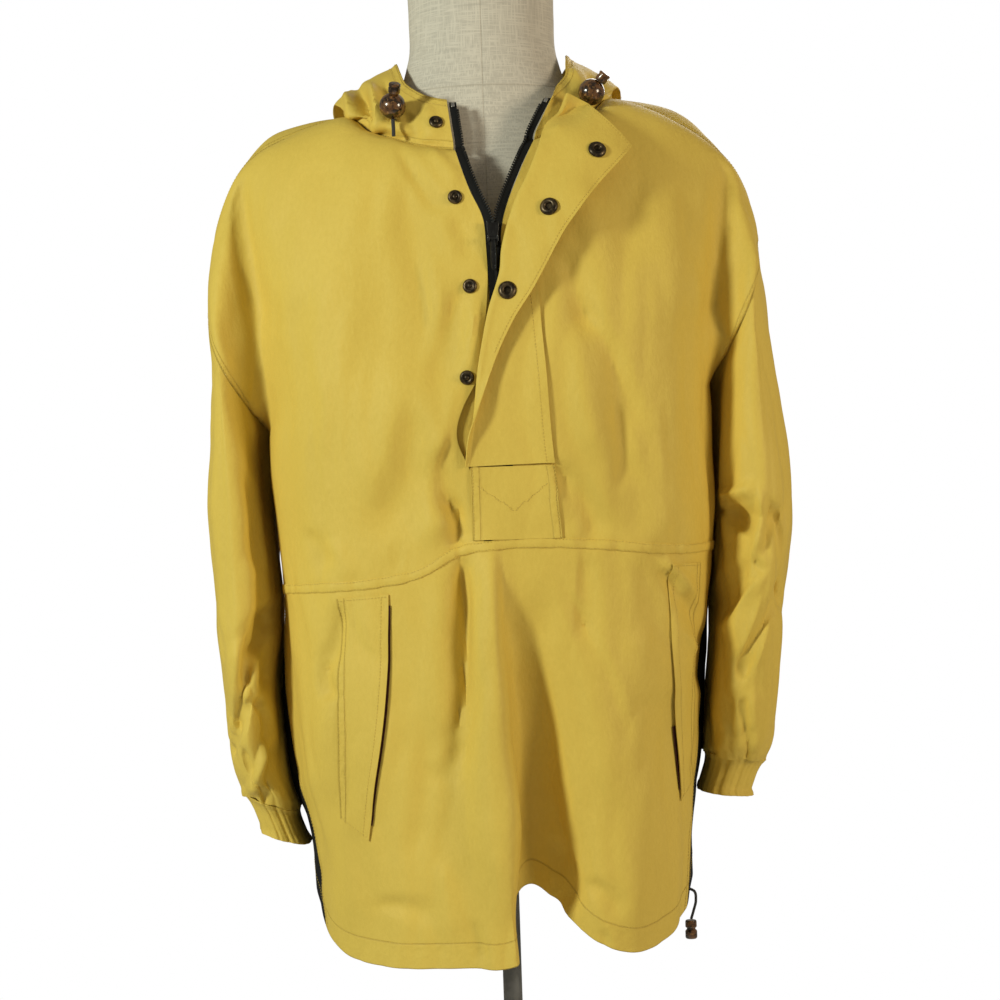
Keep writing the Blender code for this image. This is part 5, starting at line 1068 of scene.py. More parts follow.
class Sewing:
    """Stitches of one group of seams, as one piece of short raised threads."""

    def __init__(self, seed):
        self.random = np.random.default_rng(seed)
        self.points = []
        self.faces = []

    def line(self, route, normals):
        """Stitches along a route of points."""
        pitch, length, width = STITCH
        run = travelled(route)
        if run[-1] < 2 * pitch:
            return
        starts = np.arange(pitch * 0.3, run[-1] - length, pitch)
        starts = starts + self.random.normal(0, 0.00008, len(starts))

        def at(distance, values):
            return np.stack([np.interp(distance, run, values[:, axis]) for axis in range(3)], axis=-1)

        begin, end = at(starts, route), at(starts + length, route)
        normal = unit(at(starts + length / 2, normals))
        along = unit(end - begin, 1e-9)
        side = unit(np.cross(along, normal), 1e-9)
        turn = self.random.normal(0, 0.05, (len(starts), 1))
        shifts = ((-0.5, 0.0, -0.2), (-0.22, 0.5, 0.15), (-0.22, 0.0, 0.55), (-0.22, -0.5, 0.15),
                  (0.22, 0.5, 0.15), (0.22, 0.0, 0.55), (0.22, -0.5, 0.15), (0.5, 0.0, -0.2),
                  (0.0, 0.0, -0.35))
        middle = (begin + end) / 2 + normal * STITCH_PROUD
        ring = []
        for ahead, aside, above in shifts:
            aside = aside * width
            ring.append(middle + along * (ahead * length) + side * (aside + ahead * length * turn)
                        + normal * (above * width))
        ring = np.stack(ring, axis=1)
        base = sum(len(p) for p in self.points)
        faces = ((0, 1, 2), (0, 2, 3), (1, 4, 5), (1, 5, 2), (2, 5, 6), (2, 6, 3), (7, 5, 4), (7, 6, 5),
                 (0, 8, 1), (0, 3, 8), (8, 4, 1), (8, 3, 6), (8, 7, 4), (8, 6, 7))
        for stitch in range(len(starts)):
            self.faces += [tuple(base + stitch * 9 + i for i in face) for face in faces]
        self.points.append(ring.reshape(-1, 3))

    def side(self, name, side, inset, start=0.0, end=1.0, under=0.0):
        """Stitches beside an edge of a finished sheet, at an inset; under is the thickness of
        cloth that shows its other face."""
        sheet, flipped = SHEETS[name]
        normals = grid_normals(sheet)
        if flipped:
            side = side.translate(str.maketrans("lr", "rl"))
            if side in "bt":
                start, end = 1 - end, 1 - start
        if under:
            sheet = sheet - normals * under
            normals = -normals
        if side in "lr":
            sheet = sheet.transpose(1, 0, 2)
            normals = normals.transpose(1, 0, 2)
        if side in "rt":
            sheet = sheet[::-1]
            normals = normals[::-1]
        away = runs(sheet)[1]
        first, last = int(start * (sheet.shape[1] - 1)), int(end * (sheet.shape[1] - 1)) + 1
        route = []
        facing = []
        for c in range(first, last):
            route.append([np.interp(inset, away[:, c], sheet[:, c, axis]) for axis in range(3)])
            facing.append([np.interp(inset, away[:, c], normals[:, c, axis]) for axis in range(3)])
        self.line(np.array(route), np.array(facing))

    def done(self, name, finish):
        mesh = bpy.data.meshes.new(name)
        mesh.from_pydata(np.concatenate(self.points), [], self.faces)
        mesh.validate()
        mesh.shade_smooth()
        return settle(name, mesh, finish)


def turned(name, profile, centre, normal, finish, slot, node, steps, smooth=40):
    """A turned piece from its profile of radius and height, its axis along a normal."""
    aim = Vector(normal).to_track_quat("Z", "Y").to_matrix()
    angles = np.arange(steps) * 2 * np.pi / steps
    points = []
    faces = []
    profile = list(profile)
    for radius, height in profile:
        for angle in angles:
            points.append(aim @ Vector((radius * math.cos(angle), radius * math.sin(angle), height)) + Vector(centre))
    for r in range(len(profile) - 1):
        for c in range(steps):
            n = (c + 1) % steps
            faces.append((r * steps + c, (r + 1) * steps + c, (r + 1) * steps + n, r * steps + n))
    return settle(name, outward_mesh(name, points, faces, smooth), finish, node)


def capped_tube(rings, steps):
    """Faces of a tube of rings, closed at both ends."""
    last = (rings - 1) * steps
    return grid_faces(rings, steps, closed=True) + [tuple(range(steps))[::-1], tuple(range(last, last + steps))]


def outward_mesh(name, points, faces, smooth):
    """A mesh with points that lie together merged and its faces turned outwards. Edges up to the
    angle given in degrees are smooth."""
    mesh = bpy.data.meshes.new(name)
    mesh.from_pydata([tuple(p) for p in points], [], faces)
    skin = bmesh.new()
    skin.from_mesh(mesh)
    bmesh.ops.remove_doubles(skin, verts=skin.verts, dist=0.000002)
    bmesh.ops.dissolve_degenerate(skin, edges=skin.edges, dist=0.000001)
    bmesh.ops.recalc_face_normals(skin, faces=skin.faces)
    skin.to_mesh(mesh)
    skin.free()
    mesh.shade_smooth()
    mesh.set_sharp_from_angle(angle=math.radians(smooth))
    return mesh


# ---------------------------------------------------------------- panels
JOIN = 0.00012           # each of two joined panels is cut back by this much
HANG_START = 0.75        # first guess at a hanging panel's heights
FRONT_ROWS = (39, 81)    # rows of an upper front below and above the armpit
HOOD_GRID = (110, 196)   # rows and columns of the hood's cloth
FLAP_GRID = (150, 62)    # rows and columns of the flap's cloth
FLAP_FACE = 34           # column of the flap where its upper face begins
BAND_HALF = 0.0044       # half height of the waist band
SLANT_FROM = 1.20        # height where the zip's tapes begin to slant
BALL_SINK = 0.0008       # depth of a lock's ball in the cloth
EYELET_RISE = 0.006      # height of the drawcord's eyelet over the hem
CARRY_MOST = 0.004       # furthest that a laid piece follows a crease
MOUTH_LEFT = (3.3, -0.045)    # row of the welt's table where a bag's edge starts, and its reach out
MOUTH_RIGHT = (0.3, -0.034)
FRONT_FOOT = 0.93        # height of the waist seam before it curves


def cut_back(sheet, sides="lrtb"):
    """Draws the sides of a panel in by the gap of its seams."""
    sheet = sheet.copy()
    for side, edge, inner in (("l", np.s_[:, 0], np.s_[:, 1]), ("r", np.s_[:, -1], np.s_[:, -2]),
                              ("b", np.s_[0], np.s_[1]), ("t", np.s_[-1], np.s_[-2])):
        if side in sides:
            sheet[edge] = sheet[edge] + unit(sheet[inner] - sheet[edge], 1e-9) * JOIN
    return sheet


def denser(values, count):
    """More steps between the values of a rising list, in the same proportions."""
    return np.interp(np.linspace(0, len(values) - 1, count), np.arange(len(values)), values)


def upper_front_sheet(side):
    low = np.linspace(FRONT_FOOT, ARMPIT, FRONT_ROWS[0])
    high = np.linspace(ARMPIT, YOKE_TOP, FRONT_ROWS[1] + 1)[1:]
    rows = np.concatenate([low, high])
    inner = opening_angle(side, rows)
    across = np.linspace(0, 1, 28)[:-1]
    outer = side * np.linspace(NECK_CORNER, 90.0, 50)
    angles = np.array([np.concatenate([edge + (side * NECK_CORNER - edge) * across, outer]) for edge in inner])
    share = np.clip((ARMPIT - rows) / (ARMPIT - FRONT_FOOT), 0, 1)[:, None]
    heights = rows[:, None] + (waist(angles) - FRONT_FOOT) * share
    return cut_back(cloth_point(angles, heights))


def hung(places, shares, around, top):
    """Angles and heights of a panel between its side edges, the hem and its top."""
    angles = np.zeros((len(shares), len(places)))
    height = np.full(angles.shape, HANG_START)
    for _step in range(8):
        angles = around(places[None, :], height)
        height = hem(angles) + (top(angles) - hem(angles)) * shares[:, None]
    return angles, height


def lower_front_sheet():
    places = denser([-1, -0.56, -0.11, -0.08, 0.04, 0.16, 0.23, 0.6, 1], 171)

    def around(place, height):
        return place * (90.0 - np.where(place < 0, gusset(-1, height), gusset(1, height)))

    angles, heights = hung(places, np.linspace(0, 1, 112), around, waist)
    return cut_back(cloth_point(angles, heights))


def back_sheet():
    shoulder = 180.0 - denser([NECK_CORNER, 90.0], 48)[::-1]
    shoulder[0] = BACK_LEFT
    neck = np.linspace(180.0 - NECK_CORNER, 180.0 + NECK_CORNER, 56)[1:-1]
    angles = np.concatenate([shoulder, neck, 360.0 - shoulder[::-1]])
    across = (angles - angles[0]) / (angles[-1] - angles[0])

    def around(place, height):
        first = BACK_LEFT + gusset(1, height)
        return first + (BACK_RIGHT - gusset(-1, height) - first) * place

    low_angles, low = hung(across, np.linspace(0, 1, 118), around, lambda a: np.full(np.shape(a), ARMPIT))
    high = np.linspace(ARMPIT, YOKE_TOP, 80)[1:]
    high_angles, high = np.broadcast_arrays(angles[None, :], high[:, None])
    return cut_back(cloth_point(np.concatenate([low_angles, high_angles]), np.concatenate([low, high])))


def side_panel_sheet(side):
    top = float(waist(np.array(90.0 * side))) - 0.014

    def around(place, height):
        return side * 90.0 + place * gusset(side, height)

    angles, heights = hung(np.linspace(-1, 1, 34), np.linspace(0, 1, 96), around,
                           lambda a: np.full(np.shape(a), top))
    return cut_back(cloth_point(angles, heights))


def gathers(places, seed, count=2.7):
    """Uneven gathers round an elastic: -1 to 1 at places round a ring."""
    round_it = np.stack([np.cos(places * 2 * np.pi) * count, np.sin(places * 2 * np.pi) * count,
                         np.full(places.shape, 0.5)], axis=-1)
    return np.clip(lattice(round_it, seed) * 1.3 + lattice(round_it * 2.1, seed + 1) * 0.5, -1, 1)


SLEEVE_SLIM = 0.0028     # the outer side of a sleeve lies this much further in than its solid


def sleeve_sheet(side):
    places = np.arange(132) / 132
    ways = np.concatenate([np.linspace(0, 0.10, 16)[:-1], np.linspace(0.10, 1.0, 132)])
    sheet = sleeve_point(side, places[None, :], ways[:, None])
    if side > 0:
        sheet = sheet[:, ::-1]
        places = places[::-1]
    normals = grid_normals(sheet, True)
    front = ease((0.25 - normals[..., 1]) / 0.5)
    press = creased(sheet, SLEEVE_CREASES) * front + drape(sheet, 1.15)
    press = press + SLEEVE_SLIM * ease((0.9 - ways) / 0.15)[:, None] * ease(side * normals[..., 0] / 0.5)
    near = ease((ways - 0.78) / 0.22)[:, None]
    press = press + 0.0022 * near * gathers(places, 71 if side > 0 else 61)[None, :]
    press = press * ease(ways / 0.05)[:, None]
    clear = side * sheet[..., 0] - flank(side, sheet[..., 2]) - SLEEVE_CLEAR
    press = np.where(side * normals[..., 0] < 0, np.maximum(press, -np.maximum(clear, 0)), press)
    return cut_back(sheet - normals * press[..., None], "b")


def cuff_sheet(side):
    """Gathered elastic cuff below a sleeve."""
    places = np.arange(170) / 170
    rim = sleeve_point(side, places, np.ones(170))
    if side > 0:
        rim = rim[::-1]
        places = places[::-1]
    centre = rim.mean(axis=0)
    folds = gathers(places, 71 if side > 0 else 61)
    small = gathers(places, 171 if side > 0 else 161, 7.0)
    rows = []
    for share in np.linspace(0, 1, 15):
        tuck = float(np.interp(share, (0, 0.16, 0.35, 0.80, 1.0), (0.985, 0.88, 0.84, 0.83, 0.90)))
        deep = float(np.interp(share, (0, 0.16, 0.5, 1.0), (0.0020, 0.0018, 0.0012, 0.0019)))
        outwards = rim - centre
        outwards[:, 2] = outwards[:, 2] * (1 - 0.2 * share)
        wave = 1 - deep / 0.03 * folds - 0.0006 / 0.03 * small
        row = centre + outwards * (tuck * wave)[:, None]
        row[:, 2] -= CUFF_DROP * 0.3 + CUFF_HEIGHT * share
        row[:, 0] -= side * CUFF_LEAN * share
        short = flank(side, row[:, 2]) + SLEEVE_CLEAR - side * row[:, 0]
        row[:, 0] += side * max(0.0, short.max())
        rows.append(row)
    return np.array(rows)[::-1]


def hood_sheet():
    """The whole hood, rim upwards; its columns run from the left zip edge to the right one."""
    ways = hood_ways()
    sheet = hood_point(ways, np.array(HOOD_RISES))
    sheet = finer(sheet, *HOOD_GRID)[:, ::-1]
    normals = grid_normals(sheet)
    front = ease((0.10 - normals[..., 1]) / 0.3)
    press = creased(sheet, HOOD_CREASES, FRONT_DEPTH) * front + HOOD_DRAPE * drape(sheet)
    rise = np.linspace(0, 1, HOOD_GRID[0])[:, None]
    press = press * ease(rise / 0.10) * ease((1.0 - rise) / 0.06 + 0.25)
    return sheet - normals * press[..., None]


def smooth_front():
    """The fronts and the hood's front parts before any creasing, to lay things on."""
    angles = np.linspace(-90, 90, 181)
    heights = np.concatenate([np.linspace(0.56, ARMPIT, 80), np.linspace(ARMPIT + 0.002, 1.30, 60)])
    sheets = [body_point(angles[None, :], heights[:, None])]
    for first, last in ((0.0, 0.28), (0.72, 1.0)):
        sheets.append(hood_point(np.linspace(first, last, 40), np.linspace(0, 1, 30)))
    return Front(sheets)


class Worn:
    """The finished front of the garment and the smooth one that it is creased from."""

    smooth = None
    creased = None

    @classmethod
    def ready(cls):
        if cls.smooth is None:
            cls.smooth = smooth_front()
            angles = np.linspace(-89.9, 89.9, 260)
            heights = np.concatenate([np.linspace(0.56, ARMPIT, 170), np.linspace(ARMPIT + 0.002, YOKE_TOP, 90)])
            sheets = [cloth_point(angles[None, :], heights[:, None])]
            whole = hood_sheet()[:, ::-1]
            sheets += [whole[:, :56], whole[:, -56:]]
            cls.creased = Front(sheets)
        return cls

    @classmethod
    def carried(cls, sheet):
        """Moves a sheet that was laid on the smooth front onto the creased one."""
        cls.ready()
        moved = sheet.copy()
        for place in moved.reshape(-1, 3):
            off = cls.creased.at(place[0], place[2])[0][1] - cls.smooth.at(place[0], place[2])[0][1]
            place[1] += float(np.clip(off, -CARRY_MOST, CARRY_MOST))
        return moved


def laid(rows, out):
    """Sheet of points that lie out of the creased front by a distance; rows hold (x, z)."""
    front = Worn.ready().creased
    return np.array([[front.at(x, z, out)[0] for x, z in row] for row in rows])


def flap_sheet():
    """The flap over the zip: each row runs from the seam under the roll to the free edge."""
    surface = Worn.ready().smooth
    rows = list(FLAP)
    rows += [row[:4] + (None, None, row[4], row[5], FLAP_CLEAR) for row in FLAP_FOOT]
    sheet = []
    for index, row in enumerate(rows):
        attach_x, attach_z, roll_x, roll_z, free_x, free_z, turn, reach, clear = row
        before = rows[max(index - 1, 0)]
        after = rows[min(index + 1, len(rows) - 1)]
        axis = np.array([before[2] - after[2], 0.0, before[3] - after[3]])
        axis = axis / np.linalg.norm(axis)
        bulge = np.array([-axis[2], 0.0, axis[0]])
        roll_x = roll_x + FLAP_ROLL * (-bulge[0]) * min(turn / 90.0, 1.0)
        line = []
        for place in np.linspace(0, 1, 5):
            x = attach_x + (roll_x - attach_x) * place
            z = attach_z + (roll_z - attach_z) * place
            line.append(surface.at(x, z, clear)[0])
        foot, normal = surface.at(roll_x, roll_z, clear)
        for step in (0.33, 0.67, 1.0):
            bend = math.radians(turn * step)
            line.append(foot + normal * FLAP_ROLL * (1 - math.cos(bend)) + bulge * FLAP_ROLL * math.sin(bend))
        last = line[-1]
        shares = np.linspace(0, 1, FLAP_ACROSS + 1)[1:]
        if free_x is None:
            onwards = bulge * math.cos(bend) + normal * math.sin(bend)
            line += [last + onwards * reach * share for share in shares]
        else:
            height = float((last - foot) @ normal) + clear
            for share in shares:
                x = last[0] + (free_x - last[0]) * share
                z = last[2] + (free_z - last[2]) * share
                line.append(surface.at(x, z, height + reach * ease(share * 0.9))[0])
        sheet.append(line)
    sheet = Worn.carried(finer(np.array(sheet)[::-1], *FLAP_GRID))
    normals = grid_normals(sheet)
    rise = np.linspace(0, 1, FLAP_GRID[1])[None, :]
    press = 0.0009 * lattice(sheet / np.array([0.030, 0.030, 0.055]), 77) * ease((rise - 0.60) / 0.2)
    return sheet - normals * press[..., None]


def band_sheet():
    """Raised welt over the waist seam of the front, puckered by its two rows of stitches."""
    angles = np.linspace(-84, 84, 300)
    places = np.linspace(-1, 1, 9)
    middle = waist(angles)
    heights = middle[None, :] + BAND_HALF * places[:, None]
    pucker = lattice(np.stack([angles * 0.55, angles * 0, angles * 0 + 3.3], axis=-1), 31)
    flat = 1 - places ** 8
    tuck = np.exp(-((np.abs(places) - 0.62) / 0.16) ** 2)
    out = BAND_CLEAR * (0.3 + 0.7 * flat[:, None]) + 0.0004 * flat[:, None] * (1 + 1.4 * pucker[None, :])
    heights = heights + 0.0006 * pucker[None, :] * places[:, None]
    return cloth_point(np.broadcast_to(angles, heights.shape), heights, out - 0.00035 * tuck[:, None])


def welt_sheet(side):
    """Slanting pocket welt; its edge towards the centre stands open."""
    table = np.array(WELT_LEFT if side > 0 else WELT_RIGHT)
    dense = through(np.arange(len(table)), table, np.linspace(0, len(table) - 1, 72))[::-1]
    places = np.linspace(0, 1, 20)
    inner, outer, drop, height, open_by = (dense[:, i:i + 1] for i in range(5))
    angle = outer + (inner - outer) * places
    out = BAND_CLEAR + open_by * ease(places * 1.2 - 0.2) + 0.0005 * (1 - (2 * places - 1) ** 2)
    return cloth_point(angle, height - drop * places, out)


def mouth_sheet(side):
    """Edge of the pocket bag that shows inside the open edge of the welt; its near black-red colour is painted shade.
    """
    table = np.array(WELT_LEFT if side > 0 else WELT_RIGHT)
    first, spread = MOUTH_LEFT if side > 0 else MOUTH_RIGHT
    dense = through(np.arange(len(table)), table, np.linspace(first, len(table) - 1.3, 60))[::-1]
    places = np.linspace(spread, 0.14, 7)
    inner, outer, drop, height, _open_by = (dense[:, i:i + 1] for i in range(5))
    angle = inner + (outer - inner) * places
    return cloth_point(angle, height - drop * (1 - places), np.full(angle.shape, 0.0009))


def tape_sheet(side):
    """Zip tape from the top stop down the opening, then straight down to the placket."""
    table = ZIP_LEFT if side > 0 else ZIP_RIGHT
    rim = hood_point(np.array([0.0 if side < 0 else 1.0]), np.linspace(0, 1, 9))[:, 0]
    surface = Worn.ready().creased
    rows = []
    for height in np.linspace(ZIP_FOOT, ZIP_TOP[side], 120):
        line = []
        for place in (0.0, 0.5, 1.0):
            if height >= rim[0, 2]:
                inwards = -side * (ZIP_TAPE * place + 0.0016)
                point = np.array([float(np.interp(height, rim[:, 2], rim[:, 0])) + inwards,
                                  float(np.interp(height, rim[:, 2], rim[:, 1])) + 0.0006 - 0.10 * abs(inwards),
                                  height])
            else:
                edge = float(read_off(table, height))
                slant = ZIP_SLANT if height > SLANT_FROM else 1.0
                point = surface.at(edge - side * (0.0004 + ZIP_TAPE * slant * place), height, -0.0004)[0]
            line.append(point)
        rows.append(line)
    return np.array(rows)


# ---------------------------------------------------------------- finishes
def node_group(name, inputs, outputs):
    """A shader node group with its named inputs and outputs."""
    tree = bpy.data.node_groups.new(name, "ShaderNodeTree")
    for label, kind, value in inputs:
        socket = tree.interface.new_socket(name=label, in_out="INPUT", socket_type=kind)
        socket.default_value = value
    for label, kind in outputs:
        tree.interface.new_socket(name=label, in_out="OUTPUT", socket_type=kind)
    return tree, tree.nodes.new("NodeGroupInput"), tree.nodes.new("NodeGroupOutput")


def node(tree, kind, settings=(), **links):
    """A node with its settings; keyword arguments are values or links of its inputs."""
    made = tree.nodes.new(kind)
    for key, value in settings:
        setattr(made, key, value)
    for key, value in links.items():
        socket = made.inputs[int(key[1:])] if key[0] == "i" and key[1:].isdigit() else made.inputs[key]
        if isinstance(value, bpy.types.NodeSocket):
            tree.links.new(value, socket)
        else:
            socket.default_value = value
    return made


def math_node(tree, operation, *values):
    return node(tree, "ShaderNodeMath", (("operation", operation),),
                **{f"i{i}": value for i, value in enumerate(values)}).outputs[0]


def times(tree, *values):
    return math_node(tree, "MULTIPLY", *values)


def plus(tree, *values):
    return math_node(tree, "ADD", *values)


def minus(tree, *values):
    return math_node(tree, "SUBTRACT", *values)


def larger(tree, *values):
    return math_node(tree, "MAXIMUM", *values)


def object_place(tree):
    """Place on the piece in metres."""
    return node(tree, "ShaderNodeTexCoord").outputs["Object"]


def stretched(tree, place, scale):
    return node(tree, "ShaderNodeMapping", (), Vector=place, Scale=scale).outputs[0]


def line_at(tree, value, at, wide):
    """Mask of a thin line where a value passes a number."""
    off = math_node(tree, "ABSOLUTE", minus(tree, value, at))
    return mapped(tree, off, 0.0, wide, 1.0, 0.0)


def mapped(tree, value, low, high, to_low=0.0, to_high=1.0):
    made = node(tree, "ShaderNodeMapRange", (("interpolation_type", "SMOOTHSTEP"),),
                i0=value, i1=low, i2=high, i3=to_low, i4=to_high)
    return made.outputs[0]


def noise(tree, vector, scale, detail=2.0, rough=0.5):
    return node(tree, "ShaderNodeTexNoise", (), Vector=vector, Scale=scale, Detail=detail,
                Roughness=rough).outputs["Fac"]


def mix_colour(tree, blend, factor, first, second):
    made = node(tree, "ShaderNodeMix", (("data_type", "RGBA"), ("blend_type", blend)), i0=factor)
    for index, value in ((6, first), (7, second)):
        if isinstance(value, bpy.types.NodeSocket):
            tree.links.new(value, made.inputs[index])
        else:
            made.inputs[index].default_value = value
    return made.outputs[2]


def weave_group():
    """Plain weave: crossing threads, as a height and a mask of the gaps between them."""
    tree, given, result = node_group("Plain weave", (("Threads per metre", "NodeSocketFloat", 1500.0),),
                                     (("Height", "NodeSocketFloat"), ("Gaps", "NodeSocketFloat")))
    uv = node(tree, "ShaderNodeUVMap", (("uv_map", "cloth"),)).outputs[0]
    apart = node(tree, "ShaderNodeSeparateXYZ", (), Vector=uv)
    turns = times(tree, given.outputs[0], math.pi)
    waves = [math_node(tree, "SINE", times(tree, apart.outputs[i], turns)) for i in (0, 1)]
    across, along = (math_node(tree, "ABSOLUTE", wave) for wave in waves)
    over = times(tree, *waves)
    picked = mapped(tree, over, -0.2, 0.2)
    height = plus(tree, times(tree, across, picked), times(tree, along, minus(tree, 1.0, picked)))
    gaps = mapped(tree, times(tree, across, along), 0.0, 0.25, 1.0, 0.0)
    tree.links.new(height, result.inputs[0])
    tree.links.new(gaps, result.inputs[1])
    return tree


GRAIN = 620.0            # spots of the cloth's grain per metre


def crumple_group():
    """Small creasing and slow changes of tone of a worn cloth."""
    tree, given, result = node_group(
        "Crumple", (("Size", "NodeSocketFloat", 0.012), ("Seed", "NodeSocketFloat", 0.0)),
        (("Height", "NodeSocketFloat"), ("Tone", "NodeSocketFloat")))
    place = object_place(tree)
    shifted = stretched(tree, place, (1.0, 1.0, 0.55))
    scale = math_node(tree, "DIVIDE", 1.0, given.outputs[0])
    low = noise(tree, shifted, scale, 3.0, 0.55)
    fold = math_node(tree, "ABSOLUTE", minus(tree, low, 0.5))
    fine = noise(tree, shifted, times(tree, scale, 3.7), 2.0, 0.5)
    height = plus(tree, times(tree, fold, -1.6), times(tree, fine, 0.35))
    broad = noise(tree, shifted, times(tree, scale, 0.12), 2.0, 0.5)
    grain = noise(tree, place, GRAIN, 2.0, 0.6)
    height = plus(tree, height, times(tree, grain, 0.10))
    tone = plus(tree, times(tree, broad, 0.60), times(tree, fine, 0.25))
    tone = plus(tree, tone, times(tree, grain, 0.15))
    tree.links.new(height, result.inputs[0])
    tree.links.new(plus(tree, tone, given.outputs[1]), result.inputs[1])
    return tree


def seam_group():
    """Relief of felled seams and hems: a raised band, the grooves of its stitching and puckers. Its second output
    marks the stitch grooves and the cut edges, which woven() darkens as painted shade.
    """
    tree, given, result = node_group(
        "Seam relief", (("Band", "NodeSocketFloat", 0.0085), ("Hem", "NodeSocketFloat", 0.022)),
        (("Height", "NodeSocketFloat"), ("Groove shade", "NodeSocketFloat")))
    seam = node(tree, "ShaderNodeAttribute", (("attribute_name", "seam"),)).outputs["Fac"]
    fold = node(tree, "ShaderNodeAttribute", (("attribute_name", "hem"),)).outputs["Fac"]
    place = object_place(tree)
    pucker = noise(tree, place, 190.0, 1.0, 0.4)
    band = mapped(tree, minus(tree, given.outputs[0], seam), -0.0006, 0.0008)
    hemmed = mapped(tree, minus(tree, given.outputs[1], fold), -0.0006, 0.0010)
    lines = larger(tree, line_at(tree, seam, 0.0015, 0.0009),
                   line_at(tree, seam, minus(tree, given.outputs[0], 0.0007), 0.0009))
    lines = larger(tree, lines, line_at(tree, fold, minus(tree, given.outputs[1], 0.0008), 0.0012))
    edge = mapped(tree, math_node(tree, "MINIMUM", seam, fold), 0.0, 0.0007, 1.0, 0.0)
    raised = times(tree, larger(tree, band, times(tree, hemmed, 0.6)), plus(tree, times(tree, pucker, 1.5), 0.1))
    height = minus(tree, raised, plus(tree, times(tree, lines, 0.8), edge))
    tree.links.new(height, result.inputs[0])
    # mask of the stitch grooves and cut edges, used to darken the colour as painted shade
    tree.links.new(larger(tree, lines, edge), result.inputs[1])
    return tree


def shared(name, make):
    """A node group, made the first time it is wanted."""
    return bpy.data.node_groups.get(name) or make()


def blank(name, roughness, metallic=0.0):
    made = bpy.data.materials.new(name)
    made.use_nodes = True
    shader = made.node_tree.nodes["Principled BSDF"]
    shader.inputs["Roughness"].default_value = roughness
    shader.inputs["Metallic"].default_value = metallic
    return made, made.node_tree, shader


def bumped(tree, shader, heights):
    """Chains bumps of (height, distance, strength) into the shader's normal."""
    normal = None
    for height, distance, strength in heights:
        made = node(tree, "ShaderNodeBump", (), Height=height, Distance=distance, Strength=strength)
        if normal is not None:
            tree.links.new(normal, made.inputs["Normal"])
        normal = made.outputs[0]
    tree.links.new(normal, shader.inputs["Normal"])


def rgb(colour):
    return (colour[0], colour[1], colour[2], 1.0)


def woven(name, colour, shade, roughness, threads=1500.0, size=0.012):
    """A woven cloth with its creasing, seam relief and worn tones, and painted shade in the gaps between its threads,
    in its stitch grooves and at its cut edges.
    """
    made, tree, shader = blank(name, roughness)
    weave = node(tree, "ShaderNodeGroup", (("node_tree", shared("Plain weave", weave_group)),))
    weave.inputs[0].default_value = threads
    crumple = node(tree, "ShaderNodeGroup", (("node_tree", shared("Crumple", crumple_group)),))
    crumple.inputs[0].default_value = size
    seams = node(tree, "ShaderNodeGroup", (("node_tree", shared("Seam relief", seam_group)),))
    tone = mapped(tree, crumple.outputs["Tone"], 0.35, 0.65)
    base = mix_colour(tree, "MIX", times(tree, tone, 0.55), rgb(colour), rgb(shade))
    # darker in the gaps between the threads: painted shade
    base = mix_colour(tree, "MULTIPLY", times(tree, weave.outputs["Gaps"], 0.16), base,
                      rgb([part * 0.55 for part in shade]))
    # darker in the stitch grooves and at the cut edges: painted shade
    base = mix_colour(tree, "MULTIPLY", times(tree, seams.outputs["Groove shade"], 0.30), base, (0.55, 0.45, 0.30, 1.0))
    tree.links.new(base, shader.inputs["Base Color"])
    worn = plus(tree, times(tree, tone, 0.10), roughness - 0.05)
    tree.links.new(worn, shader.inputs["Roughness"])
    shader.inputs["Specular IOR Level"].default_value = 0.22
    bumped(tree, shader, ((crumple.outputs["Height"], 0.0014, 0.42), (seams.outputs["Height"], 0.0009, 0.75),
                          (weave.outputs["Height"], 0.00012, 0.30)))
    return made


def yellow_cloth():
    sizes = bpy.context.scene.anorak_cloth
    return woven("yellow shell cloth", sizes.colour, sizes.shade, 0.60)


def black_cloth():
    return woven("black woven tape", (0.0055, 0.0055, 0.0055), (0.0095, 0.0092, 0.0090), 0.80, 1100.0, 0.008)


# the pocket bag's cloth in the welt's opening, coloured near black-red as painted shade
def shaded_pocket_lining():
    return woven("pocket lining in painted shade", (0.060, 0.016, 0.008), (0.030, 0.009, 0.005), 0.85)


def thread():
    sizes = bpy.context.scene.anorak_cloth
    made, tree, shader = blank("sewing thread", 0.62)
    place = object_place(tree)
    twist = node(tree, "ShaderNodeTexWave", (("wave_type", "BANDS"), ("bands_direction", "DIAGONAL")),
                 Vector=place, Scale=900.0, Distortion=0.6).outputs["Fac"]
    colour = [part * 0.92 for part in sizes.colour]
    base = mix_colour(tree, "MIX", times(tree, twist, 0.35), rgb(colour),
                      rgb([part * 0.70 for part in colour]))
    tree.links.new(base, shader.inputs["Base Color"])
    bumped(tree, shader, ((twist, 0.0001, 0.5),))
    return made


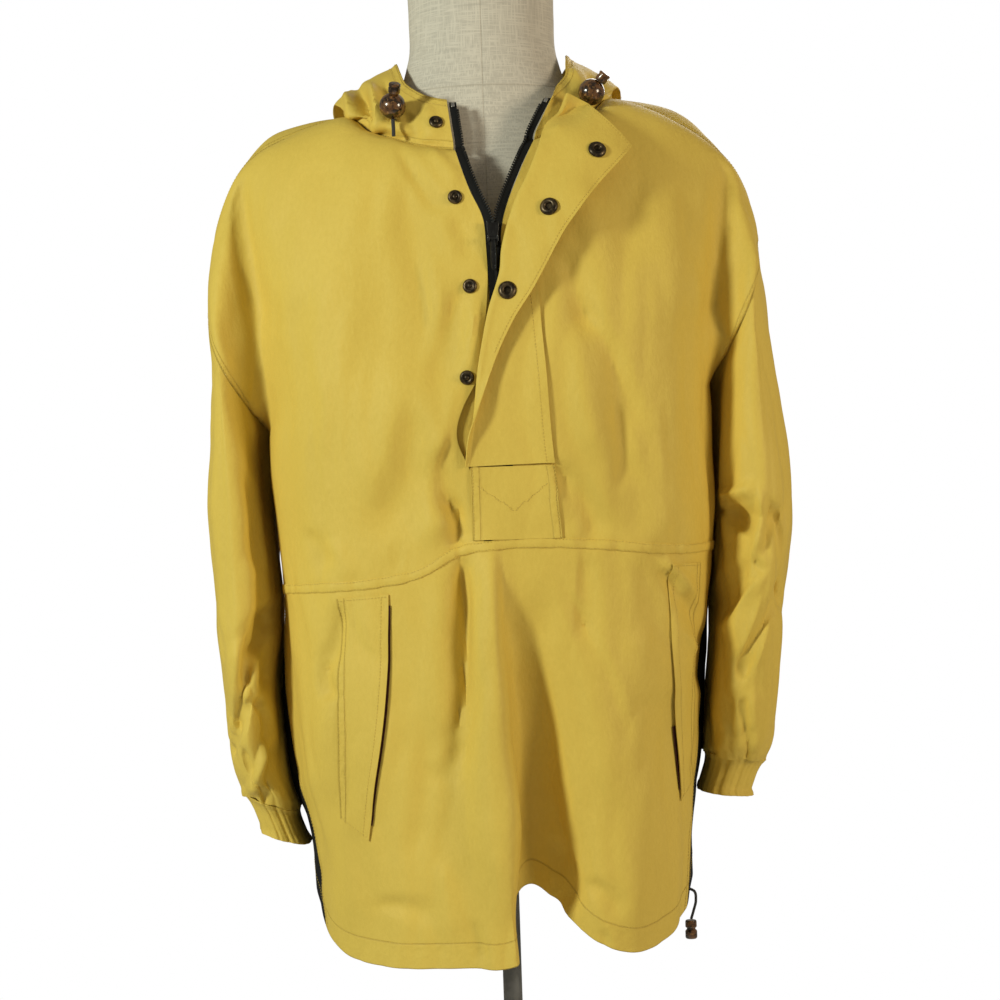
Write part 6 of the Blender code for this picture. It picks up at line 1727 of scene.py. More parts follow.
def scratched(name, colour, deep, roughness, metallic, scale=240.0, coat=0.0):
    """Metal or plastic with fine scratches and blotches, darker in its hollows and on flat faces than on convex
    edges: wear and patina on the brass, painted shade on the other finishes.
    """
    made, tree, shader = blank(name, roughness, metallic)
    place = object_place(tree)
    blotch = noise(tree, place, scale, 4.0, 0.6)
    scratch = noise(tree, stretched(tree, place, (1.0, 1.0, 0.12)), scale * 9, 1.0, 0.5)
    point = node(tree, "ShaderNodeNewGeometry").outputs["Pointiness"]
    raised = mapped(tree, point, 0.47, 0.56)
    base = mix_colour(tree, "MIX", mapped(tree, blotch, 0.35, 0.70), rgb(deep), rgb(colour))
    # darker in hollows and on flat faces than on convex edges: patina on the brass, painted shade on the other
    # finishes
    base = mix_colour(tree, "MULTIPLY", times(tree, minus(tree, 1.0, raised), 0.5), base, rgb(deep))
    tree.links.new(base, shader.inputs["Base Color"])
    tree.links.new(mapped(tree, scratch, 0.3, 0.7, max(roughness - 0.07, 0.03), roughness + 0.10),
                   shader.inputs["Roughness"])
    shader.inputs["Coat Weight"].default_value = coat
    bumped(tree, shader, ((blotch, 0.0001, 0.25), (scratch, 0.00003, 0.4)))
    return made


def black_metal():
    return scratched("black lacquered metal", (0.020, 0.020, 0.020), (0.008, 0.008, 0.008), 0.34, 0.5, coat=0.3)


def bright_metal():
    return scratched("bright nickel", (0.74, 0.74, 0.72), (0.45, 0.45, 0.44), 0.24, 1.0)


def antique_brass():
    return scratched("antique brass", (0.155, 0.110, 0.060), (0.030, 0.023, 0.017), 0.40, 0.85)


def grey_steel():
    return scratched("grey painted steel", (0.235, 0.235, 0.230), (0.165, 0.165, 0.160), 0.40, 0.55, 60.0)


def zip_teeth():
    return scratched("black nylon teeth", (0.020, 0.020, 0.020), (0.010, 0.010, 0.010), 0.42, 0.0)


def tortoiseshell():
    """Mottled brown plastic under a gloss."""
    made, tree, shader = blank("tortoiseshell plastic", 0.20)
    place = object_place(tree)
    cloud = noise(tree, place, 170.0, 3.0, 0.6)
    fleck = noise(tree, place, 420.0, 2.0, 0.5)
    base = mix_colour(tree, "MIX", mapped(tree, cloud, 0.42, 0.60), (0.016, 0.007, 0.003, 1.0),
                      (0.130, 0.055, 0.017, 1.0))
    base = mix_colour(tree, "MIX", mapped(tree, fleck, 0.56, 0.70, 0.0, 0.6), base, (0.36, 0.18, 0.05, 1.0))
    tree.links.new(base, shader.inputs["Base Color"])
    tree.links.new(mapped(tree, fleck, 0.3, 0.7, 0.14, 0.28), shader.inputs["Roughness"])
    shader.inputs["Coat Weight"].default_value = 0.6
    shader.inputs["Coat Roughness"].default_value = 0.08
    bumped(tree, shader, ((cloud, 0.0002, 0.15),))
    return made


def braid():
    """Black braided cord."""
    made, tree, shader = blank("black braided cord", 0.70)
    place = object_place(tree)
    plaits = [node(tree, "ShaderNodeTexWave", (("bands_direction", "DIAGONAL"),),
                   Vector=stretched(tree, place, (way, way, 1.0)), Scale=260.0,
                   Distortion=0.4).outputs["Fac"] for way in (1.0, -1.0)]
    height = larger(tree, *plaits)
    # darker between the plaits and lighter on their tops: painted shade
    tree.links.new(mix_colour(tree, "MIX", height, (0.006, 0.006, 0.006, 1.0), (0.024, 0.023, 0.022, 1.0)),
                   shader.inputs["Base Color"])
    shader.inputs["Sheen Weight"].default_value = 0.2
    bumped(tree, shader, ((height, 0.0003, 0.7),))
    return made


def linen():
    """Natural linen with slubs, and the seams of the dress form's cover."""
    sizes = bpy.context.scene.anorak_stand
    made, tree, shader = blank("natural linen", 0.86)
    place = object_place(tree)
    apart = node(tree, "ShaderNodeSeparateXYZ", (), Vector=place)
    weft = noise(tree, stretched(tree, place, (0.06, 0.06, 1.0)), 900.0, 2.0, 0.5)
    warp = noise(tree, stretched(tree, place, (1.0, 1.0, 0.05)), 900.0, 2.0, 0.5)
    slub = noise(tree, stretched(tree, place, (0.10, 0.10, 1.0)), 260.0, 3.0, 0.6)
    threads = larger(tree, weft, warp)
    front = mapped(tree, math_node(tree, "ABSOLUTE", apart.outputs[0]), 0.090, 0.092)
    grooves = times(tree, line_at(tree, apart.outputs[0], FORM_SHIFT, 0.0010), minus(tree, 1.0, front))
    for axis, at, wide, deep in ((1, FORM_BACK, 0.0010, 1.0), (2, sizes.neck_seam, 0.0013, 1.0),
                                 (2, 1.280, 0.0010, 0.5)):
        grooves = larger(tree, grooves, times(tree, line_at(tree, apart.outputs[axis], at, wide), deep))
    base = mix_colour(tree, "MIX", mapped(tree, threads, 0.42, 0.66), rgb([c * 0.80 for c in sizes.linen]),
                      rgb(sizes.linen))
    base = mix_colour(tree, "MIX", mapped(tree, slub, 0.60, 0.78, 0.0, 0.5), base,
                      rgb([c * 0.62 for c in sizes.linen]))
    # darker in the cover's seam grooves, which the bump presses in: painted shade
    base = mix_colour(tree, "MULTIPLY", times(tree, grooves, 0.30), base, (0.50, 0.45, 0.38, 1.0))
    tree.links.new(base, shader.inputs["Base Color"])
    shader.inputs["Sheen Weight"].default_value = 0.15
    shader.inputs["Specular IOR Level"].default_value = 0.25
    bumped(tree, shader, ((threads, 0.0004, 0.5), (slub, 0.0005, 0.4),
                          (minus(tree, 1.0, grooves), 0.0007, 0.45)))
    return made


MADE = {}


def finish(make):
    """A finish, made once."""
    if make.__name__ not in MADE:
        MADE[make.__name__] = make()
    return MADE[make.__name__]


FINISHES = {"yellow_cloth": lambda: finish(yellow_cloth), "black_cloth": lambda: finish(black_cloth)}


# ---------------------------------------------------------------- hard pieces
def solid(name, skin, finish_made, nodes=(), body=ROOT, smooth=40, bevel=0.0):
    """Turns a bmesh into a piece, its edges rounded."""
    if bevel:
        sharp = [edge for edge in skin.edges if len(edge.link_faces) == 2 and edge.calc_face_angle() > 0.6]
        bmesh.ops.bevel(skin, geom=sharp, offset=bevel, segments=3, profile=0.6, affect="EDGES",
                        clamp_overlap=True)
    mesh = bpy.data.meshes.new(name)
    skin.to_mesh(mesh)
    skin.free()
    mesh.shade_smooth()
    mesh.set_sharp_from_angle(angle=math.radians(smooth))
    return settle(name, mesh, finish_made, nodes, body)


def box_into(skin, centre, size, frame_matrix=None):
    place = Matrix.Translation(centre)
    if frame_matrix is not None:
        place = place @ frame_matrix
    return bmesh.ops.create_cube(skin, size=1.0, matrix=place @ Matrix.Diagonal((*size, 1)))["verts"]


def edge_frame(sheet, row, side):
    """Directions across, up and out at the inner edge of a zip tape's row."""
    up = Vector(sheet[min(row + 1, len(sheet) - 1), -1] - sheet[max(row - 1, 0), -1]).normalized()
    across = Vector(side * (sheet[row, 0] - sheet[row, -1])).normalized()
    out = across.cross(up).normalized()
    if out.y > 0:
        out = -out
    across = up.cross(out)
    return across, up, out


def teeth(side, sheet):
    """Row of zip teeth along the inner edge of a tape; they mesh below the slider."""
    sizes = bpy.context.scene.anorak_trims
    run = travelled(sheet[:, -1])
    skin = bmesh.new()
    shift = sizes.tooth_pitch / 2 if side > 0 else 0.0
    for along in np.arange(0.002 + shift, run[-1] - 0.008, sizes.tooth_pitch):
        row = int(np.searchsorted(run, along))
        centre = Vector([float(np.interp(along, run, sheet[:, -1, axis])) for axis in range(3)])
        across, up, out = edge_frame(sheet, row, side)
        turn = Matrix((across, up, out)).transposed().to_4x4()
        centre = centre + out * 0.0006 - across * side * 0.0002
        verts = box_into(skin, centre, (0.0026, sizes.tooth_pitch * 0.52, 0.0015), turn)
        for vert in verts:
            if (vert.co - centre).dot(out) > 0:
                vert.co = centre + (vert.co - centre) * 0.80 + out * 0.00012
    return solid("zip_teeth_left" if side > 0 else "zip_teeth_right", skin, finish(zip_teeth),
                 smooth=30)


def top_stop(side, sheet):
    """Bright stop clamped on the top end of a zip tape."""
    across, up, out = edge_frame(sheet, len(sheet) - 1, side)
    middle = Vector((sheet[-1, 0] + sheet[-1, -1]) / 2) + out * 0.0011 - up * 0.0040
    turn = Matrix((across, up, out)).transposed().to_4x4()
    skin = bmesh.new()
    box_into(skin, middle, (0.0030, 0.0048, 0.0018), turn)
    name = "left" if side > 0 else "right"
    return solid(f"top_stop_{name}", skin, finish(bright_metal), f"zip_stop_{name}", bevel=0.0005)


def slider_piece():
    """Zip slider: two plates that narrow downwards, a waist between them, and the bridge."""
    low, high = (Vector(corner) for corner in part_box("zip_slider"))
    face = low.y + LUG_REACH
    middle = (low + high) / 2
    half = (high.x - low.x) / 2
    skin = bmesh.new()
    outline = ((-0.98, 1.0), (-0.55, 0.93), (0.0, 0.86), (0.55, 0.93), (0.98, 1.0), (1.0, 0.45), (0.80, -0.30),
               (0.72, -1.0), (-0.72, -1.0), (-0.80, -0.30), (-1.0, 0.45))
    for near, thick in ((face, 0.0010), (high.y - 0.0008, 0.0008)):
        rings = [[skin.verts.new((middle.x + u * half, near + depth, middle.z + v * 0.0100)) for u, v in outline]
                 for depth in (0.0, thick)]
        skin.faces.new(rings[0])
        skin.faces.new(rings[1][::-1])
        for i in range(len(outline)):
            n = (i + 1) % len(outline)
            skin.faces.new((rings[0][n], rings[0][i], rings[1][i], rings[1][n]))
    box_into(skin, (middle.x, (face + high.y) / 2, middle.z + 0.0035), (half * 0.5, high.y - face - 0.0004, 0.0105))
    for side in (-1, 1):
        x = SLIDER_X + side * (TAB_PIN / 2 + 0.0003 + LUG / 2)
        box_into(skin, (x, face - LUG_REACH / 2 + 0.0004, TAB_Z), (LUG, LUG_REACH + 0.0006, 0.0050))
    bmesh.ops.recalc_face_normals(skin, faces=skin.faces)
    return solid("zip_slider_body", skin, finish(black_metal), "zip_slider", bevel=0.00035)


LUG = 0.0014
LUG_REACH = 0.0036
TAB_PIN = 0.0058
TAB_Z = 1.1900


def tab_piece():
    """Pull tab: a long plate with a rounded slot and a raised rim, hanging on its pin."""
    low, high = (Vector(corner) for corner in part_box("zip_pull_tab"))
    axis_y = (low.y + high.y) / 2
    top = high.z - 0.0011
    half = (high.x - low.x) / 2 - 0.0002
    long = top - low.z
    skin = bmesh.new()
    steps = 40

    def loop(grow, depth):
        points = []
        for i in range(steps):
            angle = 2 * math.pi * i / steps
            u, v = math.cos(angle), math.sin(angle)
            reach = 1.0 / max(abs(u) ** 3.2 + abs(v) ** 3.2, 1e-6) ** (1 / 3.2)
            across = u * reach * (half + grow) * (0.82 + 0.18 * min(1.0, 0.9 - v * reach * 0.8))
            points.append(skin.verts.new((SLIDER_X + across, axis_y + depth,
                                          top - long / 2 + v * reach * (long / 2 + grow))))
        return points

    front, back = -0.0009, 0.0009
    inset = -half * 0.42
    loops = [loop(-0.0003, front), loop(0.0, front * 0.6), loop(0.0, back * 0.6), loop(-0.0003, back),
             loop(inset, back), loop(inset - 0.0003, back * 0.45), loop(inset - 0.0003, front * 0.45),
             loop(inset, front)]
    for first, second in zip(loops, loops[1:] + loops[:1]):
        for i in range(steps):
            n = (i + 1) % steps
            skin.faces.new((first[i], first[n], second[n], second[i]))
    web = [skin.verts.new(v.co) for v in loops[5]], [skin.verts.new(v.co) for v in loops[6]]
    skin.faces.new(web[0])
    skin.faces.new(web[1][::-1])
    for i in range(steps):
        n = (i + 1) % steps
        skin.faces.new((web[0][i], web[0][n], web[1][n], web[1][i]))
    bmesh.ops.create_cone(skin, cap_ends=True, segments=24, radius1=0.0011, radius2=0.0011, depth=TAB_PIN,
                          matrix=Matrix.Translation((SLIDER_X, axis_y, TAB_Z)) @ Matrix.Rotation(math.pi / 2, 4, "Y"))
    bmesh.ops.recalc_face_normals(skin, faces=skin.faces)
    return solid("pull_tab_plate", skin, finish(black_metal), "zip_pull_tab", TAB)


CORD_RINGS = 24          # rings along a cord
CORD_STEPS = 16          # steps round it


def swept(name, route, radius, finish_made, nodes):
    """A round cord as a tube along a route of points, its ends closed."""
    route = np.asarray(route, dtype=float)
    lengths = travelled(route)
    path = through(lengths, route, np.linspace(0, lengths[-1], CORD_RINGS))
    points = []
    side = np.array([1.0, 0.0, 0.0])
    for i, place in enumerate(path):
        ahead = path[min(i + 1, CORD_RINGS - 1)] - path[max(i - 1, 0)]
        ahead = ahead / np.linalg.norm(ahead)
        side = side - ahead * (side @ ahead)
        side = side / np.linalg.norm(side)
        other = np.cross(ahead, side)
        for k in range(CORD_STEPS):
            angle = 2 * math.pi * k / CORD_STEPS
            points.append(place + radius * (side * math.cos(angle) + other * math.sin(angle)))
    mesh = outward_mesh(name, points, capped_tube(CORD_RINGS, CORD_STEPS), 50)
    piece = settle(name, mesh, finish_made, nodes)
    return piece, path


# ---------------------------------------------------------------- settings
class ClothSettings(bpy.types.PropertyGroup):
    colour: FloatVectorProperty(name="Shell", description="Colour of the yellow shell cloth", subtype="COLOR",
                                size=3, min=0.0, max=1.0, default=(0.730, 0.530, 0.100))
    shade: FloatVectorProperty(name="Shell, deep", description="Colour of its duller patches", subtype="COLOR",
                               size=3, min=0.0, max=1.0, default=(0.640, 0.455, 0.077))
    thickness: FloatProperty(name="Thickness", description="Thickness of the shell cloth", unit="LENGTH",
                             subtype="DISTANCE", min=0.0003, max=0.002, default=0.0009)
    fell: FloatProperty(name="Fell", description="Width of a double-stitched seam", unit="LENGTH",
                        subtype="DISTANCE", min=0.003, max=0.015, default=0.0078)
    hem_depth: FloatProperty(name="Hem", description="Height of the hem's stitches over its edge", unit="LENGTH",
                             subtype="DISTANCE", min=0.005, max=0.04, default=0.0215)


class TrimSettings(bpy.types.PropertyGroup):
    tooth_pitch: FloatProperty(name="Zip pitch", description="Distance from tooth to tooth of one tape",
                               unit="LENGTH", subtype="DISTANCE", min=0.001, max=0.005, default=0.0024)
    turns: IntProperty(name="Roundness", description="Steps round each turned fastener", min=12, max=96,
                       default=48)


class StandSettings(bpy.types.PropertyGroup):
    linen: FloatVectorProperty(name="Linen", description="Colour of the dress form's cover", subtype="COLOR",
                               size=3, min=0.0, max=1.0, default=(0.640, 0.590, 0.500))
    neck_seam: FloatProperty(name="Neck seam", description="Height of the seam round the neck's base",
                             unit="LENGTH", subtype="DISTANCE", min=1.2, max=1.4, default=1.3335)
    floor: FloatVectorProperty(name="Floor", description="Colour of the studio floor", subtype="COLOR", size=3,
                               min=0.0, max=1.0, default=(0.80, 0.80, 0.80))
    key: FloatProperty(name="Key light", description="Power of the main light in watts", min=0.0, max=500.0,
                       default=46.0)
    fill: FloatProperty(name="Fill light", description="Power of the fill light in watts", min=0.0, max=500.0,
                        default=28.0)


class ANORAK_OT_fronts(bpy.types.Operator):
    """Upper fronts and lower front"""

    bl_idname = "anorak.fronts"
    bl_label = "Fronts"

    def execute(self, context):
        for side, name in SIDES:
            cloth_piece(f"front_upper_{name}", upper_front_sheet(side), flip=side < 0, seams="r")
        cloth_piece("front_lower", lower_front_sheet(), seams="lr", hems="b")
        return {"FINISHED"}


class ANORAK_OT_back(bpy.types.Operator):
    """Back panel over the shoulders"""

    bl_idname = "anorak.back"
    bl_label = "Back"

    def execute(self, context):
        cloth_piece("back", back_sheet(), seams="lrt", hems="b")
        return {"FINISHED"}


class ANORAK_OT_side_panels(bpy.types.Operator):
    """Black side panels"""

    bl_idname = "anorak.side_panels"
    bl_label = "Side panels"

    def execute(self, context):
        for side, name in SIDES:
            cloth_piece(f"side_panel_{name}", side_panel_sheet(side), slot="black_cloth", hems="b")
        return {"FINISHED"}


class ANORAK_OT_sleeves(bpy.types.Operator):
    """Sleeves and elastic cuffs"""

    bl_idname = "anorak.sleeves"
    bl_label = "Sleeves"

    def execute(self, context):
        for side, name in SIDES:
            cloth_piece(f"sleeve_{name}", sleeve_sheet(side), closed=True, held="hung")
            cloth_piece(f"cuff_{name}", cuff_sheet(side), closed=True, held="gathered",
                        rests_on=f"sleeve_{name}_cloth")
        return {"FINISHED"}


class ANORAK_OT_hood(bpy.types.Operator):
    """Hood of three panels, laid back"""

    bl_idname = "anorak.hood"
    bl_label = "Hood"

    def execute(self, context):
        whole = hood_sheet()
        ways = np.interp(np.linspace(0, 1, HOOD_GRID[1]), np.linspace(0, 1, len(hood_ways())), hood_ways())[::-1]
        half = (0.5 - HOOD_CORNER) * 2 * HOOD_CENTRE
        first, last = (int(np.argmin(np.abs(ways - (0.5 + off)))) for off in (half, -half))
        for name, start, end in (("hood_left", 0, first), ("hood_centre", first, last),
                                 ("hood_right", last, HOOD_GRID[1] - 1)):
            cloth_piece(name, cut_back(whole[:, start:end + 1]), rests_on="back_cloth", seams="tb")
        return {"FINISHED"}


class ANORAK_OT_flap(bpy.types.Operator):
    """Storm flap folded back over the zip"""

    bl_idname = "anorak.flap"
    bl_label = "Storm flap"

    def execute(self, context):
        cloth_piece("storm_flap", flap_sheet(), held="folded", rests_on="front_upper_left_cloth")
        return {"FINISHED"}


class ANORAK_OT_bands(bpy.types.Operator):
    """Placket, waist band and pocket welts"""

    bl_idname = "anorak.bands"
    bl_label = "Bands and welts"

    def execute(self, context):
        cloth_piece("waist_band", band_sheet(), rests_on="front_lower_cloth", thick=0.0006)
        for side, name in SIDES:
            cloth_piece(f"pocket_welt_{name}", welt_sheet(side), flip=side > 0,
                        rests_on="front_lower_cloth", seams="l")
            cloth_piece(f"pocket_mouth_{name}", mouth_sheet(side), (), flip=side > 0, slot="black_cloth",
                        rests_on="front_lower_cloth", thick=0.0005)
        left, right, low, high = PLACKET_BOX
        rows = [[(x, z) for x in np.linspace(left, right + (high - z) * PLACKET_FLARE, 30)]
                for z in np.linspace(low, high, 26)]
        cloth_piece("placket_base", laid(rows, BAND_CLEAR + 0.0006), rests_on="front_upper_right_cloth",
                    seams="lr")
        left, right, low, high = FACING_BOX
        rows = [[(x, z) for x in np.linspace(left, right, 22)] for z in np.linspace(low, high, 60)]
        cloth_piece("placket_facing", laid(rows, -WALL - 0.0022))
        return {"FINISHED"}


class ANORAK_OT_zip(bpy.types.Operator):
    """Zip tapes, teeth, stops, slider and pull tab"""

    bl_idname = "anorak.zip"
    bl_label = "Zip"

    def execute(self, context):
        for side, name in SIDES:
            sheet = tape_sheet(side)
            cloth_piece(f"zip_tape_{name}", sheet, flip=side > 0, slot="black_cloth",
                        held="hung", rests_on=f"front_upper_{name}_cloth", thick=0.0006)
            teeth(side, sheet)
            top_stop(side, sheet)
        slider_piece()
        tab_piece()
        return {"FINISHED"}


class ANORAK_OT_snaps(bpy.types.Operator):
    """Press studs on the front and their sockets on the flap"""

    bl_idname = "anorak.snaps"
    bl_label = "Press studs"

    def execute(self, context):
        turns = context.scene.anorak_trims.turns
        front = Worn.ready().creased
        r = STUD_RADIUS
        cap = ((0.0, 0.0034), (r * 0.14, 0.0033), (r * 0.26, 0.0030), (r * 0.33, 0.0024), (r * 0.36, 0.0019),
               (r * 0.46, 0.0019), (r * 0.56, 0.0024), (r * 0.70, 0.0026), (r * 0.86, 0.0021), (r * 0.97, 0.0012),
               (r, 0.0004), (r * 0.98, 0.0), (0.0, 0.0))
        for index, (x, z) in enumerate(STUDS):
            centre, normal = front.at(x, z, 0.0002)
            turned(f"press_stud_{index + 1}", cap, centre, normal, finish(antique_brass), "antique_brass",
                   f"stud_{index + 1}", steps=turns)
        flap = Front([SHEETS["storm_flap"][0][:, FLAP_FACE:]])
        r = SOCKET_RADIUS
        cup = ((0.0, 0.0008), (r * 0.30, 0.0008), (r * 0.34, 0.0012), (r * 0.37, 0.0022), (r * 0.46, 0.0028),
               (r * 0.60, 0.0031), (r * 0.76, 0.0028), (r * 0.92, 0.0019), (r, 0.0008), (r * 0.99, 0.0),
               (0.0, 0.0))
        for index, (x, z) in enumerate(SOCKETS):
            centre, normal = flap.at(x, z, 0.0001)
            turned(f"press_socket_{index + 1}", cup, centre, normal, finish(antique_brass), "antique_brass",
                   f"socket_{index + 1}", steps=turns)
        return {"FINISHED"}


BALL_SWELL = 1.18       # the drawn balls are this much larger than their solids


def ball_profile(radius, bore):
    """Profile of a ball with a flat at each end where the cord goes in."""
    end = math.asin(bore / radius)
    sweep = np.linspace(end, math.pi - end, 22)
    top = radius * math.cos(end)
    profile = [(0.0, top - 0.0012), (bore * 0.8, top - 0.0012)]
    profile += [(radius * math.sin(a), radius * math.cos(a)) for a in sweep]
    return profile + [(bore * 0.8, -top + 0.0012), (0.0, -top + 0.0012)]


class ANORAK_OT_locks(bpy.types.Operator):
    """Cord locks, their plungers and the drawcord ends"""

    bl_idname = "anorak.locks"
    bl_label = "Locks and cords"

    def execute(self, context):
        turns = context.scene.anorak_trims.turns
        shell_finish = finish(tortoiseshell)
        front = Worn.ready().smooth
        plunger = ((0.0, 0.0086), (0.0016, 0.0086), (0.0018, 0.0090), (0.0042, 0.0090), (0.0050, 0.0084),
                   (0.0052, 0.0075), (0.0052, 0.0064), (0.0047, 0.0060), (0.0047, 0.0052), (0.0052, 0.0048),
                   (0.0052, 0.0012), (0.0047, 0.0), (0.0, 0.0))
        for side, name in SIDES:
            ball = LOCK_RADIUS * BALL_SWELL
            centre, _normal = front.at(*LOCK_PLACE[side], ball - BALL_SINK)
            lean = Vector(LOCK_LEAN[side]).normalized()
            turned(f"lock_ball_{name}", ball_profile(ball, 0.0030), centre, (0, 0, 1), shell_finish,
                   "tortoiseshell", f"hood_lock_{name}", steps=turns, smooth=30)
            start = Vector(centre) + lean * (ball + 0.0001)
            turned(f"lock_plunger_{name}", plunger, start, lean, shell_finish, "tortoiseshell",
                   f"hood_plunger_{name}", steps=turns, smooth=30)
            if side < 0:
                drop = centre + np.array(((0.0, -0.0020, -ball - 0.0004), (0.0003, -0.0032, -ball - 0.008),
                                          (0.0003, -0.0036, -ball - 0.015)))
                swept("hood_drawcord", drop, HOOD_CORD / 2, finish(braid), "hood_cord")
        eyelet = float(hem(HEM_CORD_ANGLE)) + EYELET_RISE

        def by_eyelet(turn=0.0, rise=0.0):
            return body_point(np.array(HEM_CORD_ANGLE + turn), np.array(eyelet + rise))

        out = unit(np.cross(by_eyelet(turn=0.4) - by_eyelet(turn=-0.4),
                            by_eyelet(rise=0.002) - by_eyelet(rise=-0.002)))
        route = [by_eyelet() + out * away + np.array(shift) for away, shift in (
            (0.0007, (0, 0, 0)), (0.0050, (0, 0, -0.002)), (0.0062, (0, 0, -0.010)),
            (0.0045, (-0.0006, 0, -0.019)), (0.0030, (-0.0015, 0, -0.0265)))]
        cord, path = swept("hem_drawcord", route, HEM_CORD / 2, finish(braid), "hem_cord")
        top = route[-1] + np.array([-0.0003, 0.0, -0.0009])
        barrel = ((0.0, 0.0), (0.0042, 0.0), (0.0048, -0.0006), (0.0050, -0.0016), (0.0050, -0.0056),
                  (0.0045, -0.0064), (0.0038, -0.0067), (0.0038, -0.0081), (0.0046, -0.0086), (0.0052, -0.0096),
                  (0.0052, -0.0146), (0.0047, -0.0158), (0.0040, -0.0162), (0.0, -0.0162))
        lock = turned("hem_cord_lock", barrel, top, (0, 0, 1), shell_finish, "tortoiseshell", "hem_lock",
                      steps=turns, smooth=30)
        return {"FINISHED"}


class ANORAK_OT_sewing(bpy.types.Operator):
    """Topstitching of the seams, hems, flap, bands and welts"""

    bl_idname = "anorak.sewing"
    bl_label = "Sewing"

    def execute(self, context):
        sizes = context.scene.anorak_cloth
        inner, outer = 0.0016, sizes.fell - 0.0006
        body = Sewing(5)
        yoke_start = FRONT_ROWS[0] / sum(FRONT_ROWS)
        twice = (inner, outer)
        seams = [(f"front_upper_{name}", "r", inset, yoke_start) for name in ("right", "left") for inset in twice]
        seams += [("back", side, inset) for side in "lr" for inset in twice]
        seams += [("back", "t", inset, *part) for inset in twice for part in ((0.0, 0.32), (0.68, 1.0))]
        seams += [("front_lower", side, inset) for inset in twice for side in "lr"]
        seams += [(name, "b", sizes.hem_depth)
                  for name in ("front_lower", "back", "side_panel_right", "side_panel_left")]
        for seam in seams:
            body.side(*seam)
        body.done("stitches_body", finish(thread))
        small = Sewing(9)
        for name in ("right", "centre", "left"):
            for side, inset in (("t", inner), ("t", outer), ("b", inner)):
                small.side(f"hood_{name}", side, inset)
        for side in "lr":
            small.side("hood_centre", side, inner)
        small.side("storm_flap", "r", 0.0026, 0.27)
        small.side("storm_flap", "t", 0.0026, 0.66)
        small.side("storm_flap", "l", 0.0068, 0.0, 0.42, under=sizes.thickness)
        for side in "bt":
            small.side("waist_band", side, 0.0012)
        for name in ("right", "left"):
            for side, inset in (("l", 0.0016), ("l", 0.0072), ("r", 0.0062), ("b", 0.0020), ("t", 0.0020)):
                small.side(f"pocket_welt_{name}", side, inset)
        for side in "lr":
            small.side("placket_base", side, 0.0020)
        sheet = SHEETS["placket_base"][0]
        normals = grid_normals(sheet)
        rows, columns = sheet.shape[:2]
        low, high = 0.42, 0.76
        route = [(0.10 + 0.80 * t, high - (high - low) * (1 - abs(2 * t - 1))) for t in np.linspace(0, 1, 41)]
        picked = [(int(v * (rows - 1)), int(u * (columns - 1))) for u, v in route]
        small.line(np.array([sheet[p] for p in picked]), np.array([normals[p] for p in picked]))
        small.done("stitches_details", finish(thread))
        return {"FINISHED"}


class ANORAK_OT_form(bpy.types.Operator):
    """Linen dress form"""

    bl_idname = "anorak.form"
    bl_label = "Dress form"

    def execute(self, context):
        heights = np.array([row[0] for row in FORM])
        levels = np.linspace(heights[0], heights[-1], 130)
        turns = np.arange(120) * 3.0
        rings = []
        for level in levels:
            size = {name: float(through(heights, column(FORM, FORM_COLUMNS, name), level))
                    for name in FORM_COLUMNS[1:]}
            sine, cosine = rounded(turns, size["power"])
            x = FORM_SHIFT + size["half"] * sine
            y = FORM_BACK - np.where(cosine > 0, size["front"], size["back"]) * cosine
            rings.append(np.stack([x, y, np.full(x.shape, level + FORM_LIFT)], axis=-1))
        points = [p for ring_points in rings for p in ring_points]
        mesh = outward_mesh("dress_form", points, capped_tube(len(rings), len(turns)), 60)
        settle("dress_form", mesh, finish(linen), "form_torso")
        top = heights[-1] + FORM_LIFT + 0.0003
        cap = ((0.0, 0.013), (0.010, 0.0129), (0.022, 0.0124), (0.035, 0.0115), (0.047, 0.0100), (0.056, 0.0078),
               (0.0615, 0.0048), (0.0635, 0.0020), (0.0635, 0.0), (0.0, 0.0))
        turned("neck_cap", cap, (FORM_SHIFT, FORM_BACK, top), (0, 0, 1), finish(linen), "linen", "form_neck_cap",
               steps=96, smooth=50)
        return {"FINISHED"}


class ANORAK_OT_stand(bpy.types.Operator):
    """Steel pole and round base"""

    bl_idname = "anorak.stand"
    bl_label = "Stand"

    def execute(self, context):
        low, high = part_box("stand_pole")
        pole = ((0.0, high[2]), (POLE_RADIUS, high[2]), (POLE_RADIUS, low[2]), (0.0, low[2]))
        turned("pole", pole, (0, 0, 0), (0, 0, 1), finish(grey_steel), "grey_steel", "stand_pole", steps=64)
        inner = POLE_RADIUS + 0.0003
        plate = ((0.0, BASE_THICK), (inner, BASE_THICK), (inner, 0.036), (0.0138, 0.036), (0.0152, 0.0352),
                 (0.0160, 0.0340), (0.0164, 0.0200), (0.0170, 0.0140), (0.0182, 0.0115), (0.0210, BASE_THICK),
                 (BASE_RADIUS - 0.006, BASE_THICK - 0.0006), (BASE_RADIUS - 0.003, BASE_THICK - 0.0015),
                 (BASE_RADIUS - 0.0008, BASE_THICK - 0.0035), (BASE_RADIUS, BASE_THICK - 0.006),
                 (BASE_RADIUS, 0.001), (BASE_RADIUS - 0.001, 0.0), (0.0, 0.0))
        turned("base", plate, (0, 0, 0), (0, 0, 1), finish(grey_steel), "grey_steel", "stand_base", steps=128)
        return {"FINISHED"}


CAMERA_AT = (PLAN_AT[0], -EYE_AWAY, PLAN_AT[1])
SENSOR = 36.0
VIEW = 0.84              # width of the view at the garment's front, metres


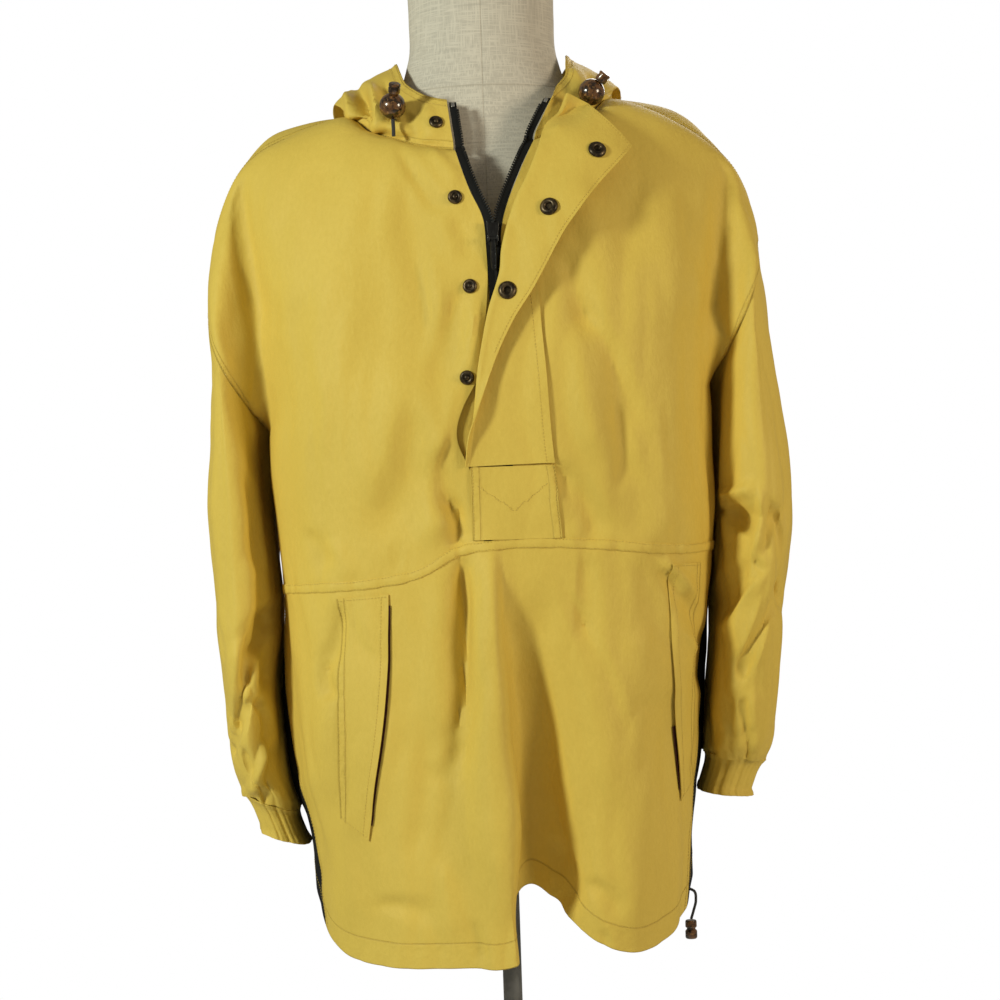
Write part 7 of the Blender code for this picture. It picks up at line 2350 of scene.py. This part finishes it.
def area_light(name, place, target, width, power, colour):
    light = bpy.data.lights.new(name, "AREA")
    light.shape = "DISK"
    light.size = width
    light.energy = power
    light.color = colour
    made = bpy.data.objects.new(name, light)
    made.location = place
    made.rotation_euler = (Vector(target) - Vector(place)).to_track_quat("-Z", "Y").to_euler()
    bpy.context.scene.collection.objects.link(made)


class ANORAK_OT_stage(bpy.types.Operator):
    """Camera, pale floor and soft studio light"""

    bl_idname = "anorak.stage"
    bl_label = "Stage"

    def execute(self, context):
        sizes = context.scene.anorak_stand
        lens = bpy.data.cameras.new("camera")
        lens.sensor_width = SENSOR
        lens.lens = SENSOR * PLAN_DEPTH / VIEW
        camera = bpy.data.objects.new("camera", lens)
        camera.location = CAMERA_AT
        camera.rotation_euler = (math.pi / 2, math.radians(PLAN_LEAN), 0)
        context.scene.collection.objects.link(camera)
        context.scene.camera = camera
        context.scene.view_settings.view_transform = "Standard"
        skin = bmesh.new()
        bmesh.ops.create_circle(skin, cap_ends=True, segments=96, radius=2.6)
        mesh = bpy.data.meshes.new("floor")
        skin.to_mesh(mesh)
        skin.free()
        floor = bpy.data.objects.new("floor", mesh)
        floor.location = (0, 0, -0.0005)
        context.scene.collection.objects.link(floor)
        made, tree, shader = blank("studio floor", 0.85)
        place = object_place(tree)
        far = node(tree, "ShaderNodeVectorMath", (("operation", "LENGTH"),), i0=place).outputs["Value"]
        grain = noise(tree, place, 40.0, 3.0, 0.5)
        tree.links.new(mix_colour(tree, "MIX", mapped(tree, grain, 0.3, 0.7), rgb(sizes.floor),
                                  rgb([c * 0.97 for c in sizes.floor])), shader.inputs["Base Color"])
        tree.links.new(mapped(tree, far, 0.5, 1.7, 1.0, 0.0), shader.inputs["Alpha"])
        mesh.materials.append(made)
        area_light("key", (-1.9, -1.6, 1.75), (0, 0, 1.0), 0.42, sizes.key, (0.94, 1.0, 0.88))
        area_light("fill", (2.1, -1.5, 1.4), (0, 0, 1.0), 0.8, sizes.fill, (1.0, 0.88, 0.68))
        area_light("back", (0.6, 1.9, 2.2), (0, 0, 1.0), 1.2, sizes.fill * 0.5, (1.0, 0.98, 0.95))
        world = bpy.data.worlds.new("studio")
        context.scene.world = world
        world.use_nodes = True
        tree = world.node_tree
        tree.nodes.clear()
        seen = node(tree, "ShaderNodeLightPath").outputs["Is Camera Ray"]
        plain = node(tree, "ShaderNodeBackground", (), Color=(1, 1, 1, 1), Strength=1.0)
        soft = node(tree, "ShaderNodeBackground", (), Color=(1.0, 0.93, 0.77, 1), Strength=0.22)
        both = node(tree, "ShaderNodeMixShader", (), i0=seen, i1=soft.outputs[0], i2=plain.outputs[0])
        node(tree, "ShaderNodeOutputWorld", (), Surface=both.outputs[0])
        return {"FINISHED"}


class ANORAK_PT_panel(bpy.types.Panel):
    """Lists the steps that make the garment"""

    bl_idname = "ANORAK_PT_panel"
    bl_label = "Anorak pullover"
    bl_space_type = "VIEW_3D"
    bl_region_type = "UI"
    bl_category = "Anorak"

    def draw(self, context):
        layout = self.layout
        for group in (context.scene.anorak_cloth, context.scene.anorak_trims, context.scene.anorak_stand):
            for name in group.bl_rna.properties.keys():
                if name not in ("rna_type", "name"):
                    layout.prop(group, name)
        for step in STEPS:
            layout.operator(step.bl_idname)


STEPS = (ANORAK_OT_stage, ANORAK_OT_locks, ANORAK_OT_fronts, ANORAK_OT_back, ANORAK_OT_side_panels,
         ANORAK_OT_sleeves, ANORAK_OT_hood, ANORAK_OT_flap, ANORAK_OT_bands, ANORAK_OT_zip, ANORAK_OT_snaps,
         ANORAK_OT_sewing, ANORAK_OT_form, ANORAK_OT_stand)
CLASSES = (ClothSettings, TrimSettings, StandSettings) + STEPS + (ANORAK_PT_panel,)


def register():
    for made in CLASSES:
        bpy.utils.register_class(made)
    bpy.types.Scene.anorak_cloth = PointerProperty(type=ClothSettings)
    bpy.types.Scene.anorak_trims = PointerProperty(type=TrimSettings)
    bpy.types.Scene.anorak_stand = PointerProperty(type=StandSettings)


def unregister():
    del bpy.types.Scene.anorak_stand
    del bpy.types.Scene.anorak_trims
    del bpy.types.Scene.anorak_cloth
    for made in reversed(CLASSES):
        bpy.utils.unregister_class(made)


def main():
    register()
    for step in STEPS:
        group, call = step.bl_idname.split(".")
        getattr(getattr(bpy.ops, group), call)()


if __name__ == "__main__":
    main()
